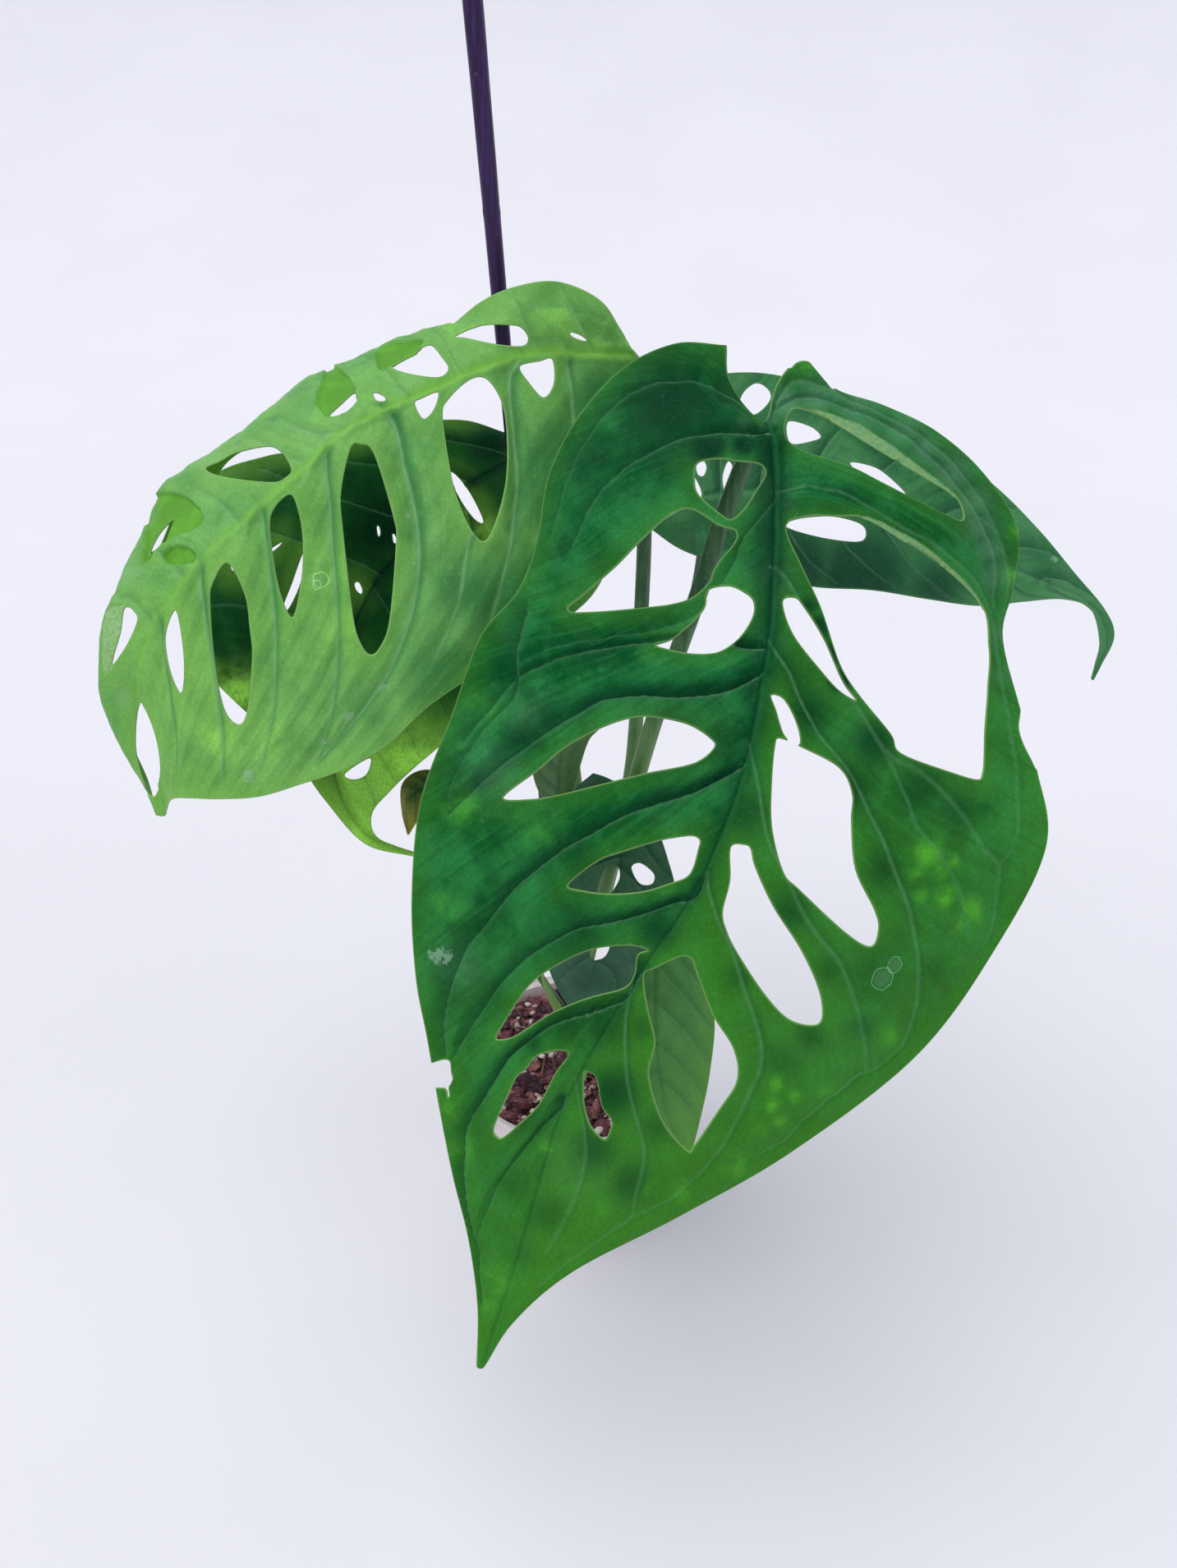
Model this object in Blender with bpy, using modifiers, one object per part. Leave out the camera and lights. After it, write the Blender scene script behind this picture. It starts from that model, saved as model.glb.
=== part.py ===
"""Monstera epipremnoides in a small nursery pot, with a support cane.

Frame: metres, +Z up, origin at the middle of the pot's flat base. The plant's front faces -Y.
Every leaf is a thin blade over a cage of cross rows. A cage point is written the way it is seen from
the front: two picture coordinates and its distance from the eye in millimetres.
"""
import math

import bmesh
import bpy
import numpy as np
from mathutils import Vector, geometry

# Real sizes, in metres.
POT_RIM_RADIUS = 0.054
POT_BASE_RADIUS = 0.038
POT_HEIGHT = 0.080
POT_WALL = 0.0016
POT_RIM_DEPTH = 0.012
POT_RIM_LIP = 0.0018
POT_FLOOR = 0.0020
SOIL_TOP = 0.0745
SOIL_FLOOR = 0.0023
SOIL_RINGS = 8
SOIL_LUMP = 0.0014
CLEARANCE = 0.0003
BLADE_THICKNESS = 0.0008
STEM_RADIUS = 0.0058
STEM_TOP = 0.104
STEM_FOOT = 0.040
STEM_RADII = ((0.0, 0.0040), (0.05, 0.0052), (0.45, STEM_RADIUS), (0.62, 0.0052), (0.70, STEM_RADIUS),
              (0.86, 0.0050), (0.95, 0.0042), (1.0, 0.0024))
CANE_FOOT = 0.022
CANE_TOP = 0.498
DRAIN_RADIUS = 0.0035
DRAIN_RING = 0.022
DRAIN_COUNT = 5
PLUG_SIDES = 14
SOIL_RISE = 0.010
CANE_HOLE_RADIUS = 0.0026

# The eye that the cages are written for: place, tilt below level, and focal length in picture units.
EYE = np.array([0.004, -0.409, 0.451])
EYE_TILT = math.radians(30.0)
FOCAL = 1500.0
PICTURE_MIDDLE = (716.5, 954.5)
FORWARD = np.array([0.0, math.cos(EYE_TILT), -math.sin(EYE_TILT)])
RIGHT = np.array([1.0, 0.0, 0.0])
UPWARD = np.array([0.0, math.sin(EYE_TILT), math.cos(EYE_TILT)])

# Spacing of the blade meshes, in metres: along edges and holes, and inside the blade.
EDGE_STEP = 0.0072
FIELD_STEP = 0.0105
SEAT_RADIUS = 0.0026

# Leaf cages. A row crosses the leaf from its left margin over the midrib (column 0) to its right margin;
# the rows run from the sinus at the petiole to the tip.
FRONT_COLUMNS = (-1.0, -0.66, -0.33, 0.0, 0.33, 0.66, 1.0)
FRONT_ROWS = (
    ((884, 421, 357), (886, 458, 352), (905, 493, 347), (932, 513, 344), (944, 474, 350), (960, 449, 355), (981, 437, 360)),
    ((822, 419, 354), (850, 462, 348), (890, 497, 344), (936, 525, 342), (962, 490, 349), (990, 478, 357), (1017, 474, 363)),
    ((757, 450, 352), (820, 475, 346), (885, 508, 342), (938, 537, 341), (985, 507, 349), (1030, 490, 358), (1075, 494, 366)),
    ((703, 510, 352), (785, 520, 345), (870, 535, 340), (940, 553, 340), (1000, 522, 348), (1075, 515, 358), (1140, 526, 369)),
    ((668, 580, 352), (760, 583, 343), (860, 585, 338), (942, 586, 338), (1010, 562, 343), (1105, 565, 354), (1198, 578, 371)),
    ((655, 655, 351), (750, 660, 341), (850, 650, 335), (942, 640, 335), (1012, 610, 338), (1125, 622, 350), (1238, 645, 371)),
    ((632, 718, 350), (745, 735, 339), (840, 722, 332), (940, 700, 332), (1012, 665, 334), (1122, 680, 345), (1233, 715, 369)),
    ((585, 776, 351), (720, 795, 338), (830, 785, 330), (936, 765, 330), (1012, 740, 332), (1120, 745, 343), (1220, 775, 366)),
    ((551, 870, 353), (690, 868, 338), (820, 850, 329), (925, 835, 328), (1012, 845, 332), (1120, 830, 343), (1241, 862, 362)),
    ((513, 975, 356), (655, 980, 340), (790, 955, 329), (907, 927, 326), (1005, 935, 331), (1112, 945, 341), (1262, 938, 359)),
    ((502, 1090, 360), (640, 1085, 343), (770, 1055, 331), (875, 1022, 326), (990, 1050, 330), (1125, 1065, 339), (1273, 1030, 357)),
    ((507, 1190, 363), (630, 1180, 347), (740, 1135, 335), (836, 1101, 329), (950, 1160, 331), (1085, 1195, 341), (1214, 1150, 355)),
    ((521, 1266, 365), (620, 1262, 351), (710, 1215, 340), (785, 1176, 334), (885, 1250, 335), (1000, 1290, 343), (1117, 1283, 355)),
    ((536, 1352, 366), (605, 1352, 355), (665, 1320, 347), (721, 1281, 341), (800, 1355, 341), (890, 1395, 347), (966, 1400, 355)),
    ((552, 1432, 367), (595, 1430, 361), (635, 1405, 355), (679, 1366, 350), (735, 1432, 349), (790, 1470, 352), (829, 1479, 356)),
    ((571, 1509, 368), (590, 1522, 365), (612, 1513, 361), (640, 1497, 358), (665, 1530, 358), (685, 1548, 359), (698, 1547, 360)),
    ((582, 1590, 369), (590, 1600, 368), (598, 1601, 367), (608, 1597, 366), (614, 1605, 366), (620, 1610, 366), (626, 1608, 366)),
    ((581, 1664, 371), (583, 1665, 371), (584, 1666, 371), (585, 1666, 371), (586, 1666, 371), (587, 1665, 371), (589, 1664, 371)),
)
FRONT_HOLES = (
    ((846, 570), (852, 562), (875, 558), (899, 561), (923, 564), (932, 572), (931, 582), (919, 601), (909, 617),
     (895, 631), (887, 633), (875, 625), (860, 613), (848, 600), (845, 586)),
    ((897, 649), (875, 639), (844, 620), (828, 620), (812, 629), (796, 643), (773, 665), (733, 704), (691, 742),
     (717, 746), (749, 744), (808, 738), (844, 728), (866, 708), (869, 696), (879, 680), (891, 667)),
    ((798, 786), (816, 779), (832, 767), (848, 752), (858, 738), (862, 718), (887, 713), (905, 720), (917, 730),
     (919, 744), (913, 760), (899, 779), (879, 793), (860, 797), (836, 796), (816, 792)),
    ((612, 971), (645, 974), (683, 968), (731, 956), (788, 942), (845, 930), (870, 911), (866, 899), (837, 881),
     (793, 872), (766, 874), (731, 886), (690, 908), (655, 937)),
    ((691, 1077), (727, 1048), (756, 1037), (798, 1024), (844, 1017), (853, 1023), (845, 1056), (837, 1068),
     (820, 1075), (784, 1086), (744, 1089), (708, 1085)),
    ((604, 1265), (625, 1263), (651, 1247), (676, 1232), (715, 1216), (759, 1204), (773, 1187), (777, 1163),
     (790, 1157), (766, 1150), (721, 1155), (682, 1172), (645, 1198), (615, 1242)),
    ((653, 1285), (639, 1302), (629, 1310), (617, 1335), (601, 1372), (605, 1384), (612, 1386), (628, 1373),
     (656, 1346), (677, 1307), (693, 1284), (679, 1278)),
    ((711, 1305), (724, 1308), (731, 1335), (741, 1357), (746, 1368), (735, 1387), (721, 1374), (712, 1350), (710, 1321)),
    ((783, 1188), (797, 1178), (837, 1163), (852, 1193), (869, 1236), (894, 1277), (898, 1315), (876, 1351),
     (845, 1396), (838, 1402), (813, 1376), (799, 1348), (789, 1305), (797, 1269), (789, 1233)),
    ((954, 526), (972, 547), (1034, 568), (1072, 587), (1137, 620), (1172, 634), (1164, 605), (1130, 582),
     (1091, 559), (1053, 536), (1015, 513), (977, 498), (961, 501)),
    ((956, 641), (984, 628), (1015, 628), (1053, 630), (1099, 656), (1160, 698), (1198, 741), (1205, 806),
     (1203, 832), (1199, 890), (1191, 950), (1164, 943), (1097, 918), (1084, 894), (1045, 846), (1022, 809),
     (999, 741), (976, 691)),
    ((952, 733), (967, 727), (978, 737), (1003, 777), (1026, 829), (1043, 853), (1022, 842), (999, 817), (965, 773)),
    ((938, 846), (955, 851), (971, 882), (974, 907), (955, 897), (944, 865)),
    ((943, 907), (949, 898), (976, 909), (1022, 934), (1038, 966), (1037, 1000), (1042, 1058), (1065, 1107),
     (1070, 1131), (1060, 1153), (1029, 1136), (973, 1084), (953, 1062), (939, 1007), (939, 950)),
    ((889, 1031), (908, 1028), (915, 1034), (920, 1055), (942, 1103), (977, 1158), (999, 1210), (998, 1246),
     (963, 1243), (932, 1213), (898, 1162), (884, 1134), (879, 1110), (888, 1072)),
)

LEFT_COLUMNS = (-1.0, -0.75, -0.5, -0.25, 0.0, 0.33, 0.66, 1.0)
LEFT_ROWS = (
    ((756, 403, 368), (760, 410, 368), (764, 417, 369), (768, 424, 369), (773, 431, 370), (776, 437, 372), (778, 444, 374), (779, 452, 377)),
    ((730, 366, 360), (734, 382, 361), (738, 398, 363), (742, 414, 366), (745, 430, 368), (753, 468, 373), (762, 508, 377), (771, 548, 381)),
    ((680, 344, 357), (686, 365, 358), (692, 387, 360), (698, 408, 363), (703, 430, 366), (713, 500, 370), (729, 580, 374), (752, 650, 380)),
    ((631, 349, 356), (638, 369, 356), (645, 390, 357), (652, 410, 360), (660, 429, 363), (671, 520, 366), (692, 620, 370), (722, 722, 376)),
    ((586, 368, 360), (595, 385, 358), (603, 402, 357), (611, 420, 358), (618, 438, 359), (628, 545, 362), (643, 665, 366), (665, 768, 372)),
    ((532, 410, 374), (532, 402, 368), (538, 399, 361), (554, 425, 357), (571, 454, 355), (587, 560, 357), (603, 690, 361), (605, 804, 367)),
    ((466, 436, 378), (469, 425, 370), (482, 415, 361), (501, 445, 354), (520, 476, 351), (540, 600, 353), (545, 740, 357), (524, 857, 362)),
    ((420, 480, 386), (408, 457, 376), (418, 444, 362), (444, 470, 351), (468, 499, 347), (487, 620, 349), (487, 770, 353), (472, 905, 358)),
    ((375, 530, 390), (358, 492, 379), (370, 464, 362), (396, 492, 349), (420, 523, 344), (440, 650, 346), (440, 800, 350), (420, 935, 355)),
    ((318, 538, 378), (314, 520, 372), (320, 509, 362), (345, 538, 347), (368, 569, 341), (388, 690, 343), (388, 830, 347), (366, 954, 352)),
    ((264, 580, 377), (262, 558, 372), (268, 546, 361), (295, 578, 345), (318, 613, 339), (335, 725, 341), (336, 850, 345), (315, 969, 350)),
    ((238, 700, 386), (206, 650, 375), (214, 593, 359), (240, 625, 344), (265, 660, 338), (279, 760, 340), (280, 870, 344), (266, 972, 349)),
    ((203, 750, 382), (170, 705, 371), (172, 655, 356), (197, 680, 345), (222, 706, 339), (232, 795, 341), (237, 885, 345), (234, 971, 349)),
    ((172, 800, 375), (140, 768, 365), (130, 741, 353), (157, 750, 346), (187, 760, 343), (198, 830, 344), (208, 905, 347), (213, 971, 351)),
    ((155, 846, 371), (131, 832, 362), (120, 812, 354), (143, 812, 350), (167, 815, 348), (180, 865, 350), (194, 920, 353), (206, 976, 356)),
    ((160, 902, 371), (143, 896, 365), (136, 882, 359), (153, 880, 357), (172, 880, 356), (184, 915, 357), (195, 948, 359), (204, 981, 361)),
    ((180, 952, 369), (175, 952, 366), (171, 946, 362), (181, 945, 361), (190, 945, 361), (194, 957, 361), (199, 970, 362), (203, 985, 363)),
    ((190, 992, 366), (191, 992, 366), (192, 992, 365), (193, 993, 365), (195, 993, 365), (197, 993, 365), (199, 993, 365), (201, 992, 365)),
)
LEFT_HOLES = (
    ((553, 410), (587, 396), (622, 395), (636, 399), (644, 412), (636, 422), (604, 420), (566, 412)),
    ((476, 445), (507, 427), (525, 420), (539, 435), (547, 449), (534, 460), (496, 455)),
    ((398, 476), (412, 470), (425, 478), (433, 489), (422, 501), (400, 506), (388, 494)),
    ((250, 571), (267, 562), (291, 550), (334, 544), (355, 569), (349, 581), (330, 588), (271, 581)),
    ((188, 640), (205, 622), (222, 612), (247, 626), (245, 638), (229, 648), (200, 658)),
    ((148, 736), (159, 739), (168, 754), (156, 783), (135, 809), (131, 801), (138, 771)),
    ((632, 446), (657, 439), (673, 437), (675, 467), (662, 485), (644, 467)),
    ((538, 507), (545, 486), (571, 462), (593, 461), (612, 491), (618, 534), (616, 591), (601, 644), (588, 660),
     (572, 644), (557, 610), (548, 576)),
    ((504, 491), (512, 485), (534, 477), (529, 499), (515, 511)),
    ((439, 540), (426, 545), (414, 600), (417, 649), (429, 751), (439, 785), (451, 798), (463, 789), (475, 756),
     (483, 663), (480, 630), (456, 552)),
    ((354, 601), (332, 620), (328, 649), (339, 717), (356, 753), (367, 712), (370, 668), (366, 630)),
    ((277, 684), (258, 710), (255, 736), (261, 809), (273, 865), (291, 883), (302, 865), (308, 801), (305, 765),
     (299, 724)),
    ((214, 742), (223, 783), (225, 824), (220, 845), (207, 818), (201, 774)),
    ((170, 855), (188, 889), (196, 933), (191, 968), (179, 962), (165, 912)),
)

BEHIND_COLUMNS = (-1.0, -0.5, 0.0, 0.5, 1.0)
BEHIND_ROWS = (
    ((617, 528, 428), (626, 535, 430), (640, 547, 434), (648, 560, 436), (655, 575, 438)),
    ((560, 512, 416), (590, 540, 422), (610, 565, 429), (640, 600, 438), (660, 640, 446)),
    ((480, 520, 410), (520, 560, 416), (555, 600, 424), (605, 655, 436), (648, 700, 450)),
    ((400, 548, 406), (455, 600, 411), (505, 655, 418), (565, 715, 426), (622, 768, 436)),
    ((325, 556, 404), (395, 635, 408), (460, 705, 415), (530, 770, 421), (600, 828, 430)),
    ((250, 590, 402), (335, 690, 406), (425, 775, 412), (500, 820, 418), (575, 868, 426)),
    ((225, 690, 401), (310, 775, 405), (402, 835, 410), (470, 865, 416), (540, 903, 423)),
    ((240, 800, 402), (320, 850, 406), (395, 890, 409), (445, 910, 414), (503, 935, 420)),
    ((352, 915, 405), (378, 928, 407), (408, 940, 409), (440, 952, 412), (475, 962, 415)),
    ((395, 972, 407), (408, 978, 408), (422, 983, 409), (436, 985, 411), (452, 991, 413)),
    ((444, 1026, 409), (447, 1022, 409), (451, 1019, 410), (455, 1018, 410), (460, 1021, 411)),
    ((503, 1042, 412), (503, 1041, 412), (504, 1040, 412), (504, 1039, 412), (504, 1038, 412)),
)
BEHIND_HOLES = (
    ((547, 576), (556, 578), (573, 600), (588, 630), (587, 638), (575, 630), (558, 605)),
    ((368, 674), (372, 684), (366, 712), (353, 740), (343, 748), (345, 735), (354, 712)),
    ((325, 672), (333, 665), (344, 659), (342, 664), (334, 671), (327, 675)),
    ((419, 942), (451, 922), (447, 943), (430, 950)),
)

RIGHT_COLUMNS = (-1.0, -0.5, 0.0, 0.5, 1.0)
RIGHT_ROWS = (
    ((822, 500, 440), (830, 550, 430), (855, 603, 421), (822, 625, 418), (792, 643, 415)),
    ((860, 462, 443), (862, 520, 434), (880, 598, 423), (865, 640, 418), (835, 671, 413)),
    ((915, 454, 446), (920, 515, 437), (930, 594, 426), (925, 650, 419), (905, 692, 413)),
    ((975, 464, 448), (985, 525, 439), (990, 597, 428), (990, 665, 420), (985, 713, 413)),
    ((1045, 488, 450), (1050, 545, 441), (1052, 613, 431), (1058, 675, 423), (1062, 718, 416)),
    ((1125, 530, 452), (1122, 580, 444), (1120, 640, 435), (1125, 693, 427), (1130, 729, 420)),
    ((1205, 587, 454), (1195, 630, 447), (1188, 672, 440), (1190, 710, 433), (1192, 737, 427)),
    ((1263, 644, 455), (1252, 672, 449), (1245, 697, 444), (1245, 719, 439), (1247, 732, 435)),
    ((1308, 698, 455), (1302, 710, 451), (1298, 718, 448), (1296, 724, 446), (1294, 729, 443)),
    ((1345, 743, 455), (1340, 743, 453), (1336, 744, 452), (1332, 744, 451), (1328, 741, 450)),
    ((1356, 775, 456), (1351, 774, 455), (1347, 774, 454), (1343, 776, 453), (1339, 780, 452)),
    ((1340, 810, 458), (1338, 809, 457), (1337, 808, 457), (1336, 808, 456), (1334, 807, 456)),
    ((1331, 828, 459), (1330, 828, 459), (1330, 827, 459), (1330, 827, 459), (1329, 826, 459)),
)
RIGHT_HOLES = (
    ((900, 502), (903, 480), (920, 466), (936, 474), (938, 488), (920, 505)),
    ((959, 513), (987, 519), (1000, 531), (991, 537), (962, 540)),
    ((1034, 564), (1064, 568), (1087, 584), (1103, 603), (1072, 597)),
    ((957, 642), (968, 632), (1010, 628), (1045, 636), (1055, 648), (1046, 660), (1000, 655)),
    ((847, 566), (855, 559), (861, 568), (857, 580), (849, 578)),
    ((879, 580), (886, 561), (893, 570), (890, 596), (882, 600)),
)

LOW_COLUMNS = (-1.0, 0.0, 1.0)
LOW_ROWS = (
    ((800, 1122, 500), (812, 1114, 500), (826, 1120, 500)),
    ((768, 1170, 496), (800, 1160, 494), (852, 1165, 498)),
    ((750, 1240, 488), (798, 1235, 484), (869, 1235, 490)),
    ((752, 1310, 480), (803, 1305, 475), (864, 1303, 482)),
    ((780, 1365, 472), (814, 1360, 467), (853, 1358, 473)),
    ((831, 1406, 462), (836, 1408, 461), (841, 1405, 462)),
)

SMALL_COLUMNS = (-1.0, -0.5, 0.0, 0.5, 1.0)
SMALL_ROWS = (
    ((722, 942, 438), (735, 946, 434), (750, 953, 431), (758, 956, 427), (764, 959, 425)),
    ((698, 965, 438), (725, 968, 433), (753, 975, 430), (775, 982, 426), (792, 992, 427)),
    ((675, 1015, 440), (715, 1018, 434), (757, 1025, 430), (785, 1030, 431), (812, 1045, 434)),
    ((662, 1080, 444), (705, 1085, 438), (750, 1090, 434), (787, 1095, 435), (821, 1090, 438)),
    ((660, 1145, 454), (695, 1150, 448), (735, 1150, 444), (775, 1152, 446), (806, 1145, 450)),
    ((675, 1195, 464), (695, 1200, 461), (716, 1200, 459), (742, 1200, 460), (768, 1197, 463)),
    ((701, 1239, 470), (702, 1240, 470), (703, 1240, 470), (704, 1240, 470), (706, 1239, 470)),
)
SMALL_HOLES = (
    ((727, 1080), (737, 1056), (752, 1054), (755, 1070), (742, 1090), (730, 1090)),
    ((768, 1056), (780, 1050), (797, 1064), (794, 1077), (778, 1076)),
    ((717, 1160), (728, 1146), (743, 1148), (738, 1164), (724, 1170)),
)

UPRIGHT_COLUMNS = (-1.0, 0.0, 1.0)
UPRIGHT_ROWS = (
    ((680, 986, 451), (686, 989, 450), (693, 985, 450)),
    ((658, 966, 451), (682, 965, 448), (699, 958, 450)),
    ((649, 935, 451), (682, 933, 448), (707, 928, 450)),
    ((656, 898, 452), (690, 896, 449), (717, 900, 451)),
    ((684, 866, 454), (708, 868, 451), (733, 880, 453)),
    ((728, 842, 457), (730, 843, 457), (732, 846, 457)),
)

YELLOW_TIP_COLUMNS = (-1.0, 0.0, 1.0)
YELLOW_TIP_ROWS = (
    ((545, 949, 441), (543, 957, 440), (542, 966, 441)),
    ((524, 938, 439), (527, 957, 437), (531, 978, 439)),
    ((503, 942, 438), (510, 962, 435), (518, 985, 438)),
    ((489, 958, 438), (498, 975, 436), (508, 999, 438)),
    ((490, 990, 440), (495, 995, 439), (502, 1008, 440)),
    ((496, 1015, 441), (497, 1016, 441), (498, 1015, 441)),
)

# Blade name: columns, rows, holes, base colour, and the row where the petiole meets the blade.
LEAVES = {
    "leaf_front": (FRONT_COLUMNS, FRONT_ROWS, FRONT_HOLES, (0.018, 0.115, 0.030, 1.0), 1.3),
    "leaf_left": (LEFT_COLUMNS, LEFT_ROWS, LEFT_HOLES, (0.110, 0.330, 0.045, 1.0), 0.35),
    "leaf_behind": (BEHIND_COLUMNS, BEHIND_ROWS, BEHIND_HOLES, (0.020, 0.110, 0.022, 1.0), 0.25),
    "leaf_right": (RIGHT_COLUMNS, RIGHT_ROWS, RIGHT_HOLES, (0.020, 0.095, 0.045, 1.0), 0.5),
    "leaf_low": (LOW_COLUMNS, LOW_ROWS, (), (0.035, 0.150, 0.040, 1.0), 0.25),
    "leaf_small": (SMALL_COLUMNS, SMALL_ROWS, SMALL_HOLES, (0.018, 0.080, 0.035, 1.0), 0.4),
    "leaf_upright": (UPRIGHT_COLUMNS, UPRIGHT_ROWS, (), (0.085, 0.150, 0.060, 1.0), 0.3),
    "leaf_yellow_tip": (YELLOW_TIP_COLUMNS, YELLOW_TIP_ROWS, (), (0.045, 0.110, 0.030, 1.0), 0.4),
}

# Petioles from the blade down to the stem: leaf, radius at the blade and at the stem in metres, and the
# seen points between, the last one inside the stem.
PETIOLES = (
    ("leaf_front", 0.0026, 0.0034, ((920, 533, 358), (906, 563, 366), (879, 633, 380), (852, 720, 394),
                                    (826, 791, 408), (795, 880, 426), (776, 945, 441), (750, 1030, 463),
                                    (722, 1120, 488), (702, 1200, 520), (700, 1243, 534))),
    ("leaf_left", 0.0022, 0.0030, ((781, 455, 384), (785, 550, 400), (785, 655, 420), (781, 740, 434),
                                   (775, 880, 457), (768, 950, 470), (745, 1060, 492), (715, 1160, 516),
                                   (702, 1240, 535))),
    ("leaf_behind", 0.0022, 0.0026, ((648, 560, 446), (664, 700, 464), (687, 850, 482), (703, 960, 494),
                                     (712, 1080, 508), (707, 1180, 524), (704, 1240, 537))),
    ("leaf_right", 0.0021, 0.0027, ((862, 625, 434), (850, 720, 446), (826, 800, 456), (796, 880, 468),
                                    (776, 950, 480), (750, 1030, 494), (724, 1110, 510), (706, 1190, 526),
                                    (704, 1240, 537))),
    ("leaf_low", 0.0015, 0.0020, ((806, 1135, 508), (785, 1150, 514), (752, 1178, 523), (722, 1215, 532),
                                  (706, 1245, 538))),
    ("leaf_small", 0.0015, 0.0020, ((750, 970, 440), (742, 1000, 454), (732, 1060, 474), (713, 1140, 503),
                                    (703, 1205, 524), (702, 1245, 536))),
    ("leaf_upright", 0.0013, 0.0018, ((688, 985, 458), (689, 1050, 480), (692, 1130, 506), (698, 1205, 526),
                                      (702, 1245, 537))),
    ("leaf_yellow_tip", 0.0012, 0.0018, ((548, 968, 445), (578, 1040, 463), (620, 1125, 490), (656, 1187, 514),
                                         (678, 1218, 528), (699, 1248, 538))),
)
GENICULUM = 0.006
SEAT_GAP = 0.0001

# The cane: height, and radius there. It leans a little forward and to the left.
CANE_AXIS_FOOT = (-0.0034, 0.0195, CANE_FOOT)
CANE_AXIS_TOP = (-0.0283, -0.0140, CANE_TOP)
CANE_RADII = ((0.0, 0.0018), (0.003, 0.0021), (0.60, 0.00225), (0.76, 0.00240), (0.93, 0.00285),
              (0.996, 0.00290), (1.0, 0.0020))

# Aerial roots: seen points, and radius in metres.
ROOTS = (
    (0.0011, ((702, 1242, 533), (676, 1250, 527), (655, 1268, 524), (645, 1278, 525))),
    (0.0010, ((705, 1246, 534), (727, 1250, 524), (741, 1268, 518), (746, 1284, 519))),
    (0.0009, ((703, 1243, 534), (714, 1262, 519), (716, 1290, 510), (712, 1316, 509))),
)


def seen(points):
    """World places of seen points: eye + distance * (forward + across * right + above * up)."""
    spots = np.asarray(points, dtype=float)
    across = (spots[..., 0] - PICTURE_MIDDLE[0]) / FOCAL
    above = (PICTURE_MIDDLE[1] - spots[..., 1]) / FOCAL
    distance = spots[..., 2] / 1000.0
    ray = FORWARD + across[..., None] * RIGHT + above[..., None] * UPWARD
    return EYE + distance[..., None] * ray


def spline_weights(knots, at):
    """Weights of each knot at the given places, for a cubic curve through all knots."""
    knots = np.asarray(knots, dtype=float)
    at = np.asarray(at, dtype=float)
    count = len(knots)
    steps = np.diff(knots)
    slopes = np.zeros((count, count))
    for i in range(1, count - 1):
        before, after = steps[i - 1], steps[i]
        slopes[i, i - 1] = -after / (before * (before + after))
        slopes[i, i + 1] = before / (after * (before + after))
        slopes[i, i] = -slopes[i, i - 1] - slopes[i, i + 1]
    slopes[0, :2] = (-1.0 / steps[0], 1.0 / steps[0])
    slopes[-1, -2:] = (-1.0 / steps[-1], 1.0 / steps[-1])
    piece = np.clip(np.searchsorted(knots, at, side="right") - 1, 0, count - 2)
    width = steps[piece]
    part = (at - knots[piece]) / width
    inside = np.clip(part, 0.0, 1.0)
    over = (part - inside) * width
    square = inside * inside
    cube = square * inside
    rows = np.arange(len(at))
    weights = ((cube - 2.0 * square + inside) * width)[:, None] * slopes[piece]
    weights += ((cube - square) * width)[:, None] * slopes[piece + 1]
    weights[rows, piece] += 2.0 * cube - 3.0 * square + 1.0
    weights[rows, piece + 1] += 3.0 * square - 2.0 * cube
    weights += np.where(over < 0.0, over, 0.0)[:, None] * slopes[piece]
    weights += np.where(over > 0.0, over, 0.0)[:, None] * slopes[piece + 1]
    return weights


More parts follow.
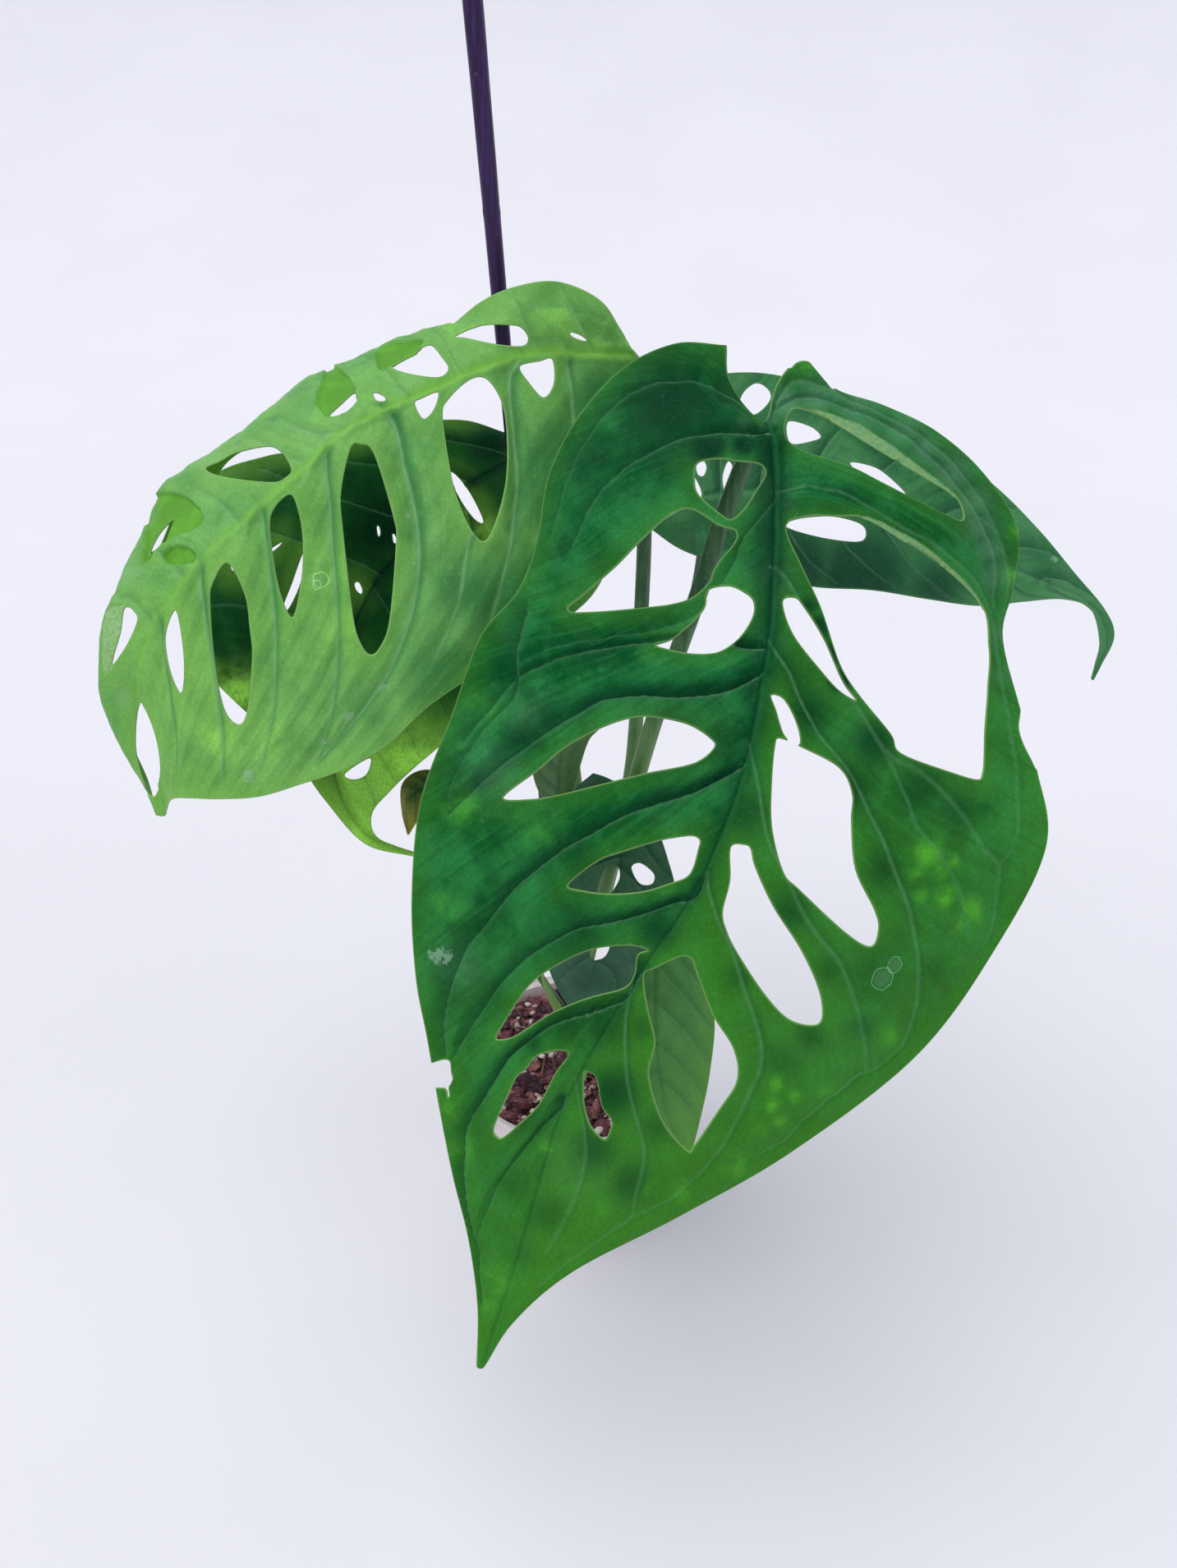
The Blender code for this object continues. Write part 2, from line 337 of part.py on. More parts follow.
class Leaf:
    """A blade as a smooth surface over its cage: u counts rows, v runs from -1 to 1 across."""

    def __init__(self, columns, rows):
        self.columns = np.asarray(columns, dtype=float)
        self.cage = np.asarray(rows, dtype=float)
        self.length = len(rows) - 1.0
        self.knots = np.arange(len(rows), dtype=float)
        u = np.linspace(0.0, self.length, 20 * len(rows) + 1)
        v = np.linspace(-1.0, 1.0, 61)
        grid_u, grid_v = np.meshgrid(u, v, indexing="ij")
        self.grid = np.stack([grid_u.ravel(), grid_v.ravel()], axis=1)
        self.grid_picture = self.picture(self.grid)
        spots = seen(self.grid_picture).reshape(len(u), len(v), 3)
        along = np.linalg.norm(np.diff(spots, axis=0), axis=2).mean(axis=1)
        across = np.linalg.norm(np.diff(spots, axis=1), axis=2)
        middle = len(v) // 2
        self.table_u = u
        self.table_t = np.concatenate([[0.0], np.cumsum(along)])
        self.half_left = np.maximum(across[:, :middle].sum(axis=1), 0.0008)
        self.half_right = np.maximum(across[:, middle:].sum(axis=1), 0.0008)

    def picture(self, uv):
        """Picture coordinates and distance of surface points."""
        down = spline_weights(self.knots, uv[:, 0])
        over = spline_weights(self.columns, uv[:, 1])
        rows = np.einsum("kr,rcd->kcd", down, self.cage)
        return np.einsum("kc,kcd->kd", over, rows)

    def place(self, uv):
        """World places of surface points."""
        return seen(self.picture(uv))

    def find(self, points):
        """Surface coordinates of picture points: the nearest grid node, then Newton steps."""
        points = np.asarray(points, dtype=float)
        gaps = ((points[:, None, :] - self.grid_picture[None, :, :2]) ** 2).sum(axis=2)
        gaps += 0.02 * (self.grid_picture[None, :, 2] - self.grid_picture[:, 2].min()) ** 2
        uv = self.grid[gaps.argmin(axis=1)].copy()
        small = 0.001
        for _ in range(12):
            here = self.picture(uv)[:, :2]
            du = (self.picture(uv + (small, 0.0))[:, :2] - here) / small
            dv = (self.picture(uv + (0.0, small))[:, :2] - here) / small
            miss = points - here
            scale = du[:, 0] * dv[:, 1] - du[:, 1] * dv[:, 0]
            scale = np.where(np.abs(scale) < 1e-6, 1e-6, scale)
            move_u = (miss[:, 0] * dv[:, 1] - miss[:, 1] * dv[:, 0]) / scale
            move_v = (du[:, 0] * miss[:, 1] - du[:, 1] * miss[:, 0]) / scale
            uv[:, 0] += np.clip(move_u, -0.3, 0.3)
            uv[:, 1] += np.clip(move_v, -0.1, 0.1)
            uv[:, 0] = np.clip(uv[:, 0], 0.0, self.length)
            uv[:, 1] = np.clip(uv[:, 1], -0.995, 0.995)
        return uv

    def flatten(self, uv):
        """Pattern coordinates of surface points: signed length across, and mean length along."""
        t = np.interp(uv[:, 0], self.table_u, self.table_t)
        left = np.interp(uv[:, 0], self.table_u, self.half_left)
        right = np.interp(uv[:, 0], self.table_u, self.half_right)
        return np.stack([uv[:, 1] * np.where(uv[:, 1] < 0.0, left, right), t], axis=1)

    def unflatten(self, pattern):
        """Surface coordinates of pattern points."""
        u = np.interp(pattern[:, 1], self.table_t, self.table_u)
        left = np.interp(u, self.table_u, self.half_left)
        right = np.interp(u, self.table_u, self.half_right)
        return np.stack([u, pattern[:, 0] / np.where(pattern[:, 0] < 0.0, left, right)], axis=1)

    def back(self, uv):
        """Unit vectors out of the surface on the side away from the eye."""
        small = 0.01
        du = self.place(uv + (small, 0.0)) - self.place(uv - (small, 0.0))
        dv = self.place(uv + (0.0, small)) - self.place(uv - (0.0, small))
        out = np.cross(du, dv)
        out /= np.linalg.norm(out, axis=1)[:, None]
        return out * np.where(out @ FORWARD < 0.0, -1.0, 1.0)[:, None]


def respaced(line, world, step, closed):
    """The line's points taken again at even world steps; a closed line comes back to its start."""
    if closed:
        line = np.vstack([line, line[:1]])
        world = np.vstack([world, world[:1]])
    lengths = np.concatenate([[0.0], np.cumsum(np.linalg.norm(np.diff(world, axis=0), axis=1))])
    count = max(int(round(lengths[-1] / step)), 6 if closed else 2)
    at = np.linspace(0.0, lengths[-1], count + 1)
    if closed:
        at = at[:-1]
    return np.stack([np.interp(at, lengths, line[:, i]) for i in range(line.shape[1])], axis=1)


def smooth_loop(points, per_side=6):
    """A closed curve through the given points, with points added between them."""
    ring = np.asarray(points, dtype=float)
    part = np.linspace(0.0, 1.0, per_side, endpoint=False)[:, None, None]
    before, after, later = np.roll(ring, 1, 0), np.roll(ring, -1, 0), np.roll(ring, -2, 0)
    curve = 0.5 * (2.0 * ring + (after - before) * part
                   + (2.0 * before - 5.0 * ring + 4.0 * after - later) * part ** 2
                   + (3.0 * ring - before - 3.0 * after + later) * part ** 3)
    return curve.transpose(1, 0, 2).reshape(-1, 2)


def inside(points, ring):
    """Whether each point is inside the closed ring, by counting the sides to its right."""
    x, y = points[:, 0][:, None], points[:, 1][:, None]
    x0, y0 = ring[:, 0][None, :], ring[:, 1][None, :]
    x1, y1 = np.roll(ring[:, 0], -1)[None, :], np.roll(ring[:, 1], -1)[None, :]
    crosses = (y0 > y) != (y1 > y)
    with np.errstate(divide="ignore", invalid="ignore"):
        meets = x0 + (y - y0) * (x1 - x0) / (y1 - y0)
    return (crosses & (x < meets)).sum(axis=1) % 2 == 1


def blade_sheet(leaf, holes, seat_row, edge_step, field_step):
    """Points (u, v) and triangles of the blade, cut to its outline and holes.

    Around the petiole's seat on the midrib the points are closer, so that the seat is true to the surface.
    """
    side = np.linspace(0.0, leaf.length, 400)
    over = np.linspace(-1.0, 1.0, 120)
    runs = []
    for run in (np.stack([np.zeros(120), over], 1), np.stack([side, np.ones(400)], 1),
                np.stack([np.full(120, leaf.length), over[::-1]], 1), np.stack([side[::-1], -np.ones(400)], 1)):
        runs.append(respaced(run, leaf.place(run), edge_step, False)[:-1])
    rings = [leaf.flatten(np.vstack(runs))]
    for hole in holes:
        loop = leaf.find(smooth_loop(hole))
        rings.append(leaf.flatten(respaced(loop, leaf.place(loop), edge_step, True)))
    low, high = rings[0].min(axis=0), rings[0].max(axis=0)
    rise = field_step * math.sqrt(0.75)
    lines = np.arange(low[1], high[1], rise)
    field = [np.stack([np.arange(low[0] + (i % 2) * field_step / 2.0, high[0], field_step),
                       np.full(len(np.arange(low[0] + (i % 2) * field_step / 2.0, high[0], field_step)), y)], 1)
             for i, y in enumerate(lines)]
    field = np.vstack(field)
    keep = inside(field, rings[0])
    for ring in rings[1:]:
        keep &= ~inside(field, ring)
    edges = np.vstack(rings)
    near = ((field[:, None, :] - edges[None, :, :]) ** 2).sum(axis=2).min(axis=1)
    seat = leaf.flatten(np.array([[seat_row, 0.0]]))
    turn = np.arange(6)[:, None] * math.pi / 3.0
    seat = np.vstack([seat, seat + SEAT_RADIUS * np.hstack([np.cos(turn), np.sin(turn)])])
    off_seat = ((field[:, None, :] - seat[None, :, :]) ** 2).sum(axis=2).min(axis=1)
    field = field[keep & (near > (0.55 * field_step) ** 2) & (off_seat > SEAT_RADIUS ** 2)]
    seat_near = ((seat[:, None, :] - edges[None, :, :]) ** 2).sum(axis=2).min(axis=1)
    seat = seat[inside(seat, rings[0]) & (seat_near > (0.3 * SEAT_RADIUS) ** 2)]
    points = np.vstack([edges, field, seat])
    sides = []
    start = 0
    for ring in rings:
        count = len(ring)
        sides += [(start + i, start + (i + 1) % count) for i in range(count)]
        start += count
    scale = 1000.0
    found = geometry.delaunay_2d_cdt([Vector(p) for p in points * scale], sides, [], 0, 1e-5, False)
    spots = np.array([tuple(p) for p in found[0]]) / scale
    triangles = np.array([face for face in found[2] if len(face) == 3])
    middle = spots[triangles].mean(axis=1)
    keep = inside(middle, rings[0])
    for ring in rings[1:]:
        keep &= ~inside(middle, ring)
    triangles = triangles[keep]
    used, index = np.unique(triangles, return_inverse=True)
    return leaf.unflatten(spots[used]), index.reshape(triangles.shape)


def material(name, colour, roughness, metallic=0.0):
    """A Principled BSDF material with the given base colour."""
    paint = bpy.data.materials.new(name)
    paint.use_nodes = True
    shader = paint.node_tree.nodes["Principled BSDF"]
    shader.inputs["Base Color"].default_value = colour
    shader.inputs["Roughness"].default_value = roughness
    shader.inputs["Metallic"].default_value = metallic
    return paint


def add_mesh(name, points, faces, collection):
    """A new object from points and faces, in the collection."""
    mesh = bpy.data.meshes.new(name)
    mesh.from_pydata([tuple(p) for p in points], [], [tuple(int(i) for i in f) for f in faces])
    mesh.update()
    thing = bpy.data.objects.new(name, mesh)
    collection.objects.link(thing)
    return thing


def shade(thing):
    """Smooth shading with sharp edges kept."""
    thing.data.shade_smooth()
    thing.data.set_sharp_from_angle(angle=math.radians(40.0))


def evaluated_copy(thing):
    """A mesh copy of the object with its modifiers applied."""
    graph = bpy.context.evaluated_depsgraph_get()
    return bpy.data.meshes.new_from_object(thing.evaluated_get(graph))


def turned(name, profile, steps, collection):
    """A closed turned body: the profile runs down the outer side at +X and back inside."""
    mesh = bpy.data.meshes.new(name)
    count = len(profile)
    mesh.from_pydata([(x, 0.0, z) for x, z in profile], [(i, i + 1) for i in range(count - 1)], [])
    thing = bpy.data.objects.new(name, mesh)
    collection.objects.link(thing)
    screw = thing.modifiers.new("turn", "SCREW")
    screw.steps = steps
    screw.render_steps = steps
    screw.use_merge_vertices = True
    screw.merge_threshold = 0.00005
    return thing


def tube(name, points, radii, collection, bevel_resolution=1, resolution=3):
    """A round stem along the points, with its own radius at each, as a closed mesh."""
    curve = bpy.data.curves.new(name, "CURVE")
    curve.dimensions = "3D"
    curve.bevel_depth = 1.0
    curve.bevel_resolution = bevel_resolution
    curve.use_fill_caps = True
    curve.resolution_u = resolution
    line = curve.splines.new("NURBS")
    line.points.add(len(points) - 1)
    for spot, place, radius in zip(line.points, points, radii):
        spot.co = (*place, 1.0)
        spot.radius = radius
    line.use_endpoint_u = True
    line.order_u = 3
    guide = bpy.data.objects.new(name + "_guide", curve)
    collection.objects.link(guide)
    bpy.context.view_layer.update()
    mesh = evaluated_copy(guide)
    body = bmesh.new()
    body.from_mesh(mesh)
    bmesh.ops.remove_doubles(body, verts=body.verts, dist=0.00001)
    bmesh.ops.recalc_face_normals(body, faces=body.faces)
    body.to_mesh(mesh)
    body.free()
    thing = bpy.data.objects.new(name, mesh)
    collection.objects.link(thing)
    thing.matrix_world = guide.matrix_world.copy()
    bpy.data.objects.remove(guide)
    return thing


def boolean(thing, cutter, operation):
    """Joins or cuts with another object, the result written to the mesh."""
    change = thing.modifiers.new(operation.lower(), "BOOLEAN")
    change.operation = operation
    change.object = cutter
    change.solver = "EXACT"
    bpy.context.view_layer.update()
    mesh = evaluated_copy(thing)
    thing.modifiers.clear()
    thing.data = mesh


def pot_slope():
    """How much the pot's wall widens for each metre of height."""
    return (POT_RIM_RADIUS - POT_RIM_LIP - POT_BASE_RADIUS) / POT_HEIGHT


def make_pot(parts, cutters):
    """A thin tapered pot with a rim band and drain holes off its middle."""
    inner_base = POT_BASE_RADIUS - POT_WALL
    inner_rim = inner_base + pot_slope() * (POT_HEIGHT - POT_FLOOR)
    band = POT_HEIGHT - POT_RIM_DEPTH
    profile = (
        (0.0, POT_FLOOR),
        (inner_base, POT_FLOOR),
        (inner_rim, POT_HEIGHT),
        (POT_RIM_RADIUS - 0.0006, POT_HEIGHT),
        (POT_RIM_RADIUS, POT_HEIGHT - 0.0008),
        (POT_RIM_RADIUS - 0.0004, band),
        (POT_BASE_RADIUS + pot_slope() * band, band - 0.0006),
        (POT_BASE_RADIUS + 0.0006, 0.0012),
        (POT_BASE_RADIUS - 0.0008, 0.0),
        (0.0, 0.0),
    )
    pot = turned("pot", profile, 48, parts)
    pot.data.materials.append(material("pot_plastic", (0.80, 0.74, 0.74, 1.0), 0.42))
    for i in range(DRAIN_COUNT):
        turn = 2.0 * math.pi * i / DRAIN_COUNT
        middle = Vector((DRAIN_RING * math.cos(turn), DRAIN_RING * math.sin(turn), 0.0))
        up = Vector((0.0, 0.0, 2.0 * POT_FLOOR))
        drain = plug("drain_%d" % i, middle - up, middle + up, DRAIN_RADIUS, cutters)
        boolean(pot, drain, "DIFFERENCE")
    shade(pot)
    return pot


def move_to(thing, collection):
    """Puts the object in the collection alone; guides show as wires."""
    for other in thing.users_collection:
        other.objects.unlink(thing)
    collection.objects.link(thing)
    thing.hide_render = True
    thing.display_type = "WIRE"


def make_soil(parts, cutters, plugs):
    """Bark mix filling the pot, its top in low lumps, with plain holes for the stem and the cane."""
    inner_base = POT_BASE_RADIUS - POT_WALL - 2.0 * CLEARANCE
    top_radius = inner_base + pot_slope() * (SOIL_TOP - SOIL_FLOOR)
    profile = [(top_radius * i / SOIL_RINGS, SOIL_TOP) for i in range(SOIL_RINGS)]
    profile.append((top_radius, SOIL_TOP - SOIL_LUMP))
    profile += [(inner_base, SOIL_FLOOR), (0.0, SOIL_FLOOR)]
    soil = turned("soil", profile, 40, parts)
    mesh = evaluated_copy(soil)
    soil.modifiers.clear()
    soil.data = mesh
    flat = np.empty(len(mesh.vertices) * 3)
    mesh.vertices.foreach_get("co", flat)
    spots = flat.reshape(-1, 3)
    radius = np.hypot(spots[:, 0], spots[:, 1])
    lumps = np.sin(spots[:, 0] * 420.0 + 1.3) * np.sin(spots[:, 1] * 390.0 + 0.4)
    lumps += 0.6 * np.sin(spots[:, 0] * 760.0 + spots[:, 1] * 540.0)
    top = (spots[:, 2] > SOIL_TOP - CLEARANCE) & (radius > 2.0 * STEM_RADIUS)
    spots[:, 2] += np.where(top, SOIL_LUMP * lumps, 0.0)
    mesh.vertices.foreach_set("co", spots.ravel())
    mesh.update()
    for hole in plugs:
        boolean(soil, hole, "DIFFERENCE")
    soil.data.materials.append(material("bark_mix", (0.160, 0.080, 0.075, 1.0), 0.90))
    shade(soil)
    return soil


def lean(thing, foot, top):
    """Stands a body that was turned about +Z on its foot, its axis towards the top point."""
    thing.location = foot
    thing.rotation_mode = "QUATERNION"
    thing.rotation_quaternion = (Vector(top) - Vector(foot)).to_track_quat("Z", "Y")


def turned_rod(name, foot, top, radii, steps, collection):
    """A solid round rod from foot to top; radii lists shares of its length with the radius there."""
    length = (Vector(top) - Vector(foot)).length
    profile = [(0.0, length)]
    profile += [(radius, share * length) for share, radius in reversed(radii)]
    profile.append((0.0, 0.0))
    thing = turned(name, profile, steps, collection)
    lean(thing, foot, top)
    return thing


def plug(name, foot, top, radius, cutters):
    """A plain round cutter from foot to top."""
    foot, top = Vector(foot), Vector(top)
    bpy.ops.mesh.primitive_cylinder_add(vertices=PLUG_SIDES, radius=radius, depth=(top - foot).length)
    thing = bpy.context.active_object
    thing.name = name
    move_to(thing, cutters)
    lean(thing, foot, top)
    thing.location = (foot + top) / 2.0
    return thing


def make_cane(parts):
    """The dark support cane, its thin end in the soil."""
    cane = turned_rod("support_cane", CANE_AXIS_FOOT, CANE_AXIS_TOP, CANE_RADII, 12, parts)
    cane.data.materials.append(material("cane_dark", (0.020, 0.008, 0.022, 1.0), 0.38))
    shade(cane)
    return cane


def make_stem(parts, leaves):
    """The short stem with its petioles and aerial roots, grown as one piece."""
    stem = turned_rod("stem", (0.0, 0.0, STEM_FOOT), (0.0, 0.0, STEM_TOP), STEM_RADII, 14, parts)
    joined = bpy.data.collections.new("stem_joined")
    bpy.context.scene.collection.children.link(joined)
    for name, thin, thick, route in PETIOLES:
        leaf, row = leaves[name], LEAVES[name][4]
        spot = np.array([[row, 0.0]])
        root, out = leaf.place(spot)[0], leaf.back(spot)[0]
        start = root + out * (BLADE_THICKNESS / 2.0 + CLEARANCE + SEAT_GAP)
        path = [start, root + out * GENICULUM] + [p for p in seen(route)]
        shares = np.linspace(0.0, 1.0, len(path))
        radii = [thin * 0.8] + [thin + (thick - thin) * s for s in shares[1:]]
        tube("petiole_" + name, path, radii, joined)
    for i, (radius, route) in enumerate(ROOTS):
        path = [p for p in seen(route)]
        tube("root_%d" % i, path, [radius * 1.3] * (len(path) - 1) + [radius * 0.6], joined)
    union = stem.modifiers.new("grown_together", "BOOLEAN")
    union.operation = "UNION"
    union.operand_type = "COLLECTION"
    union.collection = joined
    union.solver = "EXACT"
    bpy.context.view_layer.update()
    mesh = evaluated_copy(stem)
    stem.modifiers.clear()
    stem.data = mesh
    for thing in list(joined.objects):
        bpy.data.objects.remove(thing)
    bpy.data.collections.remove(joined)
    stem.data.materials.clear()
    stem.data.materials.append(material("stem_green", (0.085, 0.165, 0.060, 1.0), 0.50))
    shade(stem)
    return stem


def make_blade(name, leaf, holes, colour, seat_row, parts):
    """One leaf blade, thin, with its holes."""
    uv, triangles = blade_sheet(leaf, holes, seat_row, EDGE_STEP, FIELD_STEP)
    blade = add_mesh(name, leaf.place(uv), triangles, parts)
    thick = blade.modifiers.new("thickness", "SOLIDIFY")
    thick.thickness = BLADE_THICKNESS
    thick.offset = 0.0
    thick.use_rim = True
    blade.data.materials.append(material(name + "_green", colour, 0.42))
    blade.data.shade_smooth()
    return blade


def main():
    """Builds every sub-part."""
    for thing in list(bpy.data.objects):
        bpy.data.objects.remove(thing)
    parts = bpy.data.collections.new("monstera_epipremnoides")
    cutters = bpy.data.collections.new("cutters")
    bpy.context.scene.collection.children.link(parts)
    bpy.context.scene.collection.children.link(cutters)
    leaves = {name: Leaf(entry[0], entry[1]) for name, entry in LEAVES.items()}
    make_pot(parts, cutters)
    stem_hole = plug("stem_hole", (0.0, 0.0, STEM_FOOT - CLEARANCE), (0.0, 0.0, SOIL_TOP + SOIL_RISE),
                     STEM_RADIUS + 2.0 * CLEARANCE, cutters)
    foot, top = Vector(CANE_AXIS_FOOT), Vector(CANE_AXIS_TOP)
    axis = (top - foot).normalized()
    cane_hole = plug("cane_hole", foot - axis * CLEARANCE, foot + axis * (SOIL_TOP + SOIL_RISE - CANE_FOOT),
                     CANE_HOLE_RADIUS, cutters)
    make_soil(parts, cutters, (stem_hole, cane_hole))
    make_cane(parts)
    make_stem(parts, leaves)
    for name, entry in LEAVES.items():
        make_blade(name, leaves[name], entry[2], entry[3], entry[4], parts)


main()
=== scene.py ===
"""A young Monstera epipremnoides in a small nursery pot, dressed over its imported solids.

Every leaf is a smooth surface over a cage of cross rows, written the way it is seen from the front: two
picture coordinates and the distance from the eye in millimetres. Its blade is cut to the outline and the
holes, its veins are pressed in, and it is given a thickness and a rounded rim. Metres, +Z up.
"""
import math

import bmesh
import bpy
import numpy as np
from bpy.props import FloatProperty, FloatVectorProperty, IntProperty, PointerProperty
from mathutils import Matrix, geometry


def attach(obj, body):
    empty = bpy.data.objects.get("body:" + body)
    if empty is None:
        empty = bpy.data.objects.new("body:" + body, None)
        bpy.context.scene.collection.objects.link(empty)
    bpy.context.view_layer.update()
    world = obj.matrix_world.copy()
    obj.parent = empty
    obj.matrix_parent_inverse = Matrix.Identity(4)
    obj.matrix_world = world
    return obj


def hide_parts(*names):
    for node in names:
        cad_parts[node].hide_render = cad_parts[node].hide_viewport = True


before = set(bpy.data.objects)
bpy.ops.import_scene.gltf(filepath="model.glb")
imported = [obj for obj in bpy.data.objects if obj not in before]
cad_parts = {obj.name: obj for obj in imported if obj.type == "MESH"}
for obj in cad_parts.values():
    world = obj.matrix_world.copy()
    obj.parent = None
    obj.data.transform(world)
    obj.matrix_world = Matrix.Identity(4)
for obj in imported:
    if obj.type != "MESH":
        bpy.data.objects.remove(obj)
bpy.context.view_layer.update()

bl_info = {
    "name": "Potted holed-leaf monstera",
    "version": (1, 0, 0),
    "blender": (4, 5, 0),
    "location": "View3D > Sidebar > Monstera",
    "description": "Leaves with holes and pressed veins, stalks, bark mix, nursery pot and cane",
    "category": "Add Mesh",
}

# Millimetres in a metre.
PER_METRE = 1000.0
# The eye that the cages are written for: place, tilt below level, and focal length in picture units.
EYE = np.array([0.004, -0.409, 0.451])
EYE_TILT = math.radians(30.0)
FOCAL = 1500.0
PICTURE_MIDDLE = (716.5, 954.5)
PICTURE_LONG_SIDE = 1909.0
FORWARD = np.array([0.0, math.cos(EYE_TILT), -math.sin(EYE_TILT)])
RIGHT = np.array([1.0, 0.0, 0.0])
UPWARD = np.array([0.0, math.sin(EYE_TILT), math.cos(EYE_TILT)])


def bell(gap, width):
    """exp(-(gap / width)^2): 1 at the middle and nearly 0 two widths away."""
    return np.exp(-(gap / width) ** 2)


def full_turn(count):
    """Even angles once round."""
    return np.arange(count) * 2.0 * math.pi / count


def gathered(numbers, size):
    """A flat row of numbers as points of the given size."""
    return tuple(zip(*(numbers[i::size] for i in range(size))))


def lists(size, *rows, lead=0):
    """Flat rows as tuples of points; with lead, each row's first values stay in front of its points."""
    if lead == 0:
        return tuple(gathered(row, size) for row in rows)
    return tuple(row[:lead] + (gathered(row[lead:], size),) for row in rows)


def by_kind(**kinds):
    """Spots by kind, each one x, y, radius and strength."""
    return {kind: gathered(numbers, 4) for kind, numbers in kinds.items()}


# Leaf cages. A row crosses the leaf from its left margin over the midrib (column 0) to its right margin;
# the rows run from the sinus at the stalk to the tip.
FRONT_COLUMNS = (-1.0, -0.66, -0.33, 0.0, 0.33, 0.66, 1.0)
FRONT_ROWS = lists(3,
    (884, 421, 357, 886, 458, 352, 905, 493, 347, 932, 513, 344,
     944, 474, 350, 960, 449, 355, 981, 437, 360),
    (822, 419, 354, 850, 462, 348, 890, 497, 344, 936, 525, 342,
     962, 490, 349, 990, 478, 357, 1017, 474, 363),
    (757, 450, 352, 820, 475, 346, 885, 508, 342, 938, 537, 341,
     985, 507, 349, 1030, 490, 358, 1075, 494, 366),
    (703, 510, 352, 785, 520, 345, 870, 535, 340, 940, 553, 340,
     1000, 522, 348, 1075, 515, 358, 1140, 526, 369),
    (668, 580, 352, 760, 583, 343, 860, 585, 338, 942, 586, 338,
     1010, 562, 343, 1105, 565, 354, 1198, 578, 371),
    (655, 655, 351, 750, 660, 341, 850, 650, 335, 942, 640, 335,
     1012, 610, 338, 1125, 622, 350, 1238, 645, 371),
    (632, 718, 350, 745, 735, 339, 840, 722, 332, 940, 700, 332,
     1012, 665, 334, 1122, 680, 345, 1233, 715, 369),
    (585, 776, 351, 720, 795, 338, 830, 785, 330, 936, 765, 330,
     1012, 740, 332, 1120, 745, 343, 1220, 775, 366),
    (551, 870, 353, 690, 868, 338, 820, 850, 329, 925, 835, 328,
     1012, 845, 332, 1120, 830, 343, 1241, 862, 362),
    (513, 975, 356, 655, 980, 340, 790, 955, 329, 907, 927, 326,
     1005, 935, 331, 1112, 945, 341, 1262, 938, 359),
    (502, 1090, 360, 640, 1085, 343, 770, 1055, 331, 875, 1022, 326,
     990, 1050, 330, 1125, 1065, 339, 1273, 1030, 357),
    (507, 1190, 363, 630, 1180, 347, 740, 1135, 335, 836, 1101, 329,
     950, 1160, 331, 1085, 1195, 341, 1214, 1150, 355),
    (521, 1266, 365, 620, 1262, 351, 710, 1215, 340, 785, 1176, 334,
     885, 1250, 335, 1000, 1290, 343, 1117, 1283, 355),
    (536, 1352, 366, 605, 1352, 355, 665, 1320, 347, 721, 1281, 341,
     800, 1355, 341, 890, 1395, 347, 966, 1400, 355),
    (552, 1432, 367, 595, 1430, 361, 635, 1405, 355, 679, 1366, 350,
     735, 1432, 349, 790, 1470, 352, 829, 1479, 356),
    (571, 1509, 368, 590, 1522, 365, 612, 1513, 361, 640, 1497, 358,
     665, 1530, 358, 685, 1548, 359, 698, 1547, 360),
    (582, 1590, 369, 590, 1600, 368, 598, 1601, 367, 608, 1597, 366,
     614, 1605, 366, 620, 1610, 366, 626, 1608, 366),
    (581, 1664, 371, 583, 1665, 371, 584, 1666, 371, 585, 1666, 371,
     586, 1666, 371, 587, 1665, 371, 589, 1664, 371))
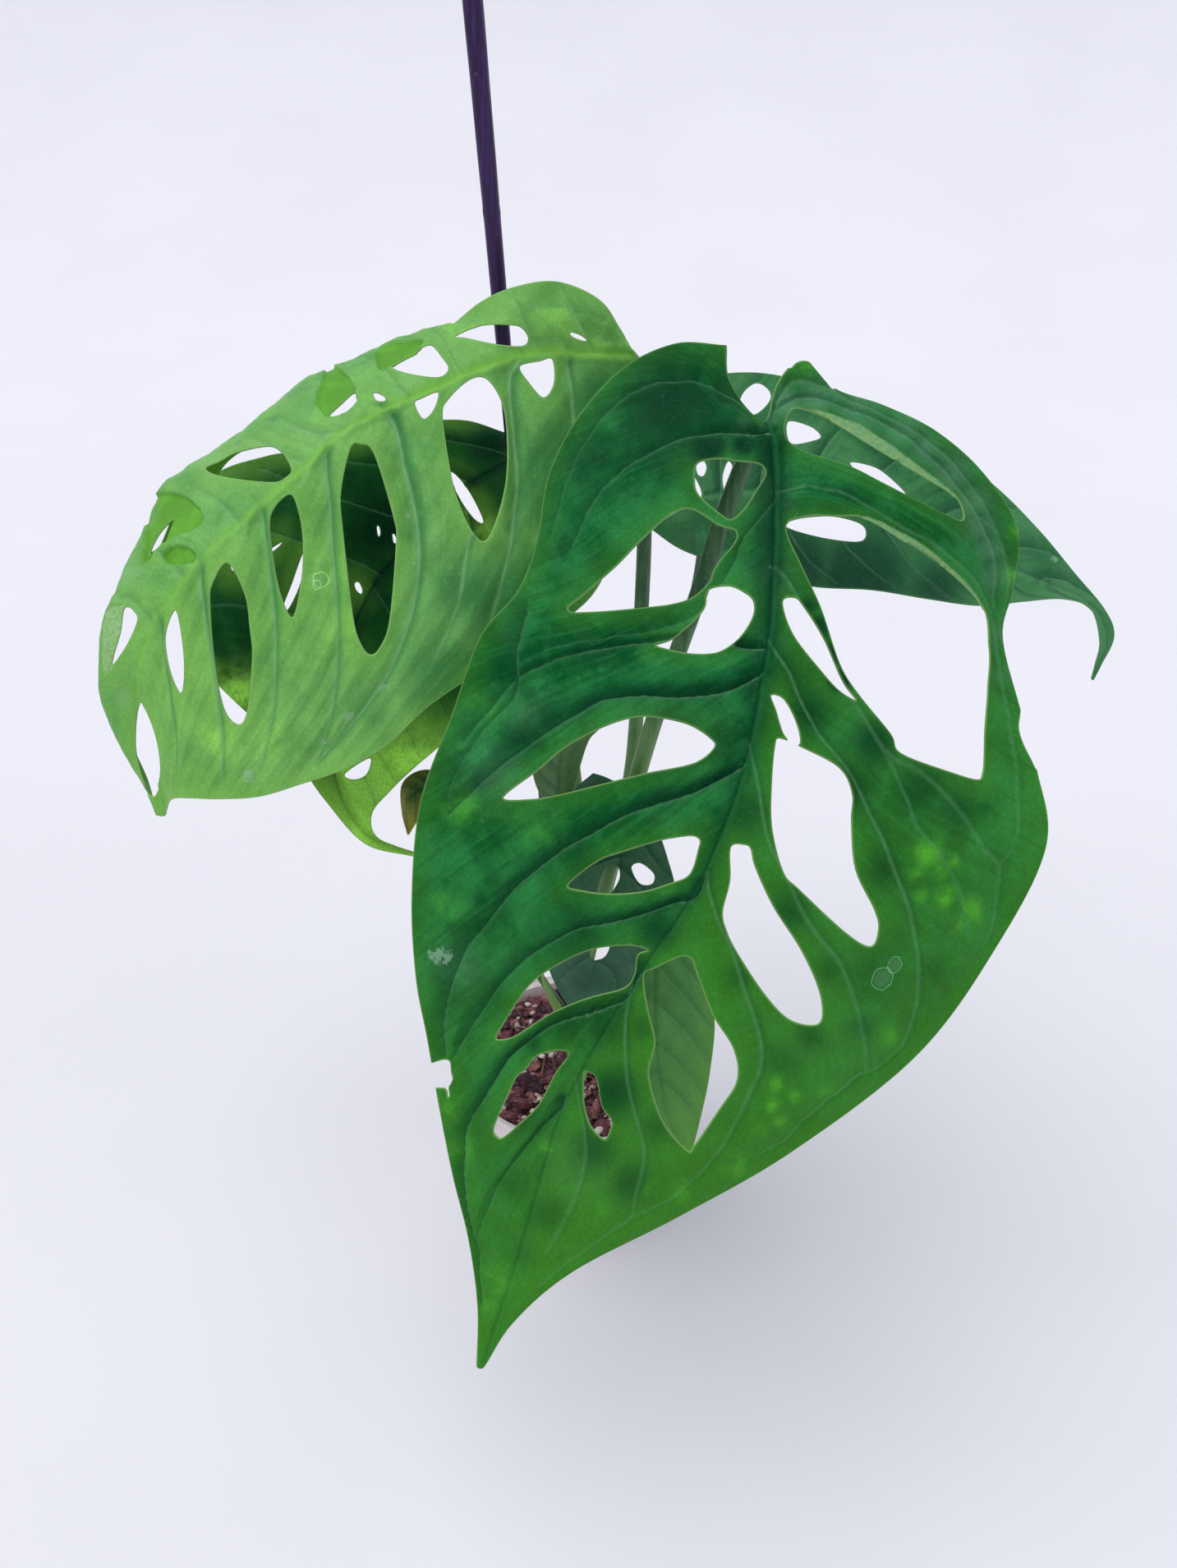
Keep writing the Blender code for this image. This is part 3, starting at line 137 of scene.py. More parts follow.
FRONT_HOLES = lists(2,
    (846, 570, 852, 562, 875, 558, 899, 561, 923, 564, 932, 572, 931, 582, 919, 601,
     909, 617, 895, 631, 887, 633, 875, 625, 860, 613, 848, 600, 845, 586),
    (897, 649, 895, 645, 875, 639, 860, 629, 844, 620, 828, 620, 812, 629, 796, 643, 773, 665,
     753, 686, 733, 704, 713, 722, 695, 736, 691, 741, 695, 746, 717, 746, 749, 744, 780, 741, 808, 738,
     828, 734, 844, 728, 854, 720, 860, 714, 866, 706, 869, 696, 879, 680, 891, 667, 898, 655),
    (798, 786, 816, 779, 832, 767, 848, 752, 858, 738, 862, 718, 887, 713, 905, 720,
     917, 730, 919, 744, 913, 760, 899, 779, 879, 793, 860, 797, 836, 796, 816, 792),
    (612, 971, 645, 974, 683, 968, 731, 956, 788, 942, 845, 930, 870, 911,
     866, 899, 837, 881, 793, 872, 766, 874, 731, 886, 690, 908, 655, 937),
    (691, 1077, 727, 1048, 756, 1037, 798, 1024, 822, 1019, 844, 1017, 853, 1023,
     851, 1034, 845, 1056, 837, 1068, 820, 1075, 784, 1086, 744, 1089, 708, 1085),
    (604, 1265, 625, 1263, 651, 1247, 676, 1232, 715, 1216, 759, 1204, 773, 1187,
     777, 1163, 790, 1157, 766, 1150, 721, 1155, 682, 1172, 645, 1198, 615, 1242),
    (653, 1285, 639, 1302, 629, 1310, 617, 1335, 601, 1372, 605, 1384,
     612, 1386, 628, 1373, 656, 1346, 677, 1307, 693, 1284, 679, 1278),
    (711, 1305, 715, 1304, 724, 1308, 728, 1317, 731, 1335, 734, 1348, 741, 1357, 745, 1363, 746, 1368,
     743, 1378, 739, 1386, 735, 1387, 729, 1383, 721, 1374, 716, 1364, 712, 1350, 710, 1337, 710, 1321),
    (783, 1188, 797, 1178, 837, 1163, 852, 1193, 869, 1236, 894, 1277, 898, 1315, 876, 1351,
     845, 1396, 838, 1402, 813, 1376, 799, 1348, 789, 1305, 797, 1269, 789, 1233),
    (954, 526, 972, 547, 1034, 568, 1072, 587, 1137, 620, 1172, 634, 1164, 605,
     1130, 582, 1091, 559, 1053, 536, 1015, 513, 977, 498, 961, 501),
    (956, 641, 984, 628, 1015, 628, 1053, 630, 1099, 656, 1160, 698, 1198, 741,
     1204, 786, 1205, 806, 1203, 832, 1202, 851, 1199, 890, 1198, 928, 1196, 943, 1191, 950,
     1164, 943, 1097, 918, 1084, 894, 1045, 846, 1022, 809, 999, 741, 976, 691),
    (952, 733, 967, 727, 978, 737, 1003, 777, 1026, 829, 1043, 853, 1022, 842, 999, 817, 965, 773),
    (938, 846, 955, 851, 971, 882, 974, 907, 955, 897, 944, 865),
    (943, 907, 949, 898, 976, 909, 1022, 934, 1038, 966, 1037, 1000, 1042, 1058, 1065, 1107,
     1070, 1131, 1060, 1153, 1029, 1136, 973, 1084, 953, 1062, 939, 1007, 939, 950),
    (889, 1031, 908, 1028, 915, 1034, 920, 1055, 942, 1103, 977, 1158, 999, 1210,
     998, 1246, 963, 1243, 932, 1213, 898, 1162, 884, 1134, 879, 1110, 888, 1072))
# Bites out of the margin: the torn notch, the rounded top of the right lobe, and a slight waist.
FRONT_BITES = lists(2,
    (536, 1290, 546, 1290, 549, 1294, 550, 1306, 552, 1312, 550, 1319, 547, 1324,
     548, 1335, 545, 1336, 543, 1326, 534, 1325, 520, 1322, 516, 1300),
    (950, 440, 962, 449, 969, 443, 978, 440, 988, 443, 996, 454, 1004, 464, 1016, 474, 1022, 440, 980, 415),
    (1246, 862, 1241, 874, 1240, 888, 1245, 905, 1254, 923, 1264, 940, 1280, 935, 1275, 880))
# Veins: strength, below 0 for a pale one, then seen points from the midrib outwards.
FRONT_VEINS = lists(2,
    (0.7, 915, 503, 883, 475, 852, 463, 820, 461, 788, 467,
     757, 483, 733, 506, 705, 546, 686, 593, 670, 649),
    (0.9, 938, 527, 891, 524, 836, 530, 788, 550, 757, 570, 725, 601, 705, 641, 693, 665),
    (0.5, 942, 610, 905, 655, 890, 690, 850, 745, 800, 765, 740, 775, 680, 785, 640, 800),
    (0.9, 932, 790, 900, 786, 862, 779, 816, 779, 765, 783,
     717, 791, 670, 803, 626, 827, 595, 862, 563, 900),
    (1.0, 926, 822, 900, 835, 875, 843, 828, 848, 780, 846,
     741, 850, 717, 859, 670, 887, 630, 915, 591, 946, 547, 990),
    (0.6, 640, 745, 628, 790, 626, 844, 595, 879, 563, 923, 547, 958, 545, 990),
    (1.0, 905, 932, 899, 937, 867, 954, 836, 968, 796, 980, 757, 994, 717, 1016, 686, 1033,
     654, 1057, 622, 1085, 591, 1124, 563, 1160, 547, 1204, 539, 1247, 541, 1285),
    (1.0, 858, 1070, 848, 1093, 820, 1101, 780, 1115, 733, 1126, 701, 1132,
     670, 1148, 638, 1168, 610, 1196, 591, 1223, 567, 1259, 553, 1284),
    (1.0, 778, 1188, 763, 1215, 733, 1230, 704, 1238, 669, 1250, 639, 1271, 616, 1291, 588, 1337,
     574, 1357, 565, 1381, 563, 1416, 565, 1451, 571, 1489, 580, 1522, 583, 1557, 586, 1586),
    (0.8, 688, 1337, 682, 1351, 656, 1378, 627, 1413, 606, 1442, 591, 1475, 581, 1504),
    (-0.9, 944, 497, 985, 480, 1030, 492, 1075, 512, 1110, 535,
     1145, 566, 1175, 602, 1200, 645, 1212, 690, 1212, 740),
    (-0.7, 946, 488, 975, 462, 1040, 487, 1100, 514, 1150, 552, 1190, 600, 1216, 650, 1228, 700, 1222, 745),
    (-0.55, 944, 600, 985, 590, 1040, 605, 1100, 640, 1150, 670, 1190, 710, 1208, 750,
     1215, 800, 1225, 850, 1232, 900, 1239, 950, 1240, 1000, 1235, 1028, 1216, 1055),
    (-0.6, 938, 690, 955, 700, 975, 735, 1000, 790, 1050, 870, 1085, 920, 1115, 935,
     1150, 965, 1180, 1003, 1197, 1031, 1216, 1055, 1216, 1086, 1208, 1127, 1197, 1155),
    (-0.5, 1050, 870, 1085, 930, 1105, 975, 1115, 1003, 1135, 1028, 1156, 1058, 1171, 1093, 1180, 1138),
    (-0.8, 935, 780, 960, 815, 980, 860, 1000, 895, 1035, 940, 1066, 1000, 1080, 1031, 1097, 1076,
     1111, 1117, 1118, 1165, 1119, 1207, 1113, 1241, 1101, 1272, 1080, 1293, 1056, 1306),
    (-0.7, 912, 905, 925, 960, 935, 1020, 963, 1079, 980, 1114, 998, 1141,
     1022, 1172, 1037, 1207, 1046, 1238, 1053, 1275, 1055, 1305),
    (-0.6, 1055, 1305, 1030, 1325, 990, 1355, 960, 1385, 925, 1405),
    (-0.7, 862, 1062, 863, 1086, 877, 1127, 894, 1165, 905, 1203, 918, 1238, 927, 1272,
     925, 1303, 911, 1337, 894, 1372, 867, 1413, 839, 1444, 805, 1468, 767, 1484),
    (-0.6, 770, 1200, 761, 1243, 762, 1310, 770, 1348, 781, 1386,
     784, 1413, 774, 1455, 767, 1484, 729, 1511, 685, 1542, 656, 1566),
    (-0.5, 700, 1312, 712, 1395, 705, 1440, 690, 1480, 665, 1525),
    lead=1)

LEFT_COLUMNS = (-1.0, -0.75, -0.5, -0.25, 0.0, 0.33, 0.66, 1.0)
LEFT_ROWS = lists(3,
    (756, 403, 368, 760, 410, 368, 764, 417, 369, 768, 424, 369,
     773, 431, 370, 776, 437, 372, 778, 444, 374, 779, 452, 377),
    (730, 366, 360, 734, 382, 361, 738, 398, 363, 742, 414, 366,
     745, 430, 368, 753, 468, 373, 762, 508, 377, 771, 548, 381),
    (680, 344, 357, 686, 365, 358, 692, 387, 360, 698, 408, 363,
     703, 430, 366, 713, 500, 370, 729, 580, 374, 752, 650, 380),
    (631, 349, 356, 638, 369, 356, 645, 390, 357, 652, 410, 360,
     660, 429, 363, 671, 520, 366, 692, 620, 370, 722, 722, 376),
    (586, 368, 360, 595, 385, 358, 603, 402, 357, 611, 420, 358,
     618, 438, 359, 628, 545, 362, 643, 665, 366, 665, 768, 372),
    (532, 410, 374, 532, 402, 368, 538, 399, 361, 554, 425, 357,
     571, 454, 355, 587, 560, 357, 603, 690, 361, 605, 804, 367),
    (466, 436, 378, 469, 425, 370, 482, 415, 361, 501, 445, 354,
     520, 476, 351, 540, 600, 353, 545, 740, 357, 524, 857, 362),
    (420, 480, 386, 408, 457, 376, 418, 444, 362, 444, 470, 351,
     468, 499, 347, 487, 620, 349, 487, 770, 353, 472, 905, 358),
    (375, 530, 390, 358, 492, 379, 370, 464, 362, 396, 492, 349,
     420, 523, 344, 440, 650, 346, 440, 800, 350, 420, 935, 355),
    (318, 538, 378, 314, 520, 372, 320, 509, 362, 345, 538, 347,
     368, 569, 341, 388, 690, 343, 388, 830, 347, 366, 954, 352),
    (264, 580, 377, 262, 558, 372, 268, 546, 361, 295, 578, 345,
     318, 613, 339, 335, 725, 341, 336, 850, 345, 315, 969, 350),
    (238, 700, 386, 197, 650, 375, 199, 592, 359, 238, 622, 345,
     265, 660, 338, 279, 760, 340, 280, 870, 344, 266, 972, 349),
    (203, 750, 382, 170, 705, 371, 172, 655, 356, 197, 680, 345,
     222, 706, 339, 232, 795, 341, 237, 885, 345, 234, 971, 349),
    (172, 800, 375, 140, 768, 365, 130, 741, 353, 157, 750, 346,
     187, 760, 343, 198, 830, 344, 208, 905, 347, 213, 971, 351),
    (155, 846, 371, 131, 832, 362, 120, 812, 354, 143, 812, 350,
     167, 815, 348, 180, 865, 350, 194, 920, 353, 206, 976, 356),
    (160, 902, 371, 143, 896, 365, 136, 882, 359, 153, 880, 357,
     172, 880, 356, 184, 915, 357, 195, 948, 359, 204, 981, 361),
    (180, 952, 369, 175, 952, 366, 171, 946, 362, 181, 945, 361,
     190, 945, 361, 194, 957, 361, 199, 970, 362, 203, 985, 363),
    (190, 992, 366, 191, 992, 366, 192, 992, 365, 193, 993, 365,
     195, 993, 365, 197, 993, 365, 199, 993, 365, 201, 992, 365))
LEFT_HOLES = lists(2,
    (553, 410, 587, 396, 622, 395, 636, 399, 644, 412, 636, 422, 604, 420, 566, 412),
    (693, 406, 697, 404, 708, 408, 715, 414, 711, 416, 697, 411),
    (476, 445, 507, 427, 525, 420, 539, 435, 547, 449, 534, 460, 496, 455),
    (454, 478, 462, 479, 470, 484, 469, 489, 460, 489, 455, 485),
    (250, 571, 267, 562, 291, 550, 334, 544, 355, 569, 349, 581, 330, 588, 271, 581),
    (632, 446, 657, 439, 673, 437, 675, 467, 662, 485, 644, 467),
    (538, 507, 545, 486, 571, 462, 593, 461, 612, 491, 618, 534,
     616, 591, 601, 644, 588, 660, 572, 644, 557, 610, 548, 576),
    (504, 491, 512, 485, 534, 477, 529, 499, 515, 511),
    (439, 540, 426, 545, 414, 600, 417, 649, 429, 751, 439, 785,
     451, 798, 463, 789, 475, 756, 483, 663, 480, 630, 456, 552),
    (354, 601, 332, 620, 328, 649, 339, 717, 356, 753, 367, 712, 370, 668, 366, 630),
    (277, 684, 258, 710, 255, 736, 261, 809, 273, 865, 291, 883, 302, 865, 308, 801, 305, 765, 299, 724),
    (214, 742, 223, 783, 225, 824, 220, 845, 207, 818, 201, 774),
    (170, 855, 188, 889, 196, 933, 191, 968, 179, 962, 165, 912))
# Holes that open both the near side and the rolled far side.
LEFT_THROUGH = lists(2,
    (397, 505, 410, 507, 424, 499, 434, 487, 431, 474, 415, 487),
    (179, 672, 186, 672, 195, 665, 202, 650, 209, 630, 198, 639, 187, 653),
    (149, 742, 156, 738, 163, 743, 168, 755, 155, 786, 136, 812, 137, 798, 145, 770))
# Parts of another tone, each a kind and a ring: lime shows the underside through an arch, in the underside's
# green brightened as painted glow of light shining through, and turned is a rim turned under.
LEFT_PANELS = lists(2,
    ("lime", 398, 448, 408, 447, 420, 453, 428, 463, 433, 476, 434, 489,
     422, 501, 405, 507, 394, 505, 386, 492, 388, 474, 393, 459),
    ("lime", 186, 607, 196, 600, 208, 598, 222, 601, 236, 611, 246, 624, 245, 637,
     232, 646, 210, 655, 193, 664, 182, 680, 170, 686, 173, 668, 177, 640, 181, 620),
    ("lime", 194, 677, 203, 667, 217, 663, 230, 666, 237, 674, 233, 683, 217, 687, 201, 685),
    ("turned", 131, 743, 140, 736, 150, 735, 160, 741, 168, 752, 164, 765,
     153, 783, 143, 800, 133, 818, 125, 815, 122, 790, 126, 760),
    ("lime", 457, 430, 470, 419, 490, 414, 514, 413, 507, 427, 490, 436, 476, 445, 462, 449),
    lead=1)
FRONT_PANELS = lists(2,
    ("turned", 985, 497, 1026, 508, 1060, 523, 1088, 540, 1112, 560,
     1135, 578, 1166, 606, 1130, 582, 1091, 559, 1053, 536, 1015, 513),
    ("turned", 1050, 629, 1080, 637, 1110, 652, 1140, 674,
     1165, 696, 1185, 718, 1198, 741, 1160, 698, 1099, 656),
    lead=1)
# Spots by kind: seen place, radius and strength. Shade spots are painted shade; pale spots are painted
# sheen and highlights, in places paler patches of the green; yellow and scar spots are the leaf's own marks.
FRONT_SPOTS = by_kind(
    yellow=(
        1130, 1040, 15, 0.9, 1146, 1062, 9, 0.8, 1152, 1092, 12, 1.0, 1182, 1108, 13, 1.0,
        1165, 1125, 9, 0.9, 1112, 1066, 9, 0.8, 1162, 1050, 8, 0.7, 945, 1318, 9, 1.0, 940, 1345, 9, 1.0,
        951, 1366, 9, 1.0, 926, 1372, 9, 0.8, 1085, 1262, 12, 0.6, 968, 1335, 7, 0.8, 1006, 1330, 9, 0.6,
        1120, 1090, 8, 0.7, 895, 1420, 14, 0.6, 830, 1452, 12, 0.5, 610, 1560, 22, 0.5,
        560, 980, 26, 0.5, 545, 1100, 20, 0.3, 592, 860, 22, 0.3, 655, 1010, 28, 0.25, 560, 1400, 14, 0.7,
        605, 1560, 20, 0.6, 668, 1400, 12, 0.6, 596, 1590, 10, 0.8, 730, 1480, 14, 0.6,
        790, 1450, 10, 0.6, 1235, 700, 10, 0.9, 1238, 650, 9, 0.8, 979, 447, 12, 0.8, 540, 1350, 18, 0.6),
    pale=(
        600, 940, 40, 0.35, 640, 870, 30, 0.3, 560, 1180, 30, 0.35, 700, 1420, 40, 0.2, 1045, 492, 20, 0.8,
        1185, 612, 20, 0.8, 1130, 545, 16, 0.8, 1205, 668, 16, 0.8, 938, 508, 12, 1.0, 958, 490, 18, 1.0,
        995, 482, 20, 0.9, 905, 520, 10, 0.9, 940, 700, 24, 0.35, 941, 600, 26, 0.35,
        1060, 505, 22, 0.5, 1130, 550, 22, 0.5, 1195, 640, 20, 0.7, 870, 1300, 20, 0.2, 1020, 470, 22, 0.8,
        1100, 522, 24, 0.7, 1160, 578, 24, 0.7, 1215, 700, 18, 0.7, 1222, 770, 16, 0.6, 1225, 820, 12, 0.4),
    shade=(
        622, 1440, 34, 0.32, 668, 1478, 30, 0.45, 690, 1240, 44, 0.55, 640, 1530, 26, 0.28,
        722, 1400, 40, 0.5, 745, 1330, 44, 0.6, 768, 1440, 34, 0.5, 640, 1360, 36, 0.4,
        800, 1370, 30, 0.4, 1060, 1180, 50, 0.35, 1066, 905, 34, 0.6, 1075, 1060, 30, 0.5,
        1165, 985, 34, 0.5, 950, 1290, 34, 0.35, 985, 1260, 26, 0.4,
        1050, 1250, 26, 0.35, 1135, 1180, 24, 0.3, 845, 1350, 30, 0.4, 900, 1190, 24, 0.4,
        984, 738, 14, 0.7, 994, 766, 18, 1.0, 1008, 798, 18, 1.0, 1022, 828, 16, 1.0,
        820, 490, 75, 0.75, 715, 560, 60, 0.45, 905, 475, 30, 0.8, 860, 545, 26, 0.9,
        820, 905, 60, 0.5, 1030, 960, 40, 0.6, 1120, 960, 40, 0.55, 980, 870, 30, 0.6,
        700, 1140, 60, 0.5, 740, 1240, 50, 0.55, 960, 1110, 36, 0.5, 600, 1110, 30, 0.4,
        586, 1094, 16, 0.5, 604, 1074, 20, 0.4, 650, 1270, 18, 0.5, 870, 540, 20, 0.8,
        905, 540, 20, 0.8, 770, 1180, 26, 0.7, 800, 1130, 34, 0.6, 880, 905, 40, 0.5,
        1196, 985, 14, 0.45, 700, 1050, 40, 0.4, 880, 470, 34, 0.7, 740, 555, 40, 0.35,
        1045, 905, 26, 0.35, 905, 990, 40, 0.5, 1010, 1180, 26, 0.4, 780, 1250, 22, 0.5),
    scar=(
        536, 1162, 14, 1.0, 662, 940, 5, 0.5))
LEFT_SPOTS = by_kind(
    yellow=(
        400, 700, 30, 0.25, 420, 770, 34, 0.3, 262, 900, 24, 0.4, 330, 900, 20, 0.35,
        680, 370, 34, 0.4, 730, 400, 28, 0.35, 560, 400, 20, 0.3, 640, 690, 30, 0.25),
    scar=(
        500, 630, 12, 0.5, 425, 874, 9, 0.8, 303, 945, 9, 0.8, 470, 840, 10, 0.6,
        600, 672, 9, 0.4, 395, 905, 8, 0.6, 560, 800, 9, 0.4, 380, 740, 5, 0.5),
    shade=(
        570, 720, 60, 0.6, 700, 580, 75, 1.0, 735, 490, 50, 0.8, 640, 740, 70, 1.0,
        540, 820, 55, 0.6, 325, 800, 22, 0.35, 230, 915, 24, 0.35, 450, 860, 45, 0.3,
        498, 650, 16, 0.45, 546, 700, 18, 0.5, 404, 620, 9, 0.4, 628, 640, 16, 0.5),
    pale=(
        250, 560, 20, 0.5, 160, 700, 16, 0.6, 330, 570, 18, 0.4,
        500, 460, 16, 0.4, 150, 850, 12, 0.5, 420, 520, 16, 0.3))
# Dried drop marks: leaf, seen place and radius in metres.
DROP_MARKS = {
    "leaf_front": ((1090, 1175, 0.0022), (1074, 1191, 0.0033)),
    "leaf_left": ((392, 706, 0.0023), (386, 712, 0.0012)),
}
LEFT_VEINS = lists(2,
    (-0.8, 690, 431, 697, 480, 703, 540, 698, 610, 690, 660, 665, 725),
    (-1, 632, 437, 622, 467, 628, 530, 631, 597, 622, 670, 606, 730, 590, 790),
    (-0.7, 576, 640, 567, 684, 560, 730, 545, 770, 531, 800),
    (-1, 466, 500, 477, 508, 485, 528, 494, 571, 506, 620,
     511, 678, 504, 736, 485, 794, 456, 848, 412, 901, 388, 925),
    (-0.8, 395, 548, 397, 580, 402, 620, 404, 663, 410, 747, 409, 820, 400, 882, 385, 930),
    (-0.8, 314, 618, 320, 640, 328, 700, 334, 765, 334, 820, 330, 872, 318, 925),
    (-0.8, 240, 686, 242, 717, 252, 775, 262, 833, 268, 900, 269, 950),
    (-0.7, 192, 752, 196, 800, 205, 850, 212, 910, 214, 955),
    (-0.35, 433, 518, 393, 530, 343, 513, 325, 512),
    (-0.35, 368, 565, 343, 556, 306, 535, 290, 540),
    (-0.35, 290, 640, 270, 615, 245, 600, 228, 592),
    (-0.35, 222, 704, 208, 690, 188, 670, 178, 655),
    (-0.35, 185, 762, 170, 745, 155, 730, 140, 733),
    (-0.35, 560, 458, 545, 430, 535, 412, 528, 402),
    (-0.35, 495, 487, 475, 460, 455, 440, 440, 436),
    (-0.35, 655, 428, 640, 400, 630, 375, 622, 356),
    (-0.35, 720, 430, 705, 395, 690, 365, 683, 350),
    lead=1)

BEHIND_COLUMNS = (-1.0, -0.5, 0.0, 0.5, 1.0)
BEHIND_ROWS = lists(3,
    (617, 528, 428, 626, 535, 430, 640, 547, 434, 648, 560, 436, 655, 575, 438),
    (560, 512, 416, 590, 540, 422, 610, 565, 429, 640, 600, 438, 660, 640, 446),
    (480, 520, 410, 520, 560, 416, 555, 600, 424, 605, 655, 436, 648, 700, 450),
    (400, 548, 406, 455, 600, 411, 505, 655, 418, 565, 715, 426, 622, 768, 436),
    (325, 556, 404, 395, 635, 408, 460, 705, 415, 530, 770, 421, 600, 828, 430),
    (250, 590, 402, 335, 690, 406, 425, 775, 412, 500, 820, 418, 575, 868, 426),
    (225, 690, 401, 310, 775, 405, 402, 835, 410, 470, 865, 416, 540, 903, 423),
    (240, 800, 402, 320, 850, 406, 395, 890, 409, 445, 910, 414, 503, 935, 420),
    (352, 915, 405, 378, 928, 407, 408, 940, 409, 440, 952, 412, 475, 962, 415),
    (395, 972, 407, 408, 978, 408, 422, 983, 409, 436, 985, 411, 452, 991, 413),
    (444, 1026, 409, 447, 1022, 409, 451, 1019, 410, 455, 1018, 410, 460, 1021, 411),
    (503, 1042, 412, 503, 1041, 412, 504, 1040, 412, 504, 1039, 412, 504, 1038, 412))
BEHIND_HOLES = lists(2,
    (547, 576, 556, 578, 573, 600, 588, 630, 587, 638, 575, 630, 558, 605),
    (368, 674, 372, 684, 366, 712, 353, 740, 343, 748, 345, 735, 354, 712),
    (325, 672, 333, 665, 344, 659, 342, 664, 334, 671, 327, 675),
    (280, 688, 285, 685, 291, 690, 289, 696, 282, 695),
    (431, 710, 437, 708, 442, 718, 440, 724, 433, 719),
    (458, 641, 462, 640, 464, 650, 460, 654),
    (477, 650, 481, 650, 484, 660, 479, 662),
    (419, 942, 451, 922, 447, 943, 430, 950))

RIGHT_COLUMNS = (-1.0, -0.5, 0.0, 0.5, 1.0)
RIGHT_ROWS = lists(3,
    (822, 500, 440, 830, 550, 430, 855, 603, 421, 822, 625, 418, 792, 643, 415),
    (860, 462, 443, 862, 520, 434, 880, 598, 423, 865, 640, 418, 835, 671, 413),
    (915, 454, 446, 920, 515, 437, 930, 594, 426, 925, 650, 419, 905, 692, 413),
    (975, 464, 448, 985, 525, 439, 990, 597, 428, 990, 665, 420, 985, 713, 413),
    (1045, 488, 450, 1050, 545, 441, 1052, 613, 431, 1058, 675, 423, 1062, 718, 416),
    (1125, 530, 452, 1122, 580, 444, 1120, 640, 435, 1125, 693, 427, 1130, 729, 420),
    (1205, 587, 454, 1195, 630, 447, 1188, 672, 440, 1190, 710, 433, 1192, 737, 427),
    (1263, 644, 455, 1252, 672, 449, 1245, 697, 444, 1245, 719, 439, 1247, 732, 435),
    (1308, 698, 455, 1302, 710, 451, 1298, 718, 448, 1296, 724, 446, 1294, 729, 443),
    (1345, 743, 455, 1340, 743, 453, 1336, 744, 452, 1332, 744, 451, 1328, 741, 450),
    (1356, 775, 456, 1351, 774, 455, 1347, 774, 454, 1343, 776, 453, 1339, 780, 452),
    (1340, 810, 458, 1338, 809, 457, 1337, 808, 457, 1336, 808, 456, 1334, 807, 456),
    (1331, 828, 459, 1330, 828, 459, 1330, 827, 459, 1330, 827, 459, 1329, 826, 459))
RIGHT_HOLES = lists(2,
    (900, 502, 903, 480, 920, 466, 936, 474, 938, 488, 920, 505),
    (959, 513, 987, 519, 1000, 531, 991, 537, 962, 540),
    (1034, 564, 1064, 568, 1087, 584, 1103, 603, 1072, 597),
    (957, 642, 968, 632, 1010, 628, 1045, 636, 1055, 648, 1046, 660, 1000, 655),
    (847, 566, 855, 559, 861, 568, 857, 580, 849, 578),
    (879, 580, 886, 561, 893, 570, 890, 596, 882, 600))

LOW_COLUMNS = (-1.0, 0.0, 1.0)
LOW_ROWS = lists(3,
    (800, 1122, 500, 812, 1114, 500, 826, 1120, 500),
    (768, 1170, 496, 800, 1160, 494, 852, 1165, 498),
    (750, 1240, 488, 798, 1235, 484, 869, 1235, 490),
    (752, 1310, 480, 803, 1305, 475, 864, 1303, 482),
    (780, 1365, 472, 814, 1360, 467, 853, 1358, 473),
    (831, 1406, 462, 836, 1408, 461, 841, 1405, 462))

SMALL_COLUMNS = (-1.0, -0.5, 0.0, 0.5, 1.0)
SMALL_ROWS = lists(3,
    (722, 942, 438, 735, 946, 434, 750, 953, 431, 758, 956, 427, 764, 959, 425),
    (698, 965, 438, 725, 968, 433, 753, 975, 430, 775, 982, 426, 792, 992, 427),
    (675, 1015, 440, 715, 1018, 434, 757, 1025, 430, 785, 1030, 431, 812, 1045, 434),
    (662, 1080, 444, 705, 1085, 438, 750, 1090, 434, 787, 1095, 435, 821, 1090, 438),
    (660, 1145, 454, 695, 1150, 448, 735, 1150, 444, 775, 1152, 446, 806, 1145, 450),
    (675, 1195, 464, 695, 1200, 461, 716, 1200, 459, 742, 1200, 460, 768, 1197, 463),
    (701, 1239, 470, 702, 1240, 470, 703, 1240, 470, 704, 1240, 470, 706, 1239, 470))
SMALL_HOLES = lists(2,
    (727, 1080, 737, 1056, 752, 1054, 755, 1070, 742, 1090, 730, 1090),
    (768, 1056, 780, 1050, 797, 1064, 794, 1077, 778, 1076),
    (717, 1160, 728, 1146, 743, 1148, 738, 1164, 724, 1170))

UPRIGHT_COLUMNS = (-1.0, 0.0, 1.0)
UPRIGHT_ROWS = lists(3,
    (680, 986, 451, 686, 989, 450, 693, 985, 450),
    (658, 966, 451, 682, 965, 448, 699, 958, 450),
    (649, 935, 451, 682, 933, 448, 707, 928, 450),
    (656, 898, 452, 690, 896, 449, 717, 900, 451),
    (684, 866, 454, 708, 868, 451, 733, 880, 453),
    (728, 842, 457, 730, 843, 457, 732, 846, 457))

YELLOW_TIP_COLUMNS = (-1.0, 0.0, 1.0)
YELLOW_TIP_ROWS = lists(3,
    (545, 949, 441, 543, 957, 440, 542, 966, 441),
    (524, 938, 439, 527, 957, 437, 531, 978, 439),
    (503, 942, 438, 510, 962, 435, 518, 985, 438),
    (489, 958, 438, 498, 975, 436, 508, 999, 438),
    (490, 990, 440, 495, 995, 439, 502, 1008, 440),
    (496, 1015, 441, 497, 1016, 441, 498, 1015, 441))

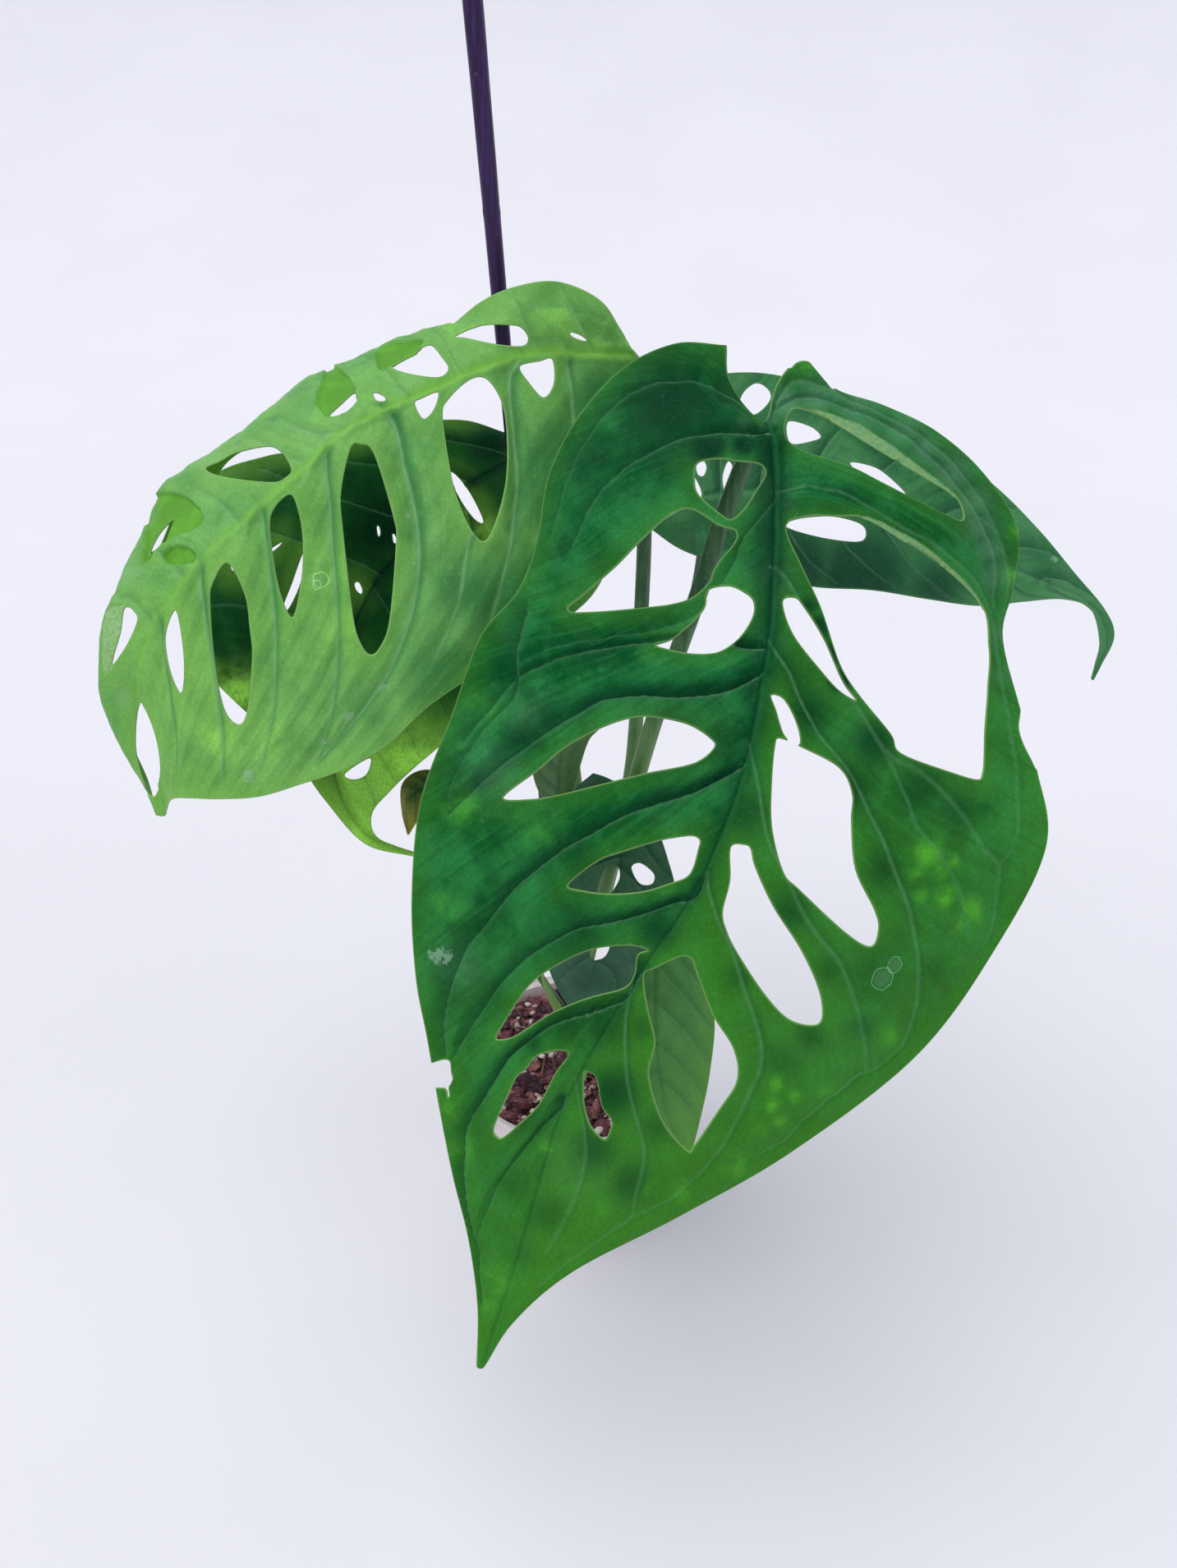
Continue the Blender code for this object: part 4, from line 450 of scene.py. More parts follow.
# Blade: columns, rows, holes, bites, seen veins, rows where plain side veins start and how far they
# sweep towards the tip, the row of the stalk's seat, and the share of the mesh spacing.
LEAVES = {
    "leaf_front": (FRONT_COLUMNS, FRONT_ROWS, FRONT_HOLES, FRONT_BITES, FRONT_VEINS, (), 0.0, 1.3, 0.9),
    "leaf_left": (LEFT_COLUMNS, LEFT_ROWS, LEFT_HOLES, (), LEFT_VEINS, (), 0.0, 0.35, 0.9),
    "leaf_behind": (BEHIND_COLUMNS, BEHIND_ROWS, BEHIND_HOLES, (), (), (0.6, 1.7, 2.8, 3.9, 5.0, 6.0, 7.0),
                    1.5, 0.25, 1.1),
    "leaf_right": (RIGHT_COLUMNS, RIGHT_ROWS, RIGHT_HOLES, (), (), (0.9, 1.9, 2.9, 4.0, 5.2, 6.3, 7.4),
                   1.4, 0.5, 1.1),
    "leaf_low": (LOW_COLUMNS, LOW_ROWS, (), (), (), (0.4, 1.0, 1.6, 2.3, 3.0), 1.1, 0.25, 0.9),
    "leaf_small": (SMALL_COLUMNS, SMALL_ROWS, SMALL_HOLES, (), (), (0.5, 1.4, 2.3, 3.3, 4.2), 1.0, 0.4, 0.9),
    "leaf_upright": (UPRIGHT_COLUMNS, UPRIGHT_ROWS, (), (), (), (0.5, 1.2, 2.0, 2.8), 0.9, 0.3, 0.7),
    "leaf_yellow_tip": (YELLOW_TIP_COLUMNS, YELLOW_TIP_ROWS, (), (), (), (0.5, 1.3, 2.2), 0.9, 0.4, 0.7),
}

# Shade spots are painted shade; pale spots lighten the green, at the behind leaf's top as a painted sheen.
RIGHT_SPOTS = by_kind(
    shade=(
        960, 690, 60, 0.95, 1050, 700, 60, 0.95, 1140, 715, 45, 0.7, 900, 560, 60, 0.5),
    pale=(
        1230, 660, 34, 0.35, 1290, 715, 16, 0.5, 985, 560, 30, 0.25),
    scar=(
        1283, 681, 5, 0.9))
BEHIND_SPOTS = by_kind(
    shade=(
        470, 640, 60, 0.8, 600, 540, 40, 0.7),
    pale=(
        450, 960, 24, 0.25, 580, 535, 24, 0.25),
    yellow=(
        290, 850, 30, 0.8, 575, 650, 24, 0.6, 500, 930, 40, 0.6, 440, 1010, 20, 0.6))
# What only the larger blades have: holes through both sides, panels and spots.
FINISH = {
    "leaf_front": ((), FRONT_PANELS, FRONT_SPOTS),
    "leaf_left": (LEFT_THROUGH, LEFT_PANELS, LEFT_SPOTS),
    "leaf_right": ((), (), RIGHT_SPOTS),
    "leaf_behind": ((), (), BEHIND_SPOTS),
}
# The v below which the left leaf's far part is rolled down behind.
NEAR_SIDE = -0.62

# Stalks from the blade down to the stem: leaf, radius at the blade and at the stem in metres, and the
# seen points between, the last one inside the stem.
PETIOLES = lists(3,
    ("leaf_front", 0.0026, 0.0034, 920, 533, 358, 906, 563, 366,
     879, 633, 380, 852, 720, 394, 826, 791, 408, 795, 880, 426, 776, 945, 441,
     750, 1030, 463, 722, 1120, 488, 702, 1200, 520, 700, 1243, 534),
    ("leaf_left", 0.0022, 0.003, 781, 455, 384, 785, 550, 400, 785, 655, 420, 781, 740, 434,
     775, 880, 457, 768, 950, 470, 745, 1060, 492, 715, 1160, 516, 702, 1240, 535),
    ("leaf_behind", 0.0022, 0.0026, 648, 560, 446, 664, 700, 464, 687, 850, 482,
     703, 960, 494, 712, 1080, 508, 707, 1180, 524, 704, 1240, 537),
    ("leaf_right", 0.0021, 0.0027, 862, 625, 434, 850, 720, 446, 826, 800, 456, 796, 880, 468,
     776, 950, 480, 750, 1030, 494, 724, 1110, 510, 706, 1190, 526, 704, 1240, 537),
    ("leaf_low", 0.0015, 0.002, 806, 1135, 508, 785, 1150, 514,
     752, 1178, 523, 722, 1215, 532, 706, 1245, 538),
    ("leaf_small", 0.0015, 0.002, 750, 970, 440, 742, 1000, 454,
     732, 1060, 474, 713, 1140, 503, 703, 1205, 524, 702, 1245, 536),
    ("leaf_upright", 0.0013, 0.0018, 688, 985, 458, 689, 1050, 480,
     692, 1130, 506, 698, 1205, 526, 702, 1245, 537),
    ("leaf_yellow_tip", 0.0012, 0.0018, 548, 968, 445, 578, 1040, 463,
     620, 1125, 490, 656, 1187, 514, 678, 1218, 528, 699, 1248, 538),
    lead=3)
# Length of the joint under a blade, the gap between both, and where a stalk's channel lies round it.
GENICULUM = 0.006
SEAT_GAP = 0.0003
CHANNEL_ANGLE = 4.5
# Aerial roots: radius in metres and seen points; then the young shoot's seen points.
ROOTS = lists(3,
    (0.0011, 702, 1242, 533, 676, 1250, 527, 655, 1268, 524, 645, 1278, 525),
    (0.001, 705, 1246, 534, 727, 1250, 524, 741, 1268, 518, 746, 1284, 519),
    (0.0009, 703, 1243, 534, 714, 1262, 519, 716, 1290, 510, 712, 1316, 509),
    lead=1)
SHOOT = ((698, 1248, 530), (684, 1236, 521), (672, 1216, 513), (662, 1192, 507), (659, 1184, 505))

# Colours shared by the skins.
# Pale green of pale veins, drop rings and turned rims, also used as the painted highlight below the dark
# veins and the painted sheen of the pale spots.
PALE_AND_SHEEN = (0.12, 0.30, 0.16)
SCAR_COLOUR = (0.30, 0.50, 0.34, 1.0)
DROP_COLOUR = (0.20, 0.36, 0.25, 1.0)
# How far the net of fine veins and the drop marks are pushed about by noise, in metres.
NET_SHAKE = 0.0011
DROP_SHAKE = 0.0016

# Relief and painted lines of a blade, in metres from a vein, the midrib or the nearest edge; the painted
# lines include painted shade beside the veins and painted highlights below them and on a ridge of the midrib.
VEIN_SAMPLING = 0.0004
GROOVE_WIDTH = 0.0005
VALLEY_ABOVE = 0.0036
VALLEY_BELOW = 0.0062
RIM_CLEARANCE = 0.0016
RIB_CLEARANCE = 0.0020
RIB_CHANNEL = 0.0008
RIB_RIDGE = 0.0021
RIDGE_WIDTH = 0.0011
ARCH_DEPTH = 0.0011
TURNED_DEPTH = 0.0004
WAVE_FADE = 0.004
LINE_WIDTH = 0.00022
PALE_VEIN_SHADE_GAP = 0.0009
PALE_VEIN_SHADE_WIDTH = 0.0004
HIGHLIGHT_GAP = 0.0005
HIGHLIGHT_WIDTH = 0.0003
SHADE_BAND_BELOW = 0.0007
SPINE_WIDTH = 0.0080
RIDGE_HIGHLIGHT = 0.0016
MARGIN_WIDTH = 0.009
# The strength of the painted highlight on the rim's outer line, and the smallest doubled area a triangle of
# a blade may have.
RIM_HIGHLIGHT = 0.33
SMALLEST_AREA = 1e-12

# Looks of each blade. First the skin's name and its shades deep, main, light, line, core, rib, rim, under
# and warm, where a word is the setting of that name; deep also gives the painted shade above the veins, rib
# the painted highlight on one ridge of the midrib, and rim the painted highlight along the edges. Then the
# paint: how far the warm tip, the glow of the patches, the warm margin, the sheen and the streaks go. Then
# the relief: depth of the folds, dark flanks of the midrib, half width of its line, bend of the streaks on
# both sides, width of the painted shade band above a vein, how far it fades to the tip, and how much painted
# shade stays beside a pale vein.
EVEN = ((1.0, 0.4, 0.0), (1.0, 0.4, 0.0))
LOOKS = {
    "leaf_front": (
        "front_leaf_skin",
        ("deep", "old", "fresh", (0.001, 0.030, 0.014), (0.001, 0.034, 0.016), (0.010, 0.120, 0.036), "rim",
         (0.150, 0.340, 0.080), (0.056, 0.262, 0.018)),
        dict(tip=0.80, glow=0.55, margin=0.35, sheen=0.04, streaks=0.45),
        dict(pleat=1.0, spine=0.80, rib=0.0006, bends=((1.5, 0.9, 0.0), (1.5, 0.9, 0.0)), band=0.0056,
             fade=0.25, pale_vein_shade=0.42)),
    # The left leaf's under green, also used in its lime panels, is the underside's own green brightened as
    # painted glow of light shining through the blade.
    "leaf_left": (
        "left_leaf_skin",
        ((0.036, 0.205, 0.054), "young", (0.175, 0.450, 0.110), (0.034, 0.190, 0.046), "lime",
         (0.190, 0.500, 0.090), "rim", (0.100, 0.330, 0.028), (0.240, 0.560, 0.070)),
        dict(tip=0.3, glow=0.40, margin=0.3, sheen=0.14, streaks=0.20, pale_and_sheen=(0.260, 0.520, 0.220)),
        dict(pleat=1.4, spine=0.0, rib=0.0013, bends=((1.0, 0.0, 0.0), (-2.4, 2.42, 2.06)), band=0.0034,
             fade=0.0, pale_vein_shade=0.95)),
    # The behind leaf's bright warm green at its lower part is painted glow of light shining through it.
    "leaf_behind": (
        "behind_leaf_skin",
        ((0.002, 0.038, 0.014), (0.006, 0.072, 0.018), (0.016, 0.125, 0.022), (0.001, 0.020, 0.010),
         (0.002, 0.022, 0.014), (0.004, 0.036, 0.022), (0.100, 0.280, 0.050), (0.040, 0.160, 0.030),
         (0.400, 0.850, 0.110)),
        dict(tip=1.6, glow=0.3, margin=0.25, sheen=0.06, streaks=0.30, start=0.50),
        dict(pleat=0.5, spine=0.3, rib=0.0008, bends=EVEN, band=0.0050, fade=0.9, pale_vein_shade=0.5)),
    "leaf_right": (
        "right_leaf_skin",
        ((0.002, 0.055, 0.022), (0.012, 0.120, 0.038), (0.045, 0.210, 0.065), (0.006, 0.075, 0.030),
         (0.020, 0.130, 0.050), (0.070, 0.250, 0.095), (0.150, 0.340, 0.140), (0.090, 0.240, 0.070),
         (0.070, 0.260, 0.085)),
        dict(tip=0.9, glow=0.3, margin=0.3, sheen=0.15),
        dict(pleat=0.5, spine=0.2, rib=0.0006, bends=EVEN, band=0.0045, fade=0.2, pale_vein_shade=0.5)),
    "leaf_low": (
        "low_leaf_skin",
        ((0.065, 0.220, 0.062), (0.090, 0.265, 0.080), (0.125, 0.310, 0.098), (0.050, 0.170, 0.048),
         (0.060, 0.190, 0.052), (0.090, 0.250, 0.072), (0.170, 0.360, 0.070), (0.080, 0.200, 0.060),
         (0.150, 0.380, 0.060)),
        dict(tip=0.5, glow=0.3, margin=0.5, sheen=0.12),
        dict(pleat=0.3, spine=0.1, rib=0.0006, bends=EVEN, band=0.0040, fade=0.2, pale_vein_shade=0.5)),
    "leaf_small": (
        "small_leaf_skin",
        ((0.012, 0.060, 0.032), (0.022, 0.090, 0.050), (0.052, 0.140, 0.082), (0.014, 0.058, 0.034),
         (0.016, 0.060, 0.034), (0.030, 0.100, 0.055), (0.080, 0.180, 0.090), (0.050, 0.120, 0.050),
         (0.070, 0.170, 0.090)),
        dict(tip=0.2, glow=0.3, margin=0.2, sheen=0.12),
        dict(pleat=0.3, spine=0.2, rib=0.0006, bends=EVEN, band=0.0040, fade=0.2, pale_vein_shade=0.5)),
    "leaf_upright": (
        "upright_leaf_skin",
        ((0.080, 0.170, 0.085), (0.115, 0.220, 0.110), (0.160, 0.270, 0.120), (0.080, 0.160, 0.075),
         (0.090, 0.180, 0.080), (0.130, 0.230, 0.100), (0.300, 0.440, 0.120), (0.100, 0.160, 0.060),
         (0.180, 0.300, 0.110)),
        dict(tip=0.2, glow=0.3, margin=0.4, sheen=0.12),
        dict(pleat=0.25, spine=0.2, rib=0.0006, bends=EVEN, band=0.0040, fade=0.2, pale_vein_shade=0.5)),
    "leaf_yellow_tip": (
        "yellow_tip_leaf_skin",
        ((0.010, 0.055, 0.020), (0.020, 0.095, 0.032), (0.045, 0.140, 0.040), (0.014, 0.060, 0.020),
         (0.020, 0.080, 0.022), (0.060, 0.130, 0.030), (0.300, 0.380, 0.060), (0.100, 0.180, 0.040),
         (0.360, 0.300, 0.030)),
        dict(tip=0.9, glow=0.5, margin=0.5, sheen=0.12),
        dict(pleat=0.2, spine=0.2, rib=0.0006, bends=EVEN, band=0.0040, fade=0.6, pale_vein_shade=0.5)),
}

# Skins of the stalks: name, main colour, stripe, spot and roughness.
STALK_SKINS = (
    ("stalk_skin", (0.045, 0.120, 0.062), (0.090, 0.190, 0.090), (0.030, 0.085, 0.045), 0.42),
    ("shoot_skin", (0.240, 0.360, 0.060), (0.340, 0.450, 0.090), (0.200, 0.300, 0.050), 0.42),
    ("root_skin", (0.110, 0.070, 0.040), (0.190, 0.130, 0.075), (0.070, 0.045, 0.030), 0.75),
)

# Stem, cane, pot, mix and the stage's cove, in metres.
STEM_FOOT = 0.040
STEM_TOP = 0.104
STEM_RADII = ((0.0, 0.0040), (0.05, 0.0052), (0.45, 0.0058), (0.62, 0.0052), (0.70, 0.0058), (0.86, 0.0050),
              (0.95, 0.0042), (1.0, 0.0024))
LEAF_SCARS = ((0.0770, 0.4), (0.0835, 2.7), (0.0895, 5.0), (0.0950, 1.5))
CANE_FOOT = (-0.0034, 0.0195, 0.022)
CANE_TOP = (-0.0292, -0.0140, 0.498)
CANE_RADII = ((0.0, 0.0018), (0.003, 0.0021), (0.60, 0.00225), (0.76, 0.00240), (0.93, 0.00285),
              (0.996, 0.00290), (1.0, 0.0020))
CANE_JOINTS = (0.118, 0.262, 0.395)
POT_RIM_RADIUS = 0.054
POT_BASE_RADIUS = 0.038
POT_HEIGHT = 0.080
POT_WALL = 0.0016
POT_FLOOR = 0.0020
RIM_BAND = 0.012
RIM_BAND_STEP = 0.0018
RIB_HEIGHT = 0.00018
LIP = 0.0009
DRAIN_RADIUS = 0.0035
DRAIN_RING = 0.022
DRAIN_COUNT = 5
MIX_TOP = 0.0745
MIX_FLOOR = 0.0023
MIX_RADIUS = 0.0502
ROUGHNESS = 0.0009
CLEAR_OF_STEM = 0.0072
CLEAR_OF_CANE = 0.0040
COVE_START = 1.1
COVE = 2.0


class BladeSettings(bpy.types.PropertyGroup):
    """Sizes of the leaf blades."""
    thickness: FloatProperty(
        name="Thickness", description="Thickness of a blade", default=0.00055, unit="LENGTH")
    spacing: FloatProperty(
        name="Spacing", description="Distance between points inside a blade", default=0.0012, unit="LENGTH")
    edge_spacing: FloatProperty(
        name="Edge spacing", description="Distance between points along margins and holes", default=0.0009,
        unit="LENGTH")
    groove: FloatProperty(
        name="Vein groove", description="Depth of the pressed line over a vein", default=0.00026,
        unit="LENGTH")
    valley: FloatProperty(
        name="Vein valley", description="Depth of the wide fold along a vein", default=0.0017, unit="LENGTH")
    swell: FloatProperty(
        name="Swell", description="Height of the slow waves over a blade", default=0.00035, unit="LENGTH")


class LeafColours(bpy.types.PropertyGroup):
    """Greens of the leaves."""
    deep: FloatVectorProperty(
        name="Deep green", description="Shade beside the veins of an old leaf", subtype="COLOR", size=3,
        default=(0.0004, 0.040, 0.013))
    old: FloatVectorProperty(
        name="Old leaf", description="Main green of the front leaf", subtype="COLOR", size=3,
        default=(0.0012, 0.086, 0.018))
    fresh: FloatVectorProperty(
        name="Fresh green", description="Bright parts between the veins", subtype="COLOR", size=3,
        default=(0.018, 0.185, 0.048))
    young: FloatVectorProperty(
        name="Young leaf", description="Main green of the left leaf", subtype="COLOR", size=3,
        default=(0.125, 0.370, 0.088))
    lime: FloatVectorProperty(
        name="Lime", description="Midrib of the young leaf", subtype="COLOR", size=3,
        default=(0.200, 0.520, 0.060))
    # Painted highlight: the pale line where light catches the thin edge of margins and holes.
    rim: FloatVectorProperty(
        name="Rim", description="Pale line along margins and holes", subtype="COLOR", size=3,
        default=(0.330, 0.550, 0.190))


class GroundSettings(bpy.types.PropertyGroup):
    """Sizes and colours of the pot, the mix and the cane."""
    bark_count: IntProperty(
        name="Bark chips", description="How many chips of bark lie on the mix", default=430, min=1)
    pumice_count: IntProperty(
        name="Pumice grains", description="How many pale grains lie on the mix", default=190, min=1)
    fibre_count: IntProperty(
        name="Fibres", description="How many thin fibres lie on the mix", default=46, min=1)
    pot_colour: FloatVectorProperty(
        name="Pot", description="Colour of the pot's plastic", subtype="COLOR", size=3,
        default=(0.80, 0.72, 0.73))
    bark_colour: FloatVectorProperty(
        name="Bark", description="Main colour of the bark chips", subtype="COLOR", size=3,
        default=(0.165, 0.046, 0.064))
    cane_colour: FloatVectorProperty(
        name="Cane", description="Colour of the support cane", subtype="COLOR", size=3,
        default=(0.020, 0.007, 0.045))


class StageSettings(bpy.types.PropertyGroup):
    """Light and floor."""
    floor_colour: FloatVectorProperty(
        name="Floor", description="Colour of the floor", subtype="COLOR", size=3, default=(0.80, 0.80, 0.85))
    sky_strength: FloatProperty(
        name="Sky", description="Strength of the even light", default=0.42, min=0.0)
    key_strength: FloatProperty(
        name="Key light", description="Strength of the wide light from above", default=1.9, min=0.0)
    fill_strength: FloatProperty(
        name="Fill light", description="Strength of the light from the right front", default=0.45, min=0.0)


def seen(points):
    """World places of seen points: eye + distance * (forward + across * right + above * up)."""
    spots = np.asarray(points, dtype=float)
    across = (spots[..., 0] - PICTURE_MIDDLE[0]) / FOCAL
    above = (PICTURE_MIDDLE[1] - spots[..., 1]) / FOCAL
    distance = spots[..., 2] / PER_METRE
    ray = FORWARD + across[..., None] * RIGHT + above[..., None] * UPWARD
    return EYE + distance[..., None] * ray


def spline_weights(knots, at):
    """Weights of each knot at the given places, for a cubic curve through all knots, straight beyond them."""
    knots = np.asarray(knots, dtype=float)
    at = np.asarray(at, dtype=float)
    count = len(knots)
    steps = np.diff(knots)
    slopes = np.zeros((count, count))
    for i in range(1, count - 1):
        before, after = steps[i - 1], steps[i]
        slopes[i, i - 1] = -after / (before * (before + after))
        slopes[i, i + 1] = before / (after * (before + after))
        slopes[i, i] = -slopes[i, i - 1] - slopes[i, i + 1]
    slopes[0, :2] = (-1.0 / steps[0], 1.0 / steps[0])
    slopes[-1, -2:] = (-1.0 / steps[-1], 1.0 / steps[-1])
    piece = np.clip(np.searchsorted(knots, at, side="right") - 1, 0, count - 2)
    width = steps[piece]
    part = (at - knots[piece]) / width
    inside_part = np.clip(part, 0.0, 1.0)
    over = (part - inside_part) * width
    square = inside_part * inside_part
    cube = square * inside_part
    rows = np.arange(len(at))
    weights = ((cube - 2.0 * square + inside_part) * width)[:, None] * slopes[piece]
    weights += ((cube - square) * width)[:, None] * slopes[piece + 1]
    weights[rows, piece] += 2.0 * cube - 3.0 * square + 1.0
    weights[rows, piece + 1] += 3.0 * square - 2.0 * cube
    weights += np.where(over < 0.0, over, 0.0)[:, None] * slopes[piece]
    weights += np.where(over > 0.0, over, 0.0)[:, None] * slopes[piece + 1]
    return weights


class Leaf:
    """A blade as a smooth surface over its cage: u counts rows, v runs from -1 to 1 across."""

    def __init__(self, columns, rows):
        self.columns = np.asarray(columns, dtype=float)
        self.cage = np.asarray(rows, dtype=float)
        self.length = len(rows) - 1.0
        self.knots = np.arange(len(rows), dtype=float)
        u = np.linspace(0.0, self.length, 12 * len(rows) + 1)
        v = np.linspace(-1.0, 1.0, 49)
        grid_u, grid_v = np.meshgrid(u, v, indexing="ij")
        self.grid = np.stack([grid_u.ravel(), grid_v.ravel()], axis=1)
        self.grid_picture = self.picture(self.grid)
        spots = seen(self.grid_picture).reshape(len(u), len(v), 3)
        along = np.linalg.norm(np.diff(spots, axis=0), axis=2).mean(axis=1)
        across = np.linalg.norm(np.diff(spots, axis=1), axis=2)
        middle = len(v) // 2
        self.table_u = u
        self.table_t = np.concatenate([[0.0], np.cumsum(along)])
        self.half_left = np.maximum(across[:, :middle].sum(axis=1), 0.0008)
        self.half_right = np.maximum(across[:, middle:].sum(axis=1), 0.0008)
        out = self.slant(self.grid[::7])
        self.turn = -1.0 if (out @ FORWARD).mean() > 0.0 else 1.0

    def picture(self, uv):
        """Picture coordinates and distance of surface points."""
        down = spline_weights(self.knots, uv[:, 0])
        over = spline_weights(self.columns, uv[:, 1])
        rows = np.einsum("kr,rcd->kcd", down, self.cage)
        return np.einsum("kc,kcd->kd", over, rows)

    def place(self, uv):
        """World places of surface points."""
        return seen(self.picture(uv))

    def slant(self, uv):
        """Unit vectors along the cross product of the slopes down and across the leaf."""
        small = 0.01
        du = self.place(uv + (small, 0.0)) - self.place(uv - (small, 0.0))
        dv = self.place(uv + (0.0, small)) - self.place(uv - (0.0, small))
        out = np.cross(du, dv)
        return out / np.maximum(np.linalg.norm(out, axis=1), 1e-12)[:, None]

    def face(self, uv):
        """Unit vectors out of the upper side."""
        return self.slant(uv) * self.turn

    def find(self, points, margin=0.995, far=None):
        """Surface coordinates of picture points: the nearest grid node, then Newton steps.

        The nearer side of a rolled leaf is taken, or with far the part whose v is below that number.
        """
        points = np.asarray(points, dtype=float)
        gaps = ((points[:, None, :] - self.grid_picture[None, :, :2]) ** 2).sum(axis=2)
        if far is None:
            gaps += 0.02 * (self.grid_picture[None, :, 2] - self.grid_picture[:, 2].min()) ** 2
        else:
            gaps[:, self.grid[:, 1] > far] += 1e6
        uv = self.grid[gaps.argmin(axis=1)].copy()
        small = 0.001
        for _ in range(14):
            here = self.picture(uv)[:, :2]
            du = (self.picture(uv + (small, 0.0))[:, :2] - here) / small
            dv = (self.picture(uv + (0.0, small))[:, :2] - here) / small
            miss = points - here
            scale = du[:, 0] * dv[:, 1] - du[:, 1] * dv[:, 0]
            scale = np.where(np.abs(scale) < 1e-6, 1e-6, scale)
            move_u = (miss[:, 0] * dv[:, 1] - miss[:, 1] * dv[:, 0]) / scale
            move_v = (du[:, 0] * miss[:, 1] - du[:, 1] * miss[:, 0]) / scale
            uv[:, 0] += np.clip(move_u, -0.3, 0.3)
            uv[:, 1] += np.clip(move_v, -0.1, 0.1)
            uv[:, 0] = np.clip(uv[:, 0], 0.995 - margin, self.length - 0.995 + margin)
            uv[:, 1] = np.clip(uv[:, 1], -margin, margin)
        return uv

    def flatten(self, uv):
        """Pattern coordinates of surface points: signed length across, and mean length along."""
        t = np.interp(uv[:, 0], self.table_u, self.table_t)
        left = np.interp(uv[:, 0], self.table_u, self.half_left)
        right = np.interp(uv[:, 0], self.table_u, self.half_right)
        return np.stack([uv[:, 1] * np.where(uv[:, 1] < 0.0, left, right), t], axis=1)

    def unflatten(self, pattern):
        """Surface coordinates of pattern points."""
        u = np.interp(pattern[:, 1], self.table_t, self.table_u)
        left = np.interp(u, self.table_u, self.half_left)
        right = np.interp(u, self.table_u, self.half_right)
        return np.stack([u, pattern[:, 0] / np.where(pattern[:, 0] < 0.0, left, right)], axis=1)


def respaced(line, world, step, closed):
    """The line's points taken again at even world steps; a closed line comes back to its start."""
    if closed:
        line = np.vstack([line, line[:1]])
        world = np.vstack([world, world[:1]])
    lengths = np.concatenate([[0.0], np.cumsum(np.linalg.norm(np.diff(world, axis=0), axis=1))])
    count = max(int(round(lengths[-1] / step)), 8 if closed else 2)
    at = np.linspace(0.0, lengths[-1], count + 1)
    if closed:
        at = at[:-1]
    return np.stack([np.interp(at, lengths, line[:, i]) for i in range(line.shape[1])], axis=1)


def through(points, per_side, closed):
    """A curve through the points: on each side, the cubic whose slopes join the neighbours."""
    ring = np.asarray(points, dtype=float)
    if closed:
        before, after, later = np.roll(ring, 1, 0), np.roll(ring, -1, 0), np.roll(ring, -2, 0)
    else:
        long = np.vstack([2.0 * ring[:1] - ring[1:2], ring, 2.0 * ring[-1:] - ring[-2:-1]])
        before, ring, after, later = long[:-3], long[1:-2], long[2:-1], long[3:]
    part = np.linspace(0.0, 1.0, per_side, endpoint=False)[:, None, None]
    curve = 0.5 * (2.0 * ring + (after - before) * part
                   + (2.0 * before - 5.0 * ring + 4.0 * after - later) * part ** 2
                   + (3.0 * ring - before - 3.0 * after + later) * part ** 3)
    curve = curve.transpose(1, 0, 2).reshape(-1, ring.shape[1])
    return curve if closed else np.vstack([curve, after[-1:]])


def inside(points, ring):
    """Whether each point is inside the closed ring, by counting the sides to its right."""
    answer = np.zeros(len(points), dtype=bool)
    low, high = ring.min(axis=0), ring.max(axis=0)
    near = np.nonzero(((points > low) & (points < high)).all(axis=1))[0]
    if len(near) == 0:
        return answer
    x0, y0 = ring[:, 0][None, :], ring[:, 1][None, :]
    x1, y1 = np.roll(ring[:, 0], -1)[None, :], np.roll(ring[:, 1], -1)[None, :]
    rise = np.where(y1 == y0, 1.0, y1 - y0)
    lean = (x1 - x0) / rise
    for part in np.array_split(near, max(len(near) // 2000, 1)):
        x, y = points[part, 0][:, None], points[part, 1][:, None]
        crosses = ((y0 > y) != (y1 > y)) & (x < x0 + (y - y0) * lean)
        answer[part] = crosses.sum(axis=1) % 2 == 1
    return answer


def nearest(points, others):
    """Distance to the nearest of the others, and which one it is."""
    lengths = (others ** 2).sum(axis=1)[None, :]
    turned = -2.0 * others.T
    parts = np.array_split(points, max(len(points) // 1500, 1))
    index = np.concatenate([(lengths + part @ turned).argmin(axis=1) for part in parts])
    return np.linalg.norm(points - others[index], axis=1), index


def flanks(line, closed, offset):
    """The line's points moved to both sides by the offset, square to the line."""
    if closed:
        slope = np.roll(line, -1, 0) - np.roll(line, 1, 0)
    else:
        slope = np.gradient(line, axis=0)
    slope /= np.maximum(np.linalg.norm(slope, axis=1), 1e-12)[:, None]
    across = np.stack([-slope[:, 1], slope[:, 0]], axis=1)
    return np.vstack([line + across * offset, line - across * offset])


def thinned(points, fixed, gap):
    """Points that keep a gap to the fixed ones, and roughly to each other."""
    if len(points) == 0:
        return points
    keep = nearest(points, fixed)[0] > gap
    points = points[keep]
    cells = np.round(points / gap).astype(int)
    first = np.unique(cells, axis=0, return_index=True)[1]
    return points[np.sort(first)]


def triangulated(points, sides):
    """Places, triangles and doubled areas of the flat triangulation that keeps the sides."""
    flat = (points * PER_METRE).tolist()
    found = geometry.delaunay_2d_cdt(flat, np.vstack(sides).tolist(), [], 0, 1e-5, False)
    spots = np.array(found[0]) / PER_METRE
    triangles = np.array([face for face in found[2] if len(face) == 3])
    corner = spots[triangles]
    area = np.cross(corner[:, 1] - corner[:, 0], corner[:, 2] - corner[:, 0])
    triangles[area < 0.0] = triangles[area < 0.0][:, ::-1]
    return spots, triangles, np.abs(area)


def cut_out(spots, triangles, rings):
    """The triangles whose middle is inside the first ring and outside all the others."""
    middle = spots[triangles].mean(axis=1)
    keep = inside(middle, rings[0])
    for ring in rings[1:]:
        keep &= ~inside(middle, ring)
    return triangles[keep]


